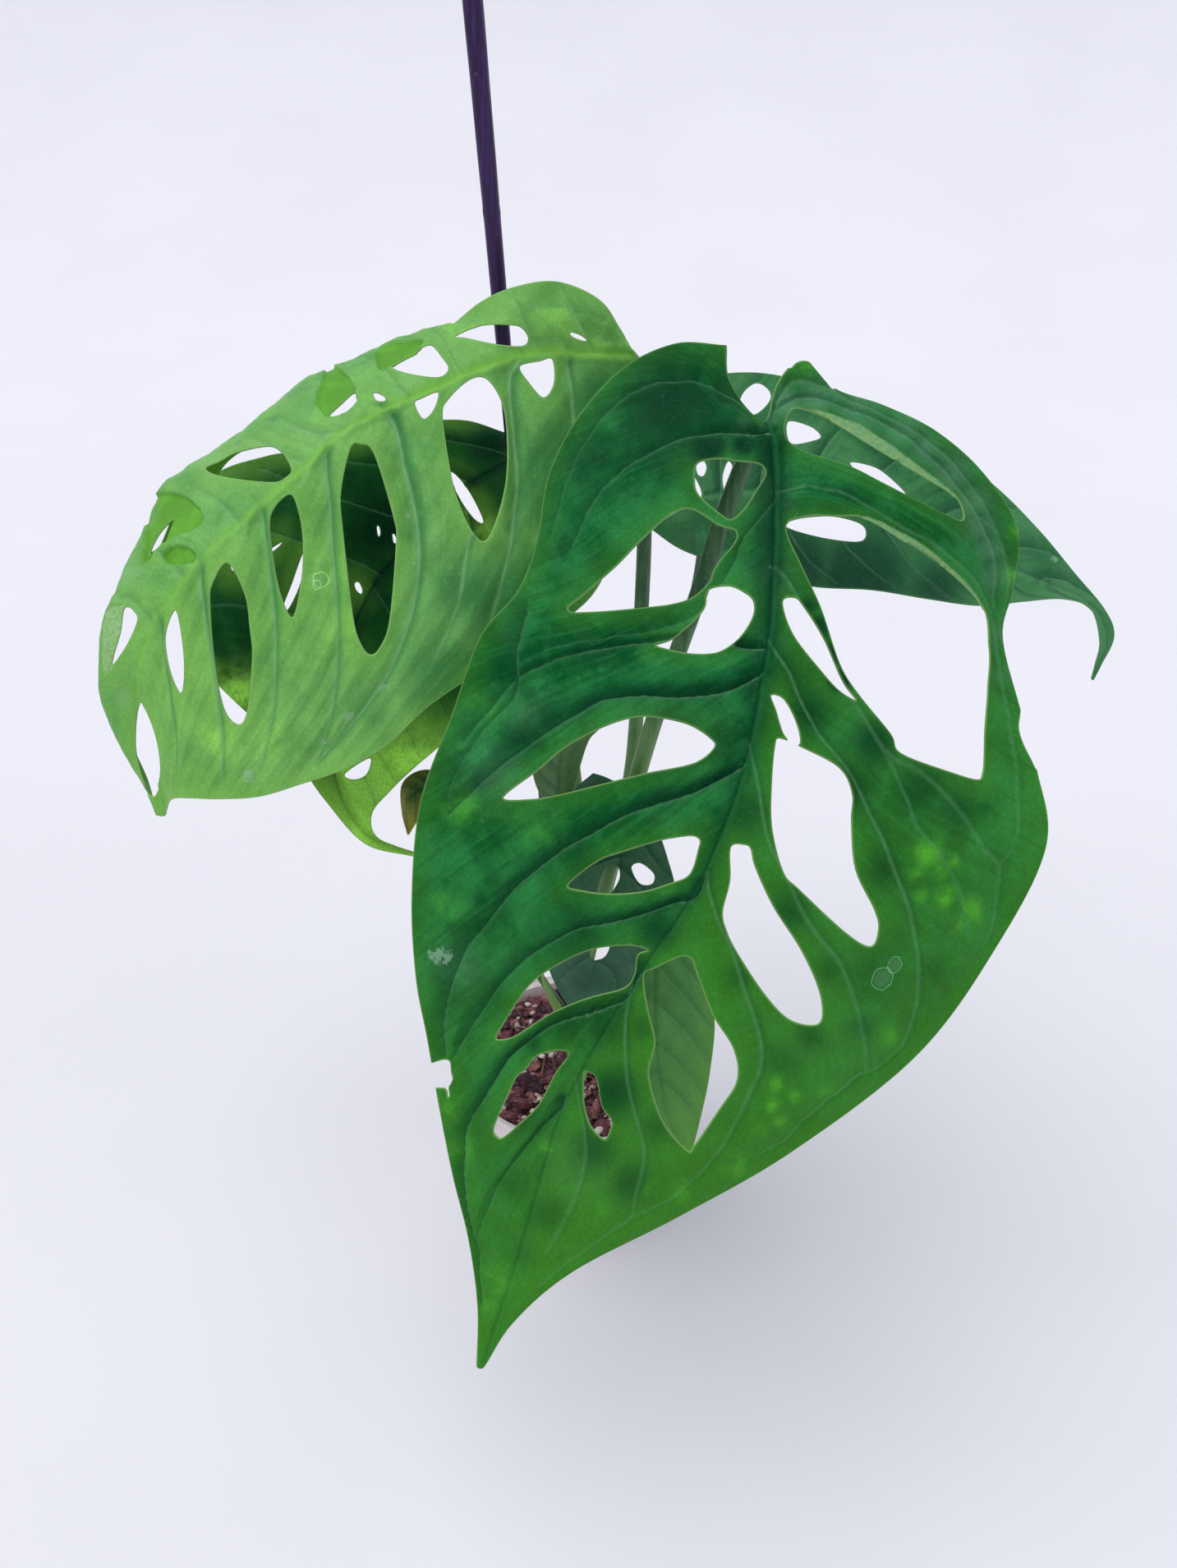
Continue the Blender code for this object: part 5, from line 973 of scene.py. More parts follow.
def blade_rings(leaf, holes, through_holes, bites, step):
    """The blade's outline, holes and bites as closed lines in its pattern plane, the outline first."""
    down = np.linspace(0.0, leaf.length, 500)
    over = np.linspace(-1.0, 1.0, 160)
    start, end = np.zeros(len(over)), np.full(len(over), leaf.length)
    one = np.ones(len(down))
    runs = (np.stack([start, over], 1), np.stack([down, one], 1), np.stack([end, over[::-1]], 1),
            np.stack([down[::-1], -one], 1))
    rings = [leaf.flatten(np.vstack([respaced(run, leaf.place(run), step, False)[:-1] for run in runs]))]
    loops = [leaf.find(through(hole, 6, True)) for hole in holes + through_holes]
    loops += [leaf.find(through(hole, 6, True), far=NEAR_SIDE) for hole in through_holes]
    loops += [leaf.find(through(bite, 6, True), 1.10) for bite in bites]
    return rings + [leaf.flatten(respaced(loop, leaf.place(loop), step, True)) for loop in loops]


def blade_pattern(leaf, rings, veins, panels, edge_step, field_step):
    """Points (u, v) and triangles of the blade in its pattern plane, cut to outline, holes and bites.

    Veins, panels and edges are lines of the triangulation, with finer points beside them.
    """
    lines = [leaf.flatten(respaced(vein, leaf.place(vein), 1.1 * edge_step, False)) for vein in veins]
    for _, ring in panels:
        loop = leaf.find(through(ring + ring[:1], 6, False))
        lines.append(leaf.flatten(respaced(loop, leaf.place(loop), edge_step, False)))
    edges = np.vstack(rings)
    lines = [line[nearest(line, edges)[0] > 0.6 * edge_step] for line in lines]
    lines = [line for line in lines if len(line) > 2]
    beside = []
    fixed = np.vstack([edges] + lines)
    for ring_gap, line_gap, apart in ((0.5, 0.36, 0.30), (1.25, 1.2, 0.62)):
        both = [flanks(ring, True, ring_gap * edge_step) for ring in rings]
        both += [flanks(line, False, line_gap * edge_step) for line in lines]
        beside.append(thinned(np.vstack(both), fixed, apart * edge_step))
        fixed = np.vstack([fixed, beside[-1]])
    low, high = rings[0].min(axis=0), rings[0].max(axis=0)
    rows = np.arange(low[1], high[1], field_step * math.sqrt(0.75))
    columns = np.arange(low[0], high[0], field_step)
    shift = (np.arange(len(rows)) % 2)[:, None] * field_step / 2.0
    tall = np.broadcast_to(rows[:, None], (len(rows), len(columns)))
    field = np.stack([columns[None, :] + shift, tall], axis=2).reshape(-1, 2)
    field = field[inside(field, rings[0])]
    field = field[nearest(field, fixed)[0] > 0.62 * field_step]
    sides = []
    start = 0
    for ring in rings:
        here = np.arange(len(ring))
        sides.append(np.stack([start + here, start + (here + 1) % len(ring)], axis=1))
        start += len(ring)
    for line in lines:
        here = np.arange(len(line) - 1)
        here = here[np.linalg.norm(np.diff(line, axis=0), axis=1) < 3.0 * edge_step]
        sides.append(np.stack([start + here, start + here + 1], axis=1))
        start += len(line)
    spots, triangles, area = triangulated(np.vstack([edges] + lines + beside + [field]), sides)
    triangles = cut_out(spots, triangles[area > SMALLEST_AREA], rings)
    used, index = np.unique(triangles, return_inverse=True)
    return spots[used], index.reshape(triangles.shape)


def open_edges(triangles, count):
    """Directed edges that belong to one triangle only."""
    pairs = np.vstack([triangles[:, [0, 1]], triangles[:, [1, 2]], triangles[:, [2, 0]]])
    there = pairs[:, 0].astype(np.int64) * count + pairs[:, 1]
    back = pairs[:, 1].astype(np.int64) * count + pairs[:, 0]
    return pairs[~np.isin(there, back)]


def add_surface(name, points, faces, material, sharp=None, **marks):
    """A new object at the origin from arrays of points and faces, with colour attributes."""
    mesh = bpy.data.meshes.new(name)
    loops = np.concatenate([np.asarray(part, dtype=np.int32).ravel() for part in faces])
    sizes = np.concatenate([np.full(len(part), np.asarray(part).shape[1], dtype=np.int32) for part in faces])
    mesh.vertices.add(len(points))
    mesh.vertices.foreach_set("co", np.asarray(points, dtype=np.float32).ravel())
    mesh.loops.add(len(loops))
    mesh.loops.foreach_set("vertex_index", loops)
    mesh.polygons.add(len(sizes))
    mesh.polygons.foreach_set("loop_start", (np.cumsum(sizes) - sizes).astype(np.int32))
    mesh.update(calc_edges=True)
    mesh.shade_smooth()
    if sharp is not None and len(sharp):
        ends = np.zeros(len(mesh.edges) * 2, dtype=np.int32)
        mesh.edges.foreach_get("vertices", ends)
        ends = np.sort(ends.reshape(-1, 2), axis=1).astype(np.int64)
        wanted = np.sort(np.asarray(sharp), axis=1).astype(np.int64)
        flags = np.isin(ends[:, 0] * len(points) + ends[:, 1], wanted[:, 0] * len(points) + wanted[:, 1])
        edge = mesh.attributes.get("sharp_edge") or mesh.attributes.new("sharp_edge", "BOOLEAN", "EDGE")
        edge.data.foreach_set("value", flags)
    for key, values in marks.items():
        layer = mesh.attributes.new(key, "FLOAT_COLOR", "POINT")
        layer.data.foreach_set("color", np.asarray(values, dtype=np.float32).ravel())
    mesh.materials.append(material)
    thing = bpy.data.objects.new(name, mesh)
    bpy.context.scene.collection.objects.link(thing)
    return thing


def vein_lines(leaf, seen_veins, starts, sweep):
    """The midrib and the side veins as lines (u, v), each with a strength along it.

    A plain side vein leaves the midrib at its row and runs to v = 0.94 on u = start + sweep * v ** 1.4.
    """
    lines = [np.stack([np.linspace(0.15, leaf.length - 0.15, 120), np.zeros(120)], axis=1)]
    strengths = [1.0]
    for strength, points in seen_veins:
        lines.append(leaf.find(through(points, 6, False)))
        strengths.append(strength)
    v = np.linspace(0.0, 0.94, 40)
    for start in starts:
        for way in (-1.0, 1.0):
            u = start + sweep * v ** 1.4 + (0.22 if way > 0.0 else 0.0)
            keep = u < leaf.length - 0.2
            lines.append(np.stack([u, way * v], axis=1)[keep])
            strengths.append(0.8)
    return lines, strengths


def vein_marks(spots, lines, strengths):
    """Signed distance to the nearest side vein, above it positive, with its strength and its pale share."""
    samples = np.vstack(lines)
    slopes = np.vstack([np.gradient(line, axis=0) for line in lines])
    hands = np.concatenate([np.full(len(line), 1.0 if line[:, 0].mean() < 0.0 else -1.0) for line in lines])
    pairs = list(zip(lines, strengths))
    powers = np.concatenate([np.linspace(1.0, 0.5, len(line)) * abs(power) for line, power in pairs])
    pales = np.concatenate([np.full(len(line), float(power < 0.0)) for line, power in pairs])
    gap, index = nearest(spots, samples)
    away = spots - samples[index]
    slope = slopes[index]
    above = (slope[:, 0] * away[:, 1] - slope[:, 1] * away[:, 0]) * hands[index]
    return gap * np.where(above < 0.0, -1.0, 1.0), powers[index], pales[index]


def painted(kind, picture, near, panels, spots):
    """How far each point belongs to a kind.

    That is 1 inside its panels, and strength * exp(-(d / radius)^2) at distance d from its spots.
    """
    share = np.zeros(len(picture))
    for name, ring in panels:
        if name == kind:
            share = np.maximum(share, inside(picture, through(ring, 6, True)) * near)
    for x, y, radius, strength in spots.get(kind, ()):
        square = (picture[:, 0] - x) ** 2 + (picture[:, 1] - y) ** 2
        share = np.maximum(share, strength * np.exp(-square / radius ** 2) * near)
    return share


def make_blade(name, context, looks):
    """One blade: its surface, pressed in along the veins, with a thickness and a half-round rim.

    The press at distance d from a vein is groove * bell(d) + valley * exp(1 - sqrt(1 + (2 d / width)^2)),
    with a narrower width above the vein than below, and the midrib is a shallow channel between two low
    ridges. Slow waves of sines lie over the whole blade and fade out at its edges.
    """
    columns, rows, holes, bites, seen_veins, starts, sweep, _, share = LEAVES[name]
    through_holes, panels, spots = FINISH.get(name, ((), (), {}))
    settings = context.scene.monstera_blades
    leaf = Leaf(columns, rows)
    veins, strengths = vein_lines(leaf, seen_veins, starts, sweep)
    edge_step = settings.edge_spacing * share
    rings = blade_rings(leaf, holes, through_holes, bites, edge_step)
    plan, triangles = blade_pattern(leaf, rings, veins, panels, edge_step, settings.spacing * share)
    count = len(plan)
    uv = leaf.unflatten(plan)
    flat_veins = [leaf.flatten(respaced(vein, leaf.place(vein), VEIN_SAMPLING, False)) for vein in veins]
    rib_gap = nearest(plan, flat_veins[0])[0]
    gap, power, pale_vein = vein_marks(plan, flat_veins[1:], strengths[1:])
    far = np.abs(gap)
    border = open_edges(triangles, count)
    rim_gap = nearest(plan, plan[border[:, 0]])[0]
    picture = leaf.picture(uv)[:, :2]
    near = (uv[:, 1] > NEAR_SIDE).astype(float) if through_holes else np.ones(count)
    # Shade spots are painted shade, pale spots painted sheen and highlights in places, and lime panels the
    # underside's green with painted glow of light shining through.
    lime, turned, yellow, scar, shade, pale = (
        painted(kind, picture, near, panels, spots)
        for kind in ("lime", "turned", "yellow", "scar", "shade", "pale"))
    free = 1.0 - bell(rim_gap, RIM_CLEARANCE)
    taper = 1.0 - uv[:, 0] / leaf.length
    width = np.where(gap > 0.0, VALLEY_ABOVE, VALLEY_BELOW)
    valley = power * np.exp(1.0 - np.sqrt(1.0 + (2.0 * far / width) ** 2))
    press = settings.groove * power * bell(far, GROOVE_WIDTH) * free
    press += looks["pleat"] * settings.valley * valley * (1.0 - bell(rib_gap, RIB_CLEARANCE)) * free
    press += settings.groove * 1.8 * bell(rib_gap, RIB_CHANNEL) * (0.4 + 0.6 * taper)
    press -= settings.groove * 1.6 * bell(rib_gap - RIB_RIDGE, RIDGE_WIDTH) * taper * free
    press += ARCH_DEPTH * lime + TURNED_DEPTH * turned
    x, y = plan[:, 0], plan[:, 1]
    wave = np.sin(x * 310.0 + 1.0) * np.sin(y * 260.0 + 2.0 * x) + 0.5 * np.sin(x * 520.0 - y * 480.0)
    wave += 0.35 * np.sin(x * 1300.0 + 40.0 * y) * np.sin(y * 1100.0)
    press += settings.swell * wave * np.clip(rim_gap / WAVE_FADE, 0.0, 1.0)
    face = leaf.face(uv)
    sheet = leaf.place(uv) - face * press[:, None]
    half = settings.thickness / 2.0
    upper = triangles if leaf.turn < 0.0 else triangles[:, ::-1]
    border = open_edges(upper, count)
    run = sheet[border[:, 1]] - sheet[border[:, 0]]
    out = np.zeros((count, 3))
    away = np.cross(run, face[border[:, 0]])
    np.add.at(out, border[:, 0], away)
    np.add.at(out, border[:, 1], away)
    out /= np.maximum(np.linalg.norm(out, axis=1), 1e-12)[:, None]
    rim = np.unique(border[:, 0])
    slot = np.full(count, -1)
    slot[rim] = np.arange(len(rim))
    middle = 2 * count + slot
    points = np.vstack([sheet + face * half, sheet - face * half, sheet[rim] + out[rim] * half])
    a, b = border[:, 0], border[:, 1]
    sides = np.vstack([np.stack([b, a, middle[a], middle[b]], axis=1),
                       np.stack([middle[b], middle[a], a + count, b + count], axis=1)])
    # A dark line over each dark vein, and beside a pale vein a line of painted shade on its upper side.
    line = power * (1.0 - pale_vein) * bell(far, LINE_WIDTH)
    line += looks["pale_vein_shade"] * power * pale_vein * bell(gap - PALE_VEIN_SHADE_GAP, PALE_VEIN_SHADE_WIDTH)
    # Painted highlight on the lit flank just below each dark vein; on a pale vein, its own pale line.
    light = power * np.where(gap < 0.0, bell(far - HIGHLIGHT_GAP, HIGHLIGHT_WIDTH), 0.0) * (1.0 - pale_vein)
    light = np.maximum(light, 1.25 * power * pale_vein * bell(far, 0.6 * looks["rib"]))
    # Painted shade: a band above each vein and a narrow one below, the shade spots, and the dark flanks of
    # the midrib.
    band = power * np.where(gap > 0.0, 0.85 * bell(far, looks["band"]), 0.85 * bell(far, SHADE_BAND_BELOW))
    band *= (1.0 - (1.0 - looks["pale_vein_shade"]) * pale_vein) * (1.0 - looks["fade"] * (1.0 - taper))
    band = np.clip(np.maximum(band, shade), 0.0, 1.0)
    spine = looks["spine"] * bell(rib_gap, SPINE_WIDTH) * np.clip(1.25 * taper - 0.05, 0.0, 1.0)
    band = np.maximum(band, spine * np.clip(5.0 - 4.6 * taper, 0.0, 1.0))
    nil, one = np.zeros(count), np.ones(count)
    # Painted highlight on the rim, where light catches the thin edge.
    rim_highlight = np.zeros(count)
    rim_highlight[rim] = RIM_HIGHLIGHT
    rib = bell(rib_gap, looks["rib"]) * np.clip(0.35 + taper, 0.0, 1.0)
    # Painted highlight along the low ridge on the midrib's v > 0 side.
    ridge = bell(rib_gap - RIDGE_HIGHLIGHT, RIDGE_WIDTH) * (uv[:, 1] > 0.0) * (0.3 + 0.7 * taper)
    # Marks: dark vein line, painted shade, painted rim highlight and the underside's share.
    marks = np.stack([line, band, rim_highlight, nil], axis=1)
    under = marks.copy()
    under[:, 3] = 1.0
    edge = marks[rim]
    edge[:, 2] = 1.0
    edge[:, 3] = 0.4
    margin = 1.0 - np.clip(rim_gap / MARGIN_WIDTH, 0, 1)
    across = np.abs(uv[:, 1])
    left_bend, right_bend = (bend[0] * across + bend[1] * across ** 2 + bend[2] * across ** 4
                             for bend in looks["bends"])
    bent = uv[:, 0] - np.where(uv[:, 1] < 0.0, left_bend, right_bend)
    layers = {"marks": np.vstack([marks, under, edge])}
    for key, channels in (("place", (uv[:, 0] / leaf.length, ridge, rib, margin)),
                          ("stains", (light, yellow, lime, scar)), ("tones", (turned, pale, nil, one)),
                          ("flow", (bent, across, np.sign(uv[:, 1]), one))):
        values = np.stack(channels, axis=1)
        layers[key] = np.vstack([values, values, values[rim]])
    faces = (upper, upper[:, ::-1] + count, sides)
    sharp = np.vstack([border, border + count])
    thing = add_surface(name + "_blade", points, faces, looks["material"], sharp, **layers)
    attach(thing, "root")
    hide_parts(name)
    return thing


def node_tools(tree):
    """Short ways to add a node, with its inputs set or linked by name or number."""
    def add(kind, inputs=None, **settings):
        node = tree.nodes.new(kind)
        for key, value in settings.items():
            setattr(node, key, value)
        for key, value in (inputs or {}).items():
            if isinstance(value, bpy.types.NodeSocket):
                tree.links.new(value, node.inputs[key])
            else:
                node.inputs[key].default_value = value
        return node

    def math_node(operation, first, second=0.0, clamp=False):
        return add("ShaderNodeMath", {0: first, 1: second}, operation=operation, use_clamp=clamp).outputs[0]

    def mix(share, first, second):
        return add("ShaderNodeMix", {0: share, 6: first, 7: second}, data_type="RGBA").outputs[2]

    def noise(where, scale, detail=3.0, rough=0.5):
        inputs = {"Vector": where, "Scale": scale, "Detail": detail, "Roughness": rough}
        return add("ShaderNodeTexNoise", inputs).outputs[0]

    def ramp(value, low, high):
        inputs = {0: value, 1: low, 2: high, 3: 0.0, 4: 1.0}
        return add("ShaderNodeMapRange", inputs, interpolation_type="SMOOTHSTEP").outputs[0]

    return add, math_node, mix, noise, ramp


def rgba(colour, gain=1.0):
    """A colour with full alpha."""
    return (colour[0] * gain, colour[1] * gain, colour[2] * gain, 1.0)


def new_material(name):
    """An empty node material with its shader and its tools."""
    paint = bpy.data.materials.new(name)
    paint.use_nodes = True
    tree = paint.node_tree
    shader = tree.nodes["Principled BSDF"]
    return paint, tree, shader, node_tools(tree)


def blade_material(name, shades, drops, tip, glow, margin, sheen, streaks=0.35, pale_and_sheen=PALE_AND_SHEEN, start=0.35):
    """Leaf skin from its shades: painted shade in bands above the veins, the plain green between, a fine net,
    lines, and painted highlights on a midrib ridge and along the rim.

    The shades are deep, main, light, line, core, rib, rim, under and warm; warm spreads to the tip.
    """
    deep, main, light, line, core, rib, rim, under, warm = shades
    paint, tree, shader, (add, math_node, mix, noise, ramp) = new_material(name)

    def times(first, second, clamp=False):
        return math_node("MULTIPLY", first, second, clamp)

    where = add("ShaderNodeTexCoord").outputs["Object"]
    marks, place, stains, tones, flow = (add("ShaderNodeAttribute", attribute_name=key)
                                         for key in ("marks", "place", "stains", "tones", "flow"))
    lines, spot, stain, tone = (add("ShaderNodeSeparateColor", {0: layer.outputs["Color"]})
                                for layer in (marks, place, stains, tones))
    cloud = noise(where, 34.0, 4.0, 0.55)
    patch = noise(where, 110.0, 4.0, 0.6)
    along = add("ShaderNodeMapping", {"Vector": flow.outputs["Vector"], "Scale": (9.0, 1.8, 7.0)}).outputs[0]
    streak = noise(along, 1.0, 4.0, 0.60)
    grain = noise(where, 900.0, 3.0, 0.6)
    body = mix(ramp(cloud, 0.40, 0.62), rgba(main), rgba(light))
    body = mix(times(ramp(patch, 0.48, 0.72), glow), body, rgba(light, 1.35))
    body = mix(times(ramp(patch, 0.50, 0.30), 0.9 * glow), body, rgba(deep))
    body = mix(times(ramp(streak, 0.50, 0.72), streaks), body, rgba(light, 1.25))
    body = mix(times(ramp(streak, 0.50, 0.28), 1.2 * streaks), body, rgba(deep))
    side = add("ShaderNodeSeparateXYZ", {0: flow.outputs["Vector"]}).outputs[2]
    onward = math_node("ADD", spot.outputs[0], times(side, 0.10))
    # Warm towards the tip; on the behind leaf this is painted glow of light shining through.
    body = mix(times(ramp(onward, start, 1.0), tip), body, rgba(warm))
    body = mix(times(ramp(place.outputs["Alpha"], 0.0, 1.0), margin), body, rgba(warm, 0.9))
    patchy = times(stain.outputs[1], math_node("ADD", ramp(patch, 0.38, 0.60), 0.25), True)
    body = mix(times(patchy, 0.9), body, rgba(warm, 1.55))
    # Pale spots: painted sheen and highlights, in places paler patches of the green.
    body = mix(times(tone.outputs[1], 0.65), body, rgba(pale_and_sheen))
    # Painted shade: the band above each vein, the shade spots and the dark flanks of the midrib.
    band = times(ramp(lines.outputs[1], 0.02, 0.80), math_node("ADD", cloud, 0.45), True)
    body = mix(band, body, rgba(deep))
    net = add("ShaderNodeTexVoronoi", {"Vector": add_noise(add, where, NET_SHAKE), "Scale": 640.0},
              feature="DISTANCE_TO_EDGE").outputs[0]
    thread = math_node("SUBTRACT", 1.0, ramp(net, 0.0, 0.18))
    body = mix(times(thread, 0.16), body, rgba(deep))
    body = mix(times(ramp(grain, 0.56, 0.74), 0.18), body, rgba(light, 1.6))
    body = mix(times(lines.outputs[0], 0.9), body, rgba(line))
    # Painted highlight below each dark vein, and the pale veins' own lines.
    body = mix(times(stain.outputs[0], 0.45), body, rgba(pale_and_sheen, 1.25))
    # Painted highlight along one ridge of the midrib.
    body = mix(times(spot.outputs[1], 0.75), body, rgba(rib))
    body = mix(times(spot.outputs[2], 0.8), body, rgba(core))
    # The underside's green, also shown in the lime panels; on the left leaf it is brightened as painted glow
    # of light shining through.
    below = mix(ramp(patch, 0.35, 0.7), rgba(under), rgba(under, 1.3))
    body = mix(stain.outputs[2], body, below)
    turned = mix(ramp(grain, 0.35, 0.65), rgba(pale_and_sheen, 1.1), rgba(rim, 0.75))
    body = mix(times(tone.outputs[0], 0.9), body, turned)
    scuff = times(stains.outputs["Alpha"], ramp(noise(where, 330.0, 5.0, 0.8), 0.34, 0.62))
    body = mix(times(ramp(scuff, 0.26, 0.40), 0.5), body, SCAR_COLOUR)
    for centre, radius in drops:
        shaken = add_noise(add, where, DROP_SHAKE)
        near = add("ShaderNodeVectorMath", {0: shaken, 1: centre}, operation="DISTANCE").outputs["Value"]
        off = math_node("ABSOLUTE", math_node("SUBTRACT", near, radius))
        edge = math_node("SUBTRACT", 1.0, ramp(off, 0.00006, 0.00026))
        body = mix(times(edge, 0.45), body, rgba(pale_and_sheen, 2.0))
        fill = math_node("SUBTRACT", 1.0, ramp(near, radius * 0.6, radius))
        body = mix(times(fill, 0.18), body, DROP_COLOUR)
    # Painted highlight along the rim.
    body = mix(times(lines.outputs[2], 0.8), body, rgba(rim))
    below = mix(times(lines.outputs[0], 0.6), below, rgba(rim))
    below = mix(times(spot.outputs[2], 0.8), below, rgba(rim, 1.1))
    colour = mix(ramp(marks.outputs["Alpha"], 0.45, 0.75), body, below)
    tree.links.new(colour, shader.inputs["Base Color"])
    gloss = add("ShaderNodeMapRange", {0: patch, 1: 0.3, 2: 0.7, 3: 0.40, 4: 0.54}).outputs[0]
    tree.links.new(gloss, shader.inputs["Roughness"])
    shader.inputs["Specular IOR Level"].default_value = sheen
    height = math_node("ADD", times(ramp(net, 0.0, 0.3), 0.6), times(grain, 0.8))
    bump = add("ShaderNodeBump", {"Strength": 0.35, "Distance": 0.00012, "Height": height})
    tree.links.new(bump.outputs[0], shader.inputs["Normal"])
    return paint


def add_noise(add, where, reach):
    """Places pushed about by a fine noise, so that rings and nets aren't too even."""
    def moved(operation, first, second):
        return add("ShaderNodeVectorMath", {0: first, 1: second}, operation=operation).outputs[0]

    push = add("ShaderNodeTexNoise", {"Vector": where, "Scale": 330.0, "Detail": 2.0}).outputs["Color"]
    centred = moved("SUBTRACT", push, (0.5, 0.5, 0.5))
    return moved("ADD", where, moved("MULTIPLY", centred, (reach, reach, reach)))


def drop_places(name):
    """World places and radii of a leaf's dried drop marks."""
    if name not in DROP_MARKS:
        return []
    leaf = Leaf(LEAVES[name][0], LEAVES[name][1])
    marks = DROP_MARKS[name]
    spots = leaf.place(leaf.find([(x, y) for x, y, _ in marks]))
    return [(tuple(spot), radius) for spot, (_, _, radius) in zip(spots, marks)]


def grid_body(rings, start_pole=True, end_pole=True):
    """Points and faces of a closed body from rings of points (rows, around, 3), with closed poles."""
    rows, around = rings.shape[:2]
    points = rings.reshape(-1, 3)
    here = np.arange(around)
    step = (here + 1) % around
    row = np.arange(rows - 1)[:, None] * around
    following = row + around
    quads = np.stack([row + here, row + step, following + step, following + here], axis=2).reshape(-1, 4)
    faces = [quads]
    if start_pole:
        points = np.vstack([points, rings[0].mean(axis=0)[None, :]])
        faces.append(np.stack([np.full(around, len(points) - 1), step, here], axis=1))
    if end_pole:
        points = np.vstack([points, rings[-1].mean(axis=0)[None, :]])
        last = (rows - 1) * around
        faces.append(np.stack([np.full(around, len(points) - 1), last + here, last + step], axis=1))
    return points, faces


def pulled_curve(points, per_piece):
    """The curve that the control points pull: quadratic arcs between the middles of the sides."""
    spots = np.asarray(points, dtype=float)
    middles = (spots[:-1] + spots[1:]) / 2.0
    middles[0], middles[-1] = spots[0], spots[-1]
    start, control, end = middles[:-1, None], spots[1:-1, None], middles[1:, None]
    part = np.linspace(0.0, 1.0, per_piece, endpoint=False)[None, :, None]
    curve = (1 - part) ** 2 * start + 2 * part * (1 - part) * control + part ** 2 * end
    return np.vstack([curve.reshape(-1, spots.shape[1]), middles[-1:]])


def swept(path, radius_of, around=20, guide=(1.0, 0.15, 0.0)):
    """Rings carried along a path; radius_of(share along, angle, length along) gives the radius."""
    slope = np.gradient(path, axis=0)
    slope /= np.linalg.norm(slope, axis=1)[:, None]
    side = np.asarray(guide) - (slope @ np.asarray(guide))[:, None] * slope
    side /= np.linalg.norm(side, axis=1)[:, None]
    front = np.cross(slope, side)
    length = np.concatenate([[0.0], np.cumsum(np.linalg.norm(np.diff(path, axis=0), axis=1))])
    share = (length / length[-1])[:, None]
    angle = full_turn(around)[None, :]
    radius = radius_of(share, angle, length[:, None])
    across = np.cos(angle)[..., None] * side[:, None] + np.sin(angle)[..., None] * front[:, None]
    return path[:, None] + radius[..., None] * across


def evenly(path, step):
    """The path's points at even steps."""
    return respaced(path, path[:, :3], step, False)


def stalk_material(name, main, stripe, spot, rough):
    """Stalk skin: fine stripes along it, pale flecks, a darker joint under the blade, painted shade along its
    channel, and lower parts painted lighter as painted light under the leaves.
    """
    paint, tree, shader, (add, math_node, mix, noise, ramp) = new_material(name)
    where = add("ShaderNodeTexCoord").outputs["Object"]
    long = add("ShaderNodeMapping", {"Vector": where, "Scale": (1.0, 0.35, 0.06)}).outputs[0]
    stripes = noise(long, 900.0, 2.0, 0.5)
    cloud = noise(where, 60.0, 3.0, 0.5)
    marks = add("ShaderNodeAttribute", attribute_name="marks")
    lines = add("ShaderNodeSeparateColor", {0: marks.outputs["Color"]})
    spot_high = add("ShaderNodeSeparateXYZ", {0: where}).outputs[2]
    body = mix(ramp(stripes, 0.40, 0.62), rgba(main), rgba(stripe))
    # Below about 0.31 m the stalks turn lighter: painted light, lifting them where the leaves above shade
    # them.
    fresh = mix(stripes, rgba((0.120, 0.270, 0.090)), rgba((0.230, 0.400, 0.130)))
    body = mix(math_node("MULTIPLY", ramp(spot_high, 0.31, 0.22), 0.85), body, fresh)
    body = mix(math_node("MULTIPLY", ramp(cloud, 0.45, 0.7), 0.45), body, rgba(spot))
    body = mix(math_node("MULTIPLY", lines.outputs[0], 0.8), body, rgba(spot, 0.35))
    # Painted shade along the channel; on the stem this mark darkens the leaf scars.
    body = mix(math_node("MULTIPLY", lines.outputs[1], 0.6), body, rgba(main, 0.45))
    fleck = noise(where, 800.0, 1.0, 0.4)
    body = mix(math_node("MULTIPLY", ramp(fleck, 0.66, 0.72), 0.5), body, rgba(stripe, 1.6))
    tree.links.new(body, shader.inputs["Base Color"])
    shader.inputs["Roughness"].default_value = rough
    shader.inputs["Specular IOR Level"].default_value = 0.3
    bump = add("ShaderNodeBump", {"Strength": 0.35, "Distance": 0.0002, "Height": stripes})
    tree.links.new(bump.outputs[0], shader.inputs["Normal"])
    return paint


def add_stalk(name, rings, paint, joint=0.0, groove=0.0, extra=False):
    """A closed stalk from its rings, with two colour marks: how dark its joints are, and how much painted
    shade lies along its channel (on the stem, this mark darkens the leaf scars).

    An extra one is beside the solids, and the others stand for the stem.
    """
    shape = rings.shape[:2]
    points, faces = grid_body(rings)
    values = [np.broadcast_to(share, shape).reshape(-1) for share in (joint, groove, 0.0, 1.0)]
    values = np.stack(values, axis=1)
    poles = np.repeat(values[-1:], len(points) - len(values), axis=0)
    thing = add_surface(name, points, faces, paint, marks=np.vstack([values, poles]))
    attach(thing, "root")
    if not extra:
        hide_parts("stem")


class MONSTERA_OT_blades(bpy.types.Operator):
    """Build the eight leaf blades over their cages"""
    bl_idname = "monstera.build_blades"
    bl_label = "Leaf blades"

    def execute(self, context):
        """Each leaf takes its skin and its relief from the table of looks."""
        colours = context.scene.monstera_colours
        for name, (skin, shades, paints, relief) in LOOKS.items():
            shades = [getattr(colours, shade) if isinstance(shade, str) else shade for shade in shades]
            material = blade_material(skin, shades, drop_places(name), **paints)
            make_blade(name, context, dict(relief, material=material))
        return {"FINISHED"}


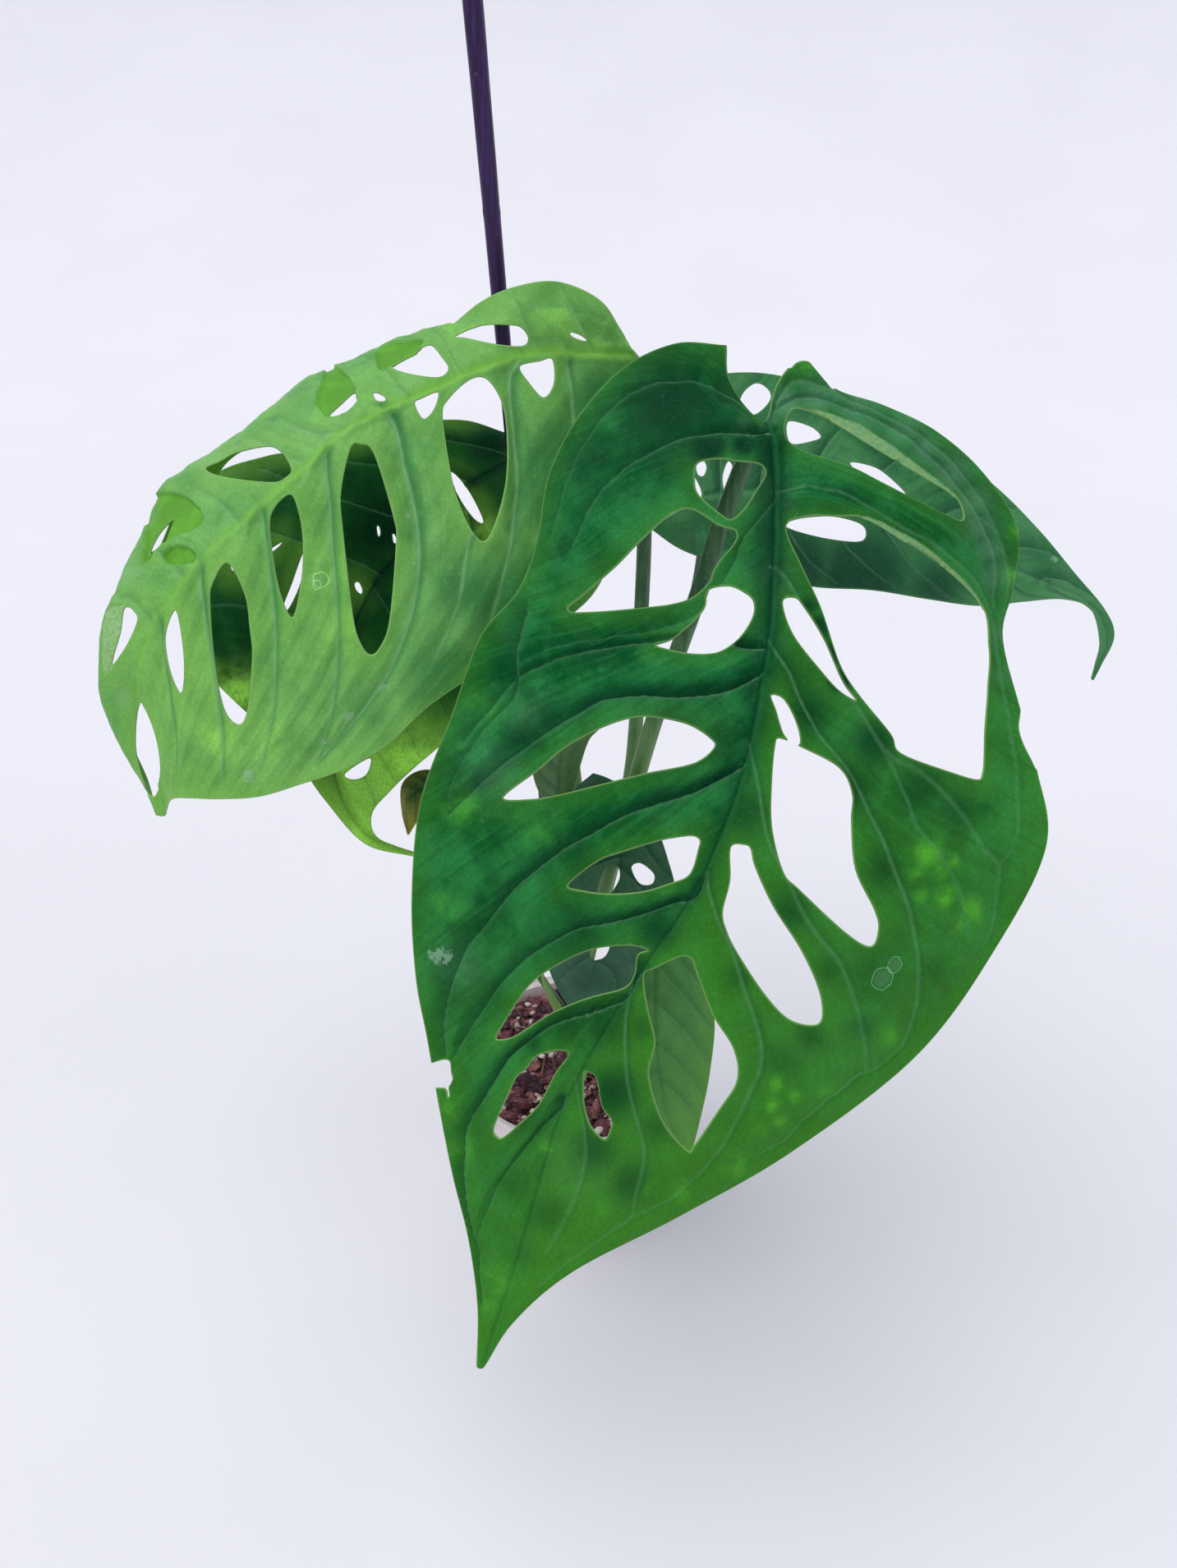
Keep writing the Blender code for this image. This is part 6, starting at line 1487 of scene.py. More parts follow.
class MONSTERA_OT_stalks(bpy.types.Operator):
    """Build the stem, the leaf stalks, the aerial roots and the young shoot"""
    bl_idname = "monstera.build_stalks"
    bl_label = "Stem and stalks"

    def execute(self, context):
        """The skins are given as main colour, stripe, spot and roughness."""
        green, pale, brown = (stalk_material(*skin) for skin in STALK_SKINS)
        for name, thin, thick, route in PETIOLES:
            self.petiole(name, thin, thick, route, green)
        self.stem(green)
        for i, (radius, route) in enumerate(ROOTS):
            self.root(i, radius, route, brown)
        self.shoot(pale)
        return {"FINISHED"}

    def petiole(self, name, thin, thick, route, paint):
        """A stalk: a swollen joint under the blade, a channel along its upper side, and a flared sheath.

        Radius = route radius * (1 + joint + rings - channel + wings + ridge), where every part is a bell
        in the length along the stalk or in the angle from its channel, and the end closes as a dome.
        """
        columns, rows, seat = LEAVES[name][0], LEAVES[name][1], LEAVES[name][7]
        leaf = Leaf(columns, rows)
        spot = np.array([[seat, 0.0]])
        root, out = leaf.place(spot)[0], -leaf.face(spot)[0]
        start = root + out * SEAT_GAP
        control = np.vstack([start, root + out * GENICULUM, seen(route)])
        share = np.linspace(0.0, 1.0, len(control))
        radii = thin + (thick - thin) * share
        radii[0] = thin * 0.8
        path = evenly(pulled_curve(np.hstack([control, radii[:, None]]), 24), 0.0011)
        along_radius = path[:, 3][:, None]

        def from_channel(angle):
            return np.abs((angle - CHANNEL_ANGLE + math.pi) % (2 * math.pi) - math.pi)

        def radius_of(part, angle, run):
            joint = 0.16 * bell(run - 0.012, 0.009)
            rings = 0.018 * np.sin(run * 5200.0) * bell(run - 0.014, 0.008)
            turn = from_channel(angle)
            channel = 0.13 * bell(turn, 0.42) * np.clip(run / 0.03, 0.0, 1.0)
            wings = 0.10 * bell(turn - 0.72, 0.22) * np.clip((part - 0.45) * 3.0, 0.0, 1.0)
            ridge = 0.012 * np.sin(angle * 9.0 + 3.0 * part)
            dome = np.sqrt(np.clip(1.0 - (1.0 - np.clip(run / 0.0012, 0.0, 1.0)) ** 2, 0.05, 1.0))
            return along_radius * (1.0 + joint + rings - channel + wings + ridge) * dome

        rings = swept(path[:, :3], radius_of, 24)
        run = np.linspace(0.0, 1.0, len(rings))[:, None]
        length = np.linalg.norm(np.diff(path[:, :3], axis=0), axis=1).sum()
        dark = 0.45 * bell(run * length - 0.012, 0.008)
        # Painted shade along the channel.
        groove = bell(from_channel(full_turn(24)[None, :]), 0.35)
        add_stalk("stalk_of_" + name, rings, paint, dark, groove)

    def stem(self, paint):
        """The short stem: the profile of its radii with swollen nodes and ragged leaf scars."""
        rows, around = 120, 48
        part = np.linspace(0.0, 1.0, rows)
        radius = np.interp(part, [share for share, _ in STEM_RADII], [r for _, r in STEM_RADII])
        tall = (STEM_FOOT + (STEM_TOP - STEM_FOOT) * part)[:, None]
        wrap = full_turn(around)[None, :]
        scars = np.zeros((rows, around))
        for level, turn in LEAF_SCARS:
            scars += bell(tall - (level + 0.0016 * np.cos(wrap - turn)), 0.00045)
        bulge = 1.0 + 0.07 * scars + 0.03 * np.sin(3.0 * wrap + tall * 300.0)
        bulge += 0.015 * np.sin(7.0 * wrap - tall * 900.0)
        full = radius[:, None] * bulge
        rings = np.stack([full * np.cos(wrap), full * np.sin(wrap), tall + 0.0 * wrap], axis=2)
        add_stalk("stem_crown", rings, paint, 0.7 * scars, 0.3 * scars)

    def root(self, index, radius, route, paint):
        """An aerial root: a thin tapering tube with small knots, its end in the mix."""
        path = evenly(pulled_curve(seen(route), 20), 0.0006)

        def radius_of(part, angle, run):
            knots = 0.10 * np.sin(run * 2600.0 + index) + 0.06 * np.sin(3.0 * angle + run * 1500.0)
            return radius * (1.25 - 0.75 * part ** 2) * (1.0 + knots)

        rings = swept(path, radius_of, 14, (0.2, 1.0, 0.3))
        add_stalk("aerial_root_%d" % (index + 1), rings, paint)

    def shoot(self, paint):
        """A young rolled shoot beside the stem, its radius falling to a point."""
        path = evenly(pulled_curve(seen(SHOOT), 20), 0.0005)

        def radius_of(part, angle, run):
            roll = 0.10 * bell(angle - 3.0 - 2.0 * part, 0.3)
            fall = 0.0024 * (0.35 + 0.65 * (1.0 - part ** 1.6))
            return fall * np.sqrt(np.clip(1.02 - part ** 8, 0.02, 1.0)) * (1.0 + roll)

        add_stalk("young_shoot", swept(path, radius_of, 18), paint, extra=True)


def pot_slope():
    """How much the pot's wall widens for each metre of height."""
    return (POT_RIM_RADIUS - RIM_BAND_STEP - POT_BASE_RADIUS) / POT_HEIGHT


def pot_profile():
    """The pot's wall as one line of (radius, height): up the outside, over the rim, and down the inside."""
    slope = pot_slope()
    inner = POT_BASE_RADIUS - POT_WALL
    band = POT_HEIGHT - RIM_BAND
    low = np.linspace(0.0016, band - 0.0016, 40)
    rib = RIB_HEIGHT * bell(low - 0.0100, 0.0006) + RIB_HEIGHT * bell(low - 0.0550, 0.0006)
    line = [(POT_BASE_RADIUS - 0.0010, 0.0), (POT_BASE_RADIUS - 0.0003, 0.0002),
            (POT_BASE_RADIUS + 0.0002, 0.0008)]
    line += list(zip(POT_BASE_RADIUS + slope * low + rib, low))
    at_band = POT_BASE_RADIUS + slope * band
    line += [(at_band, band - 0.0008), (at_band + 0.0003, band - 0.0004),
             (POT_RIM_RADIUS - 0.0010, band - 0.0002), (POT_RIM_RADIUS - 0.0005, band + 0.0001),
             (POT_RIM_RADIUS - 0.0003, band + 0.0006)]
    line += [(POT_RIM_RADIUS - 0.0003 + 0.0003 * t, band + 0.0006 + (0.0108 - 0.0006) * t)
             for t in np.linspace(0.1, 1.0, 10)]
    line += [(POT_RIM_RADIUS - LIP + LIP * math.cos(t), POT_HEIGHT - LIP + LIP * math.sin(t))
             for t in np.linspace(0.2, math.pi - 0.1, 9)]
    tall = np.linspace(POT_HEIGHT - 0.0018, POT_FLOOR + 0.0012, 30)
    line += list(zip(inner + slope * (tall - POT_FLOOR), tall))
    return np.array(line + [(inner - 0.0002, POT_FLOOR + 0.0004), (inner - 0.0008, POT_FLOOR)])


class MONSTERA_OT_pot(bpy.types.Operator):
    """Build the tapered nursery pot with its rim band and drain holes"""
    bl_idname = "monstera.build_pot"
    bl_label = "Pot"

    def execute(self, context):
        """The wall is a turned profile; the floor is two cut discs joined through the drain holes."""
        around, round_hole = 160, 28
        profile = pot_profile()
        angle = full_turn(around)
        circle = np.stack([np.cos(angle), np.sin(angle)], axis=1)
        tall = np.broadcast_to(profile[:, 1][:, None, None], (len(profile), around, 1))
        wide = profile[:, 0][:, None, None] * circle
        wall, faces = grid_body(np.concatenate([wide, tall], axis=2), False, False)
        points, parts, hole_starts = [wall], faces, []
        count = len(wall)
        middles = full_turn(DRAIN_COUNT)
        middles = DRAIN_RING * np.stack([np.cos(middles), np.sin(middles)], axis=1)
        wrap = full_turn(round_hole)
        drain = DRAIN_RADIUS * np.stack([np.cos(wrap), np.sin(wrap)], axis=1)
        here = np.arange(round_hole)
        onward = (here + 1) % round_hole
        for level, radius, upward in ((0.0, profile[0, 0], False), (POT_FLOOR, profile[-1, 0], True)):
            rings = [radius * circle] + [middle + drain for middle in middles]
            sides = [np.stack([np.arange(around), (np.arange(around) + 1) % around], axis=1)]
            sides += [around + round_hole * i + np.stack([here, onward], axis=1) for i in range(DRAIN_COUNT)]
            spots, triangles, _ = triangulated(np.vstack(rings), sides)
            triangles = cut_out(spots, triangles, rings)
            points.append(np.hstack([spots, np.full((len(spots), 1), level)]))
            parts.append((triangles if upward else triangles[:, ::-1]) + count)
            hole_starts.append(count + around)
            count += len(spots)
        for i in range(DRAIN_COUNT):
            below, above = (start + round_hole * i for start in hole_starts)
            parts.append(np.stack([below + here, above + here, above + onward, below + onward], axis=1))
        pot = add_surface("nursery_pot", np.vstack(points), parts, self.material(context))
        body = bmesh.new()
        body.from_mesh(pot.data)
        bmesh.ops.remove_doubles(body, verts=body.verts, dist=0.00001)
        bmesh.ops.recalc_face_normals(body, faces=body.faces)
        body.to_mesh(pot.data)
        body.free()
        pot.data.set_sharp_from_angle(angle=math.radians(50.0))
        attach(pot, "root")
        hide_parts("pot")
        return {"FINISHED"}

    def material(self, context):
        """Pale plastic with a faint mould grain, and a dusty stain that thins out away from the rim."""
        colour = context.scene.monstera_ground.pot_colour
        paint, tree, shader, (add, math_node, mix, noise, ramp) = new_material("pot_plastic")
        where = add("ShaderNodeTexCoord").outputs["Object"]
        high = add("ShaderNodeSeparateXYZ", {0: where}).outputs[2]
        cloud = noise(where, 45.0, 4.0, 0.6)
        long = add("ShaderNodeMapping", {"Vector": where, "Scale": (1.0, 1.0, 0.12)}).outputs[0]
        streak = noise(long, 160.0, 3.0, 0.6)
        body = mix(ramp(cloud, 0.35, 0.7), rgba(colour), rgba(colour, 0.90))
        dust = math_node("MULTIPLY", ramp(streak, 0.50, 0.75), ramp(high, 0.045, 0.082))
        body = mix(math_node("MULTIPLY", dust, 0.45), body, (0.34, 0.22, 0.17, 1.0))
        low = math_node("SUBTRACT", 1.0, ramp(high, 0.0, 0.012))
        stain = math_node("MULTIPLY", math_node("MULTIPLY", low, cloud), 0.5)
        body = mix(stain, body, (0.42, 0.34, 0.30, 1.0))
        speck = noise(where, 900.0, 2.0, 0.5)
        body = mix(math_node("MULTIPLY", ramp(speck, 0.67, 0.72), 0.5), body, (0.30, 0.20, 0.16, 1.0))
        tree.links.new(body, shader.inputs["Base Color"])
        gloss = add("ShaderNodeMapRange", {0: cloud, 1: 0.3, 2: 0.7, 3: 0.34, 4: 0.52}).outputs[0]
        tree.links.new(gloss, shader.inputs["Roughness"])
        grain = noise(where, 1400.0, 1.0, 0.5)
        bump = add("ShaderNodeBump", {"Strength": 0.12, "Distance": 0.0001, "Height": grain})
        tree.links.new(bump.outputs[0], shader.inputs["Normal"])
        return paint


def ball(cuts):
    """Points and triangles of a small ball made of even triangles."""
    body = bmesh.new()
    bmesh.ops.create_icosphere(body, subdivisions=cuts, radius=1.0)
    mesh = bpy.data.meshes.new("ball")
    body.to_mesh(mesh)
    body.free()
    points = np.zeros(len(mesh.vertices) * 3)
    faces = np.zeros(len(mesh.loops), dtype=np.int32)
    mesh.vertices.foreach_get("co", points)
    mesh.loops.foreach_get("vertex_index", faces)
    bpy.data.meshes.remove(mesh)
    return points.reshape(-1, 3), faces.reshape(-1, 3)


def turns(random, count, tilt):
    """Turning matrices: a full random turn about Z after random tilts about X and Y."""
    def matrices(*cells):
        return np.stack(cells, axis=1).reshape(-1, 3, 3)

    a = random.uniform(-tilt, tilt, count)
    b = random.uniform(-tilt, tilt, count)
    c = random.uniform(0.0, 2.0 * math.pi, count)
    one, nil = np.ones(count), np.zeros(count)
    tilt_x = matrices(one, nil, nil, nil, np.cos(a), -np.sin(a), nil, np.sin(a), np.cos(a))
    tilt_y = matrices(np.cos(b), nil, np.sin(b), nil, one, nil, -np.sin(b), nil, np.cos(b))
    turn_z = matrices(np.cos(c), -np.sin(c), nil, np.sin(c), np.cos(c), nil, nil, nil, one)
    return turn_z @ tilt_y @ tilt_x


def scattered(random, count, sizes, lumpy, tilt, height):
    """Many small stones on the mix: a ball, stretched, made lumpy, turned and set down, all as arrays."""
    shape, faces = ball(2)
    spread = np.sqrt(random.uniform(0.0, 1.0, count)) * (MIX_RADIUS - 0.0035)
    turn = random.uniform(0.0, 2.0 * math.pi, count)
    places = np.stack([spread * np.cos(turn), spread * np.sin(turn)], axis=1)
    size = random.uniform(sizes[0], sizes[1], (count, 1, 1))
    size = size * (0.5 + 0.5 * random.uniform(0.0, 1.0, (count, 1, 1)))
    stretch = np.stack([random.uniform(0.8, 1.5, count), random.uniform(0.6, 1.0, count),
                        random.uniform(0.35, 0.85, count)], axis=1)[:, None, :]
    wobble = 1.0 + random.normal(0.0, lumpy, (count, len(shape), 1))
    stones = shape[None] * wobble * stretch * size
    stones = np.einsum("nij,nkj->nki", turns(random, count, tilt), stones)
    lift = MIX_TOP + random.uniform(height[0], height[1], count)
    stones += np.concatenate([places, lift[:, None]], axis=1)[:, None, :]
    foot, top = np.array(CANE_FOOT), np.array(CANE_TOP)
    at = foot + (top - foot) * (MIX_TOP - foot[2]) / (top[2] - foot[2])
    keep = np.hypot(places[:, 0], places[:, 1]) > CLEAR_OF_STEM
    keep &= np.hypot(places[:, 0] - at[0], places[:, 1] - at[1]) > CLEAR_OF_CANE
    stones = stones[keep]
    shade = random.uniform(0.0, 1.0, (keep.sum(), 4))
    each = len(shape)
    all_faces = (faces[None] + (np.arange(len(stones)) * each)[:, None, None]).reshape(-1, 3)
    return stones.reshape(-1, 3), all_faces, np.repeat(shade, each, axis=0)


class MONSTERA_OT_mix(bpy.types.Operator):
    """Build the bark mix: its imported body, chips, pale grains and fibres"""
    bl_idname = "monstera.build_mix"
    bl_label = "Bark mix"

    def execute(self, context):
        """Chips and grains are scattered by: sizes, lumpiness, tilt, and height over the mix."""
        settings = context.scene.monstera_ground
        random = np.random.default_rng(11)
        bark = self.crumb("bark_chips_skin", settings.bark_colour, (0.40, 0.17, 0.17),
                          (0.022, 0.006, 0.022), 0.9)
        pumice = self.crumb("pumice_skin", (0.72, 0.64, 0.60), (0.85, 0.80, 0.78), (0.45, 0.34, 0.32), 0.9)
        fibre = self.crumb("fibre_skin", (0.16, 0.09, 0.05), (0.30, 0.19, 0.10), (0.07, 0.04, 0.03), 0.8)
        self.body(bark)
        for name, paint, *kind in (
                ("bark_chips", bark, settings.bark_count, (0.0020, 0.0052), 0.13, 0.8, (-0.0012, 0.0016)),
                ("pumice_grains", pumice, settings.pumice_count, (0.0010, 0.0027), 0.06, 0.6,
                 (0.0002, 0.0026))):
            points, faces, shade = scattered(random, *kind)
            self.keep(add_surface(name, points, (faces,), paint, shade=shade), paint is bark)
        self.fibres(random, settings.fibre_count, fibre)
        return {"FINISHED"}

    def keep(self, thing, flat=False):
        """The piece rides on the pot's body and stands for the mix; a flat one has sharp edges."""
        if flat:
            thing.data.set_sharp_from_angle(angle=math.radians(24.0))
        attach(thing, "root")
        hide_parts("soil")

    def body(self, paint):
        """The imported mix: rings of points from the middle of the top to the wall, down and back below."""
        around = 120
        base = POT_BASE_RADIUS - POT_WALL - 0.0006
        top = base + pot_slope() * (MIX_TOP - MIX_FLOOR)
        spread = np.linspace(0.02, 1.0, 56) * top
        angle = full_turn(around)
        x, y = spread[:, None] * np.cos(angle), spread[:, None] * np.sin(angle)
        rough = np.sin(x * 420 + 1.3) * np.sin(y * 390 + 0.4) + 0.6 * np.sin(x * 760 + y * 540)
        rough += 0.5 * np.sin(x * 1500 - y * 900 + 1.0) * np.sin(y * 1700 + 0.5)
        edge = np.clip((top - spread[:, None]) / 0.002, 0.0, 1.0)
        upper = np.stack([x, y, MIX_TOP - ROUGHNESS + ROUGHNESS * rough * edge], axis=2)
        down = np.linspace(0.0, 1.0, 12)[1:]
        radius = (top + (base - top) * down)[:, None]
        tall = MIX_TOP - ROUGHNESS + (MIX_FLOOR - MIX_TOP + ROUGHNESS) * down
        wall = np.stack([radius * np.cos(angle), radius * np.sin(angle),
                         np.broadcast_to(tall[:, None], (len(down), around))], axis=2)
        points, faces = grid_body(np.concatenate([upper, wall])[::-1])
        shade = np.random.default_rng(5).uniform(0.0, 1.0, (len(points), 4))
        self.keep(add_surface("bark_mix_body", points, faces, paint, shade=shade))

    def fibres(self, random, count, paint):
        """Thin bent fibres lying on the chips: tubes whose middle lines are flat arcs, as one array."""
        rows, around = 14, 6
        part = np.linspace(-1.0, 1.0, rows)[None, :]
        length = random.uniform(0.004, 0.012, count)[:, None]
        bend = random.uniform(-0.5, 0.5, count)[:, None]
        turn = random.uniform(0.0, 2.0 * math.pi, count)[:, None]
        spread = np.sqrt(random.uniform(0.05, 0.85, count))[:, None] * (MIX_RADIUS - 0.009)
        angle = random.uniform(0.0, 2.0 * math.pi, count)[:, None]
        along, across = part * length, bend * length * part ** 2
        x = spread * np.cos(angle) + along * np.cos(turn) - across * np.sin(turn)
        y = spread * np.sin(angle) + along * np.sin(turn) + across * np.cos(turn)
        z = MIX_TOP + 0.0030 + 0.0012 * np.sin(part * 2.0 + angle) + 0.0 * x
        line = np.stack([x, y, z], axis=2)
        slope = np.gradient(line, axis=1)
        slope /= np.linalg.norm(slope, axis=2)[..., None]
        side = np.cross(slope, (0.0, 0.0, 1.0))
        side /= np.linalg.norm(side, axis=2)[..., None]
        front = np.cross(slope, side)
        wrap = full_turn(around)
        thin = random.uniform(0.00016, 0.00042, count)[:, None]
        thin = thin * np.sqrt(np.clip(1.04 - part ** 6, 0.05, 1.0))
        ring = np.cos(wrap)[:, None] * side[:, :, None] + np.sin(wrap)[:, None] * front[:, :, None]
        tubes = line[:, :, None] + thin[:, :, None, None] * ring
        _, faces = grid_body(tubes[0])
        poles = np.stack([line[:, 0], line[:, -1]], axis=1)
        points = np.concatenate([tubes.reshape(count, -1, 3), poles], axis=1)
        each = points.shape[1]
        shift = (np.arange(count) * each)[:, None, None]
        shade = np.repeat(random.uniform(0.0, 1.0, (count, 4)), each, axis=0)
        parts = [(part_faces[None] + shift).reshape(-1, part_faces.shape[1]) for part_faces in faces]
        self.keep(add_surface("mix_fibres", points.reshape(-1, 3), parts, paint, shade=shade))

    def crumb(self, name, main, light, dark, rough):
        """Crumbly skin: each grain has its own shade, with flecks and dark pits."""
        paint, tree, shader, (add, math_node, mix, noise, ramp) = new_material(name)
        main, light, dark = rgba(main), rgba(light), rgba(dark)
        where = add("ShaderNodeTexCoord").outputs["Object"]
        shade = add("ShaderNodeAttribute", attribute_name="shade").outputs["Color"]
        own = add("ShaderNodeSeparateColor", {0: shade})
        cloud = noise(where, 700.0, 4.0, 0.65)
        body = mix(ramp(own.outputs[0], 0.0, 1.0), dark, main)
        body = mix(ramp(own.outputs[1], 0.55, 1.0), body, light)
        body = mix(math_node("MULTIPLY", ramp(cloud, 0.5, 0.75), 0.6), body, light)
        body = mix(math_node("MULTIPLY", ramp(cloud, 0.52, 0.30), 0.6), body, dark)
        tree.links.new(body, shader.inputs["Base Color"])
        shader.inputs["Roughness"].default_value = rough
        bump = add("ShaderNodeBump", {"Strength": 0.6, "Distance": 0.0003, "Height": cloud})
        tree.links.new(bump.outputs[0], shader.inputs["Normal"])
        return paint


class MONSTERA_OT_cane(bpy.types.Operator):
    """Build the dark support cane"""
    bl_idname = "monstera.build_cane"
    bl_label = "Cane"

    def execute(self, context):
        """A leaning rod: its radius follows the seen thickness, with faint joints and long flutes."""
        foot, top = np.array(CANE_FOOT), np.array(CANE_TOP)
        part = np.linspace(0.0, 1.0, 260)[2:-2]
        part = np.concatenate([np.linspace(0.0, 0.004, 5), part, np.linspace(0.994, 1.0, 8)])
        path = foot + (top - foot) * part[:, None]

        def radius_of(share, angle, run):
            radius = np.interp(share[:, 0], [s for s, _ in CANE_RADII], [r for _, r in CANE_RADII])[:, None]
            end = np.sqrt(np.clip(1.0 - np.clip((share - 0.9945) / 0.0056, 0.0, 1.0) ** 2, 0.02, 1.0))
            joint = sum(0.05 * bell(run - level, 0.0012) - 0.03 * bell(run - level - 0.0022, 0.0008)
                        for level in CANE_JOINTS)
            flute = 0.012 * np.sin(7.0 * angle + 9.0 * share) + 0.008 * np.sin(share * 90.0)
            return radius * (1.0 + joint + flute) * end

        points, faces = grid_body(swept(path, radius_of, 32))
        cane = add_surface("cane_rod", points, faces, self.material(context))
        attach(cane, "root")
        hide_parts("support_cane")
        return {"FINISHED"}

    def material(self, context):
        """Dark purple skin with streaks along it and pale worn flecks near the top."""
        colour = context.scene.monstera_ground.cane_colour
        paint, tree, shader, (add, math_node, mix, noise, ramp) = new_material("cane_skin")
        where = add("ShaderNodeTexCoord").outputs["Object"]
        high = add("ShaderNodeSeparateXYZ", {0: where}).outputs[2]
        long = add("ShaderNodeMapping", {"Vector": where, "Scale": (1.0, 1.0, 0.05)}).outputs[0]
        streak = noise(long, 900.0, 3.0, 0.6)
        body = mix(ramp(streak, 0.35, 0.70), rgba(colour), rgba(colour, 2.6))
        worn = noise(where, 260.0, 4.0, 0.7)
        more = math_node("ADD", math_node("MULTIPLY", ramp(high, 0.40, 0.50), 0.55), 0.12)
        body = mix(math_node("MULTIPLY", ramp(worn, 0.60, 0.70), more), body, (0.20, 0.15, 0.21, 1.0))
        low = math_node("SUBTRACT", 1.0, ramp(high, 0.075, 0.105))
        body = mix(math_node("MULTIPLY", low, 0.7), body, (0.10, 0.055, 0.045, 1.0))
        tree.links.new(body, shader.inputs["Base Color"])
        shader.inputs["Specular IOR Level"].default_value = 0.3
        gloss = add("ShaderNodeMapRange", {0: worn, 1: 0.3, 2: 0.7, 3: 0.30, 4: 0.55}).outputs[0]
        tree.links.new(gloss, shader.inputs["Roughness"])
        bump = add("ShaderNodeBump", {"Strength": 0.25, "Distance": 0.0002, "Height": streak})
        tree.links.new(bump.outputs[0], shader.inputs["Normal"])
        return paint


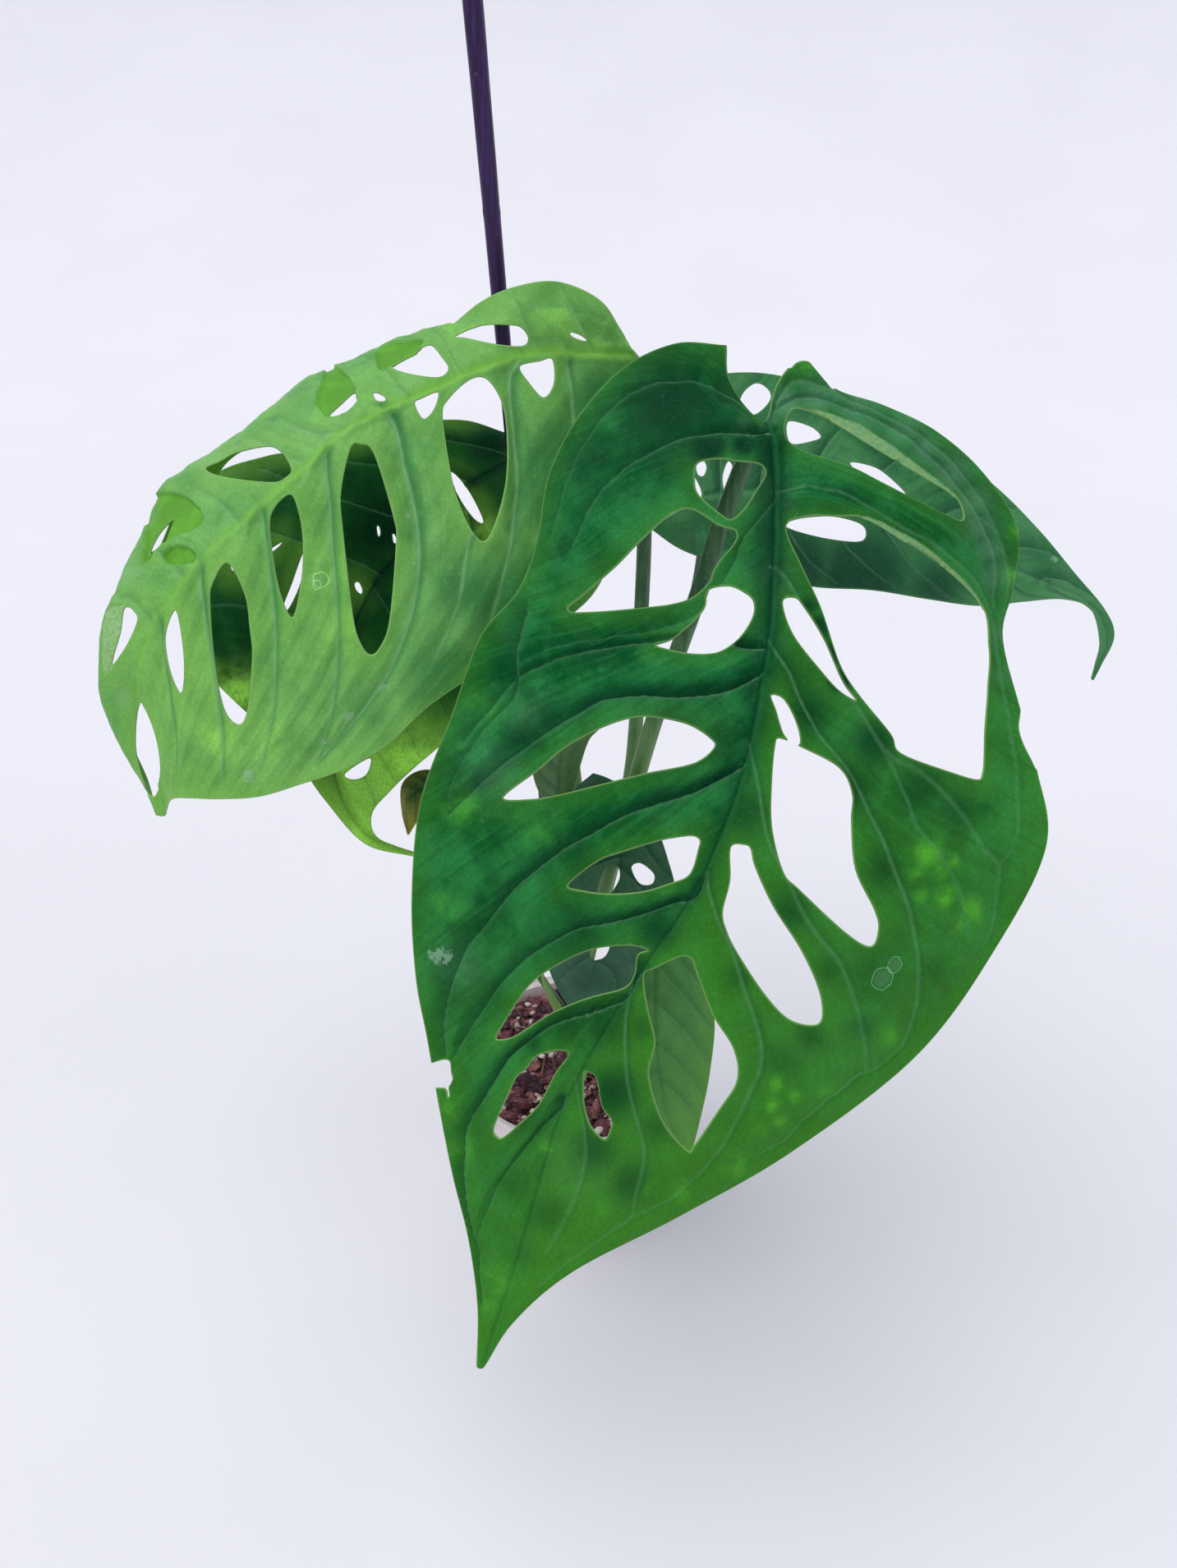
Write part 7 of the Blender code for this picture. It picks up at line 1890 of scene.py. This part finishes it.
class MONSTERA_OT_stage(bpy.types.Operator):
    """Build the floor, the soft lights and the camera"""
    bl_idname = "monstera.build_stage"
    bl_label = "Stage"

    def execute(self, context):
        """The camera stands at the eye that the cages are written for."""
        settings = context.scene.monstera_stage
        scene = context.scene
        scene.view_settings.view_transform = "Standard"
        self.floor(settings.floor_colour)
        world = bpy.data.worlds.new("soft_room")
        world.use_nodes = True
        sky = world.node_tree.nodes["Background"]
        sky.inputs[0].default_value = (0.88, 0.91, 1.0, 1.0)
        sky.inputs[1].default_value = settings.sky_strength
        scene.world = world
        self.sun("key_light", (-0.30, -0.22, 0.93), 55.0, settings.key_strength, (1.0, 0.98, 0.97))
        self.sun("fill_light", (0.55, -0.55, 0.62), 80.0, settings.fill_strength, (0.92, 0.97, 1.0))
        lens = bpy.data.cameras.new("eye")
        lens.sensor_fit = "AUTO"
        lens.sensor_width = 36.0
        lens.lens = FOCAL / PICTURE_LONG_SIDE * lens.sensor_width
        lens.clip_start = 0.01
        lens.clip_end = 60.0
        camera = bpy.data.objects.new("eye", lens)
        camera.location = EYE
        camera.rotation_euler = (math.pi / 2.0 - EYE_TILT, 0.0, 0.0)
        scene.collection.objects.link(camera)
        scene.camera = camera
        return {"FINISHED"}

    def floor(self, colour):
        """A flat floor that runs up a quarter round into a wall behind: y and z along it, x across."""
        paint, tree, shader, (add, _, mix, noise, ramp) = new_material("pale_floor")
        cloud = noise(add("ShaderNodeTexCoord").outputs["Object"], 3.0, 3.0, 0.5)
        body = mix(ramp(cloud, 0.3, 0.7), rgba(colour), rgba(colour, 0.97))
        tree.links.new(body, shader.inputs["Base Color"])
        shader.inputs["Roughness"].default_value = 0.75
        shader.inputs["Specular IOR Level"].default_value = 0.2
        count = 25
        level = np.linspace(-5.0, COVE_START, count)
        arc = np.linspace(0.0, math.pi / 2.0, count)[1:]
        wall = np.linspace(2.1, 8.0, 12)
        y = np.concatenate([level, COVE_START + COVE * np.sin(arc), np.full(len(wall), COVE_START + COVE)])
        z = np.concatenate([np.zeros(count), COVE - COVE * np.cos(arc), wall])
        wide, deep = np.meshgrid(np.linspace(-6.0, 6.0, count), y, indexing="ij")
        points = np.stack([wide.ravel(), deep.ravel(), np.broadcast_to(z, wide.shape).ravel()], axis=1)
        across = len(y)
        here = np.arange(count - 1)[:, None] * across + np.arange(across - 1)[None, :]
        quads = np.stack([here, here + across, here + across + 1, here + 1], axis=2).reshape(-1, 4)
        return add_surface("floor", points, (quads,), paint)

    def sun(self, name, towards, angle, strength, colour):
        """A wide soft light from far away; towards points from the plant to it."""
        light = bpy.data.lights.new(name, "SUN")
        light.angle = math.radians(angle)
        light.energy = strength
        light.color = colour
        thing = bpy.data.objects.new(name, light)
        thing.location = (0.0, 0.0, 2.0)
        thing.rotation_euler = (math.acos(towards[2] / math.hypot(*towards)), 0.0,
                                math.atan2(towards[1], towards[0]) + math.pi / 2.0)
        bpy.context.scene.collection.objects.link(thing)


class MONSTERA_PT_panel(bpy.types.Panel):
    """Sidebar panel with the settings and the building steps"""
    bl_idname = "MONSTERA_PT_panel"
    bl_label = "Potted monstera"
    bl_space_type = "VIEW_3D"
    bl_region_type = "UI"
    bl_category = "Monstera"

    def draw(self, context):
        for group in ("monstera_blades", "monstera_colours", "monstera_ground", "monstera_stage"):
            settings = getattr(context.scene, group)
            for key in settings.__annotations__:
                self.layout.prop(settings, key)
        for step in BUILD_STEPS:
            self.layout.operator(step.bl_idname)


SETTINGS = (BladeSettings, LeafColours, GroundSettings, StageSettings)
BUILD_STEPS = (MONSTERA_OT_blades, MONSTERA_OT_stalks, MONSTERA_OT_pot, MONSTERA_OT_mix, MONSTERA_OT_cane,
               MONSTERA_OT_stage)


def register():
    """Makes the settings, the steps and the panel known to Blender."""
    for part in SETTINGS + BUILD_STEPS + (MONSTERA_PT_panel,):
        bpy.utils.register_class(part)
    bpy.types.Scene.monstera_blades = PointerProperty(type=BladeSettings)
    bpy.types.Scene.monstera_colours = PointerProperty(type=LeafColours)
    bpy.types.Scene.monstera_ground = PointerProperty(type=GroundSettings)
    bpy.types.Scene.monstera_stage = PointerProperty(type=StageSettings)


def unregister():
    """Takes them away again."""
    for key in ("monstera_blades", "monstera_colours", "monstera_ground", "monstera_stage"):
        delattr(bpy.types.Scene, key)
    for part in reversed(SETTINGS + BUILD_STEPS + (MONSTERA_PT_panel,)):
        bpy.utils.unregister_class(part)


def main():
    """Builds every piece in order."""
    register()
    bpy.ops.monstera.build_blades()
    bpy.ops.monstera.build_stalks()
    bpy.ops.monstera.build_pot()
    bpy.ops.monstera.build_mix()
    bpy.ops.monstera.build_cane()
    bpy.ops.monstera.build_stage()
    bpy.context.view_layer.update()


if __name__ == "__main__":
    main()
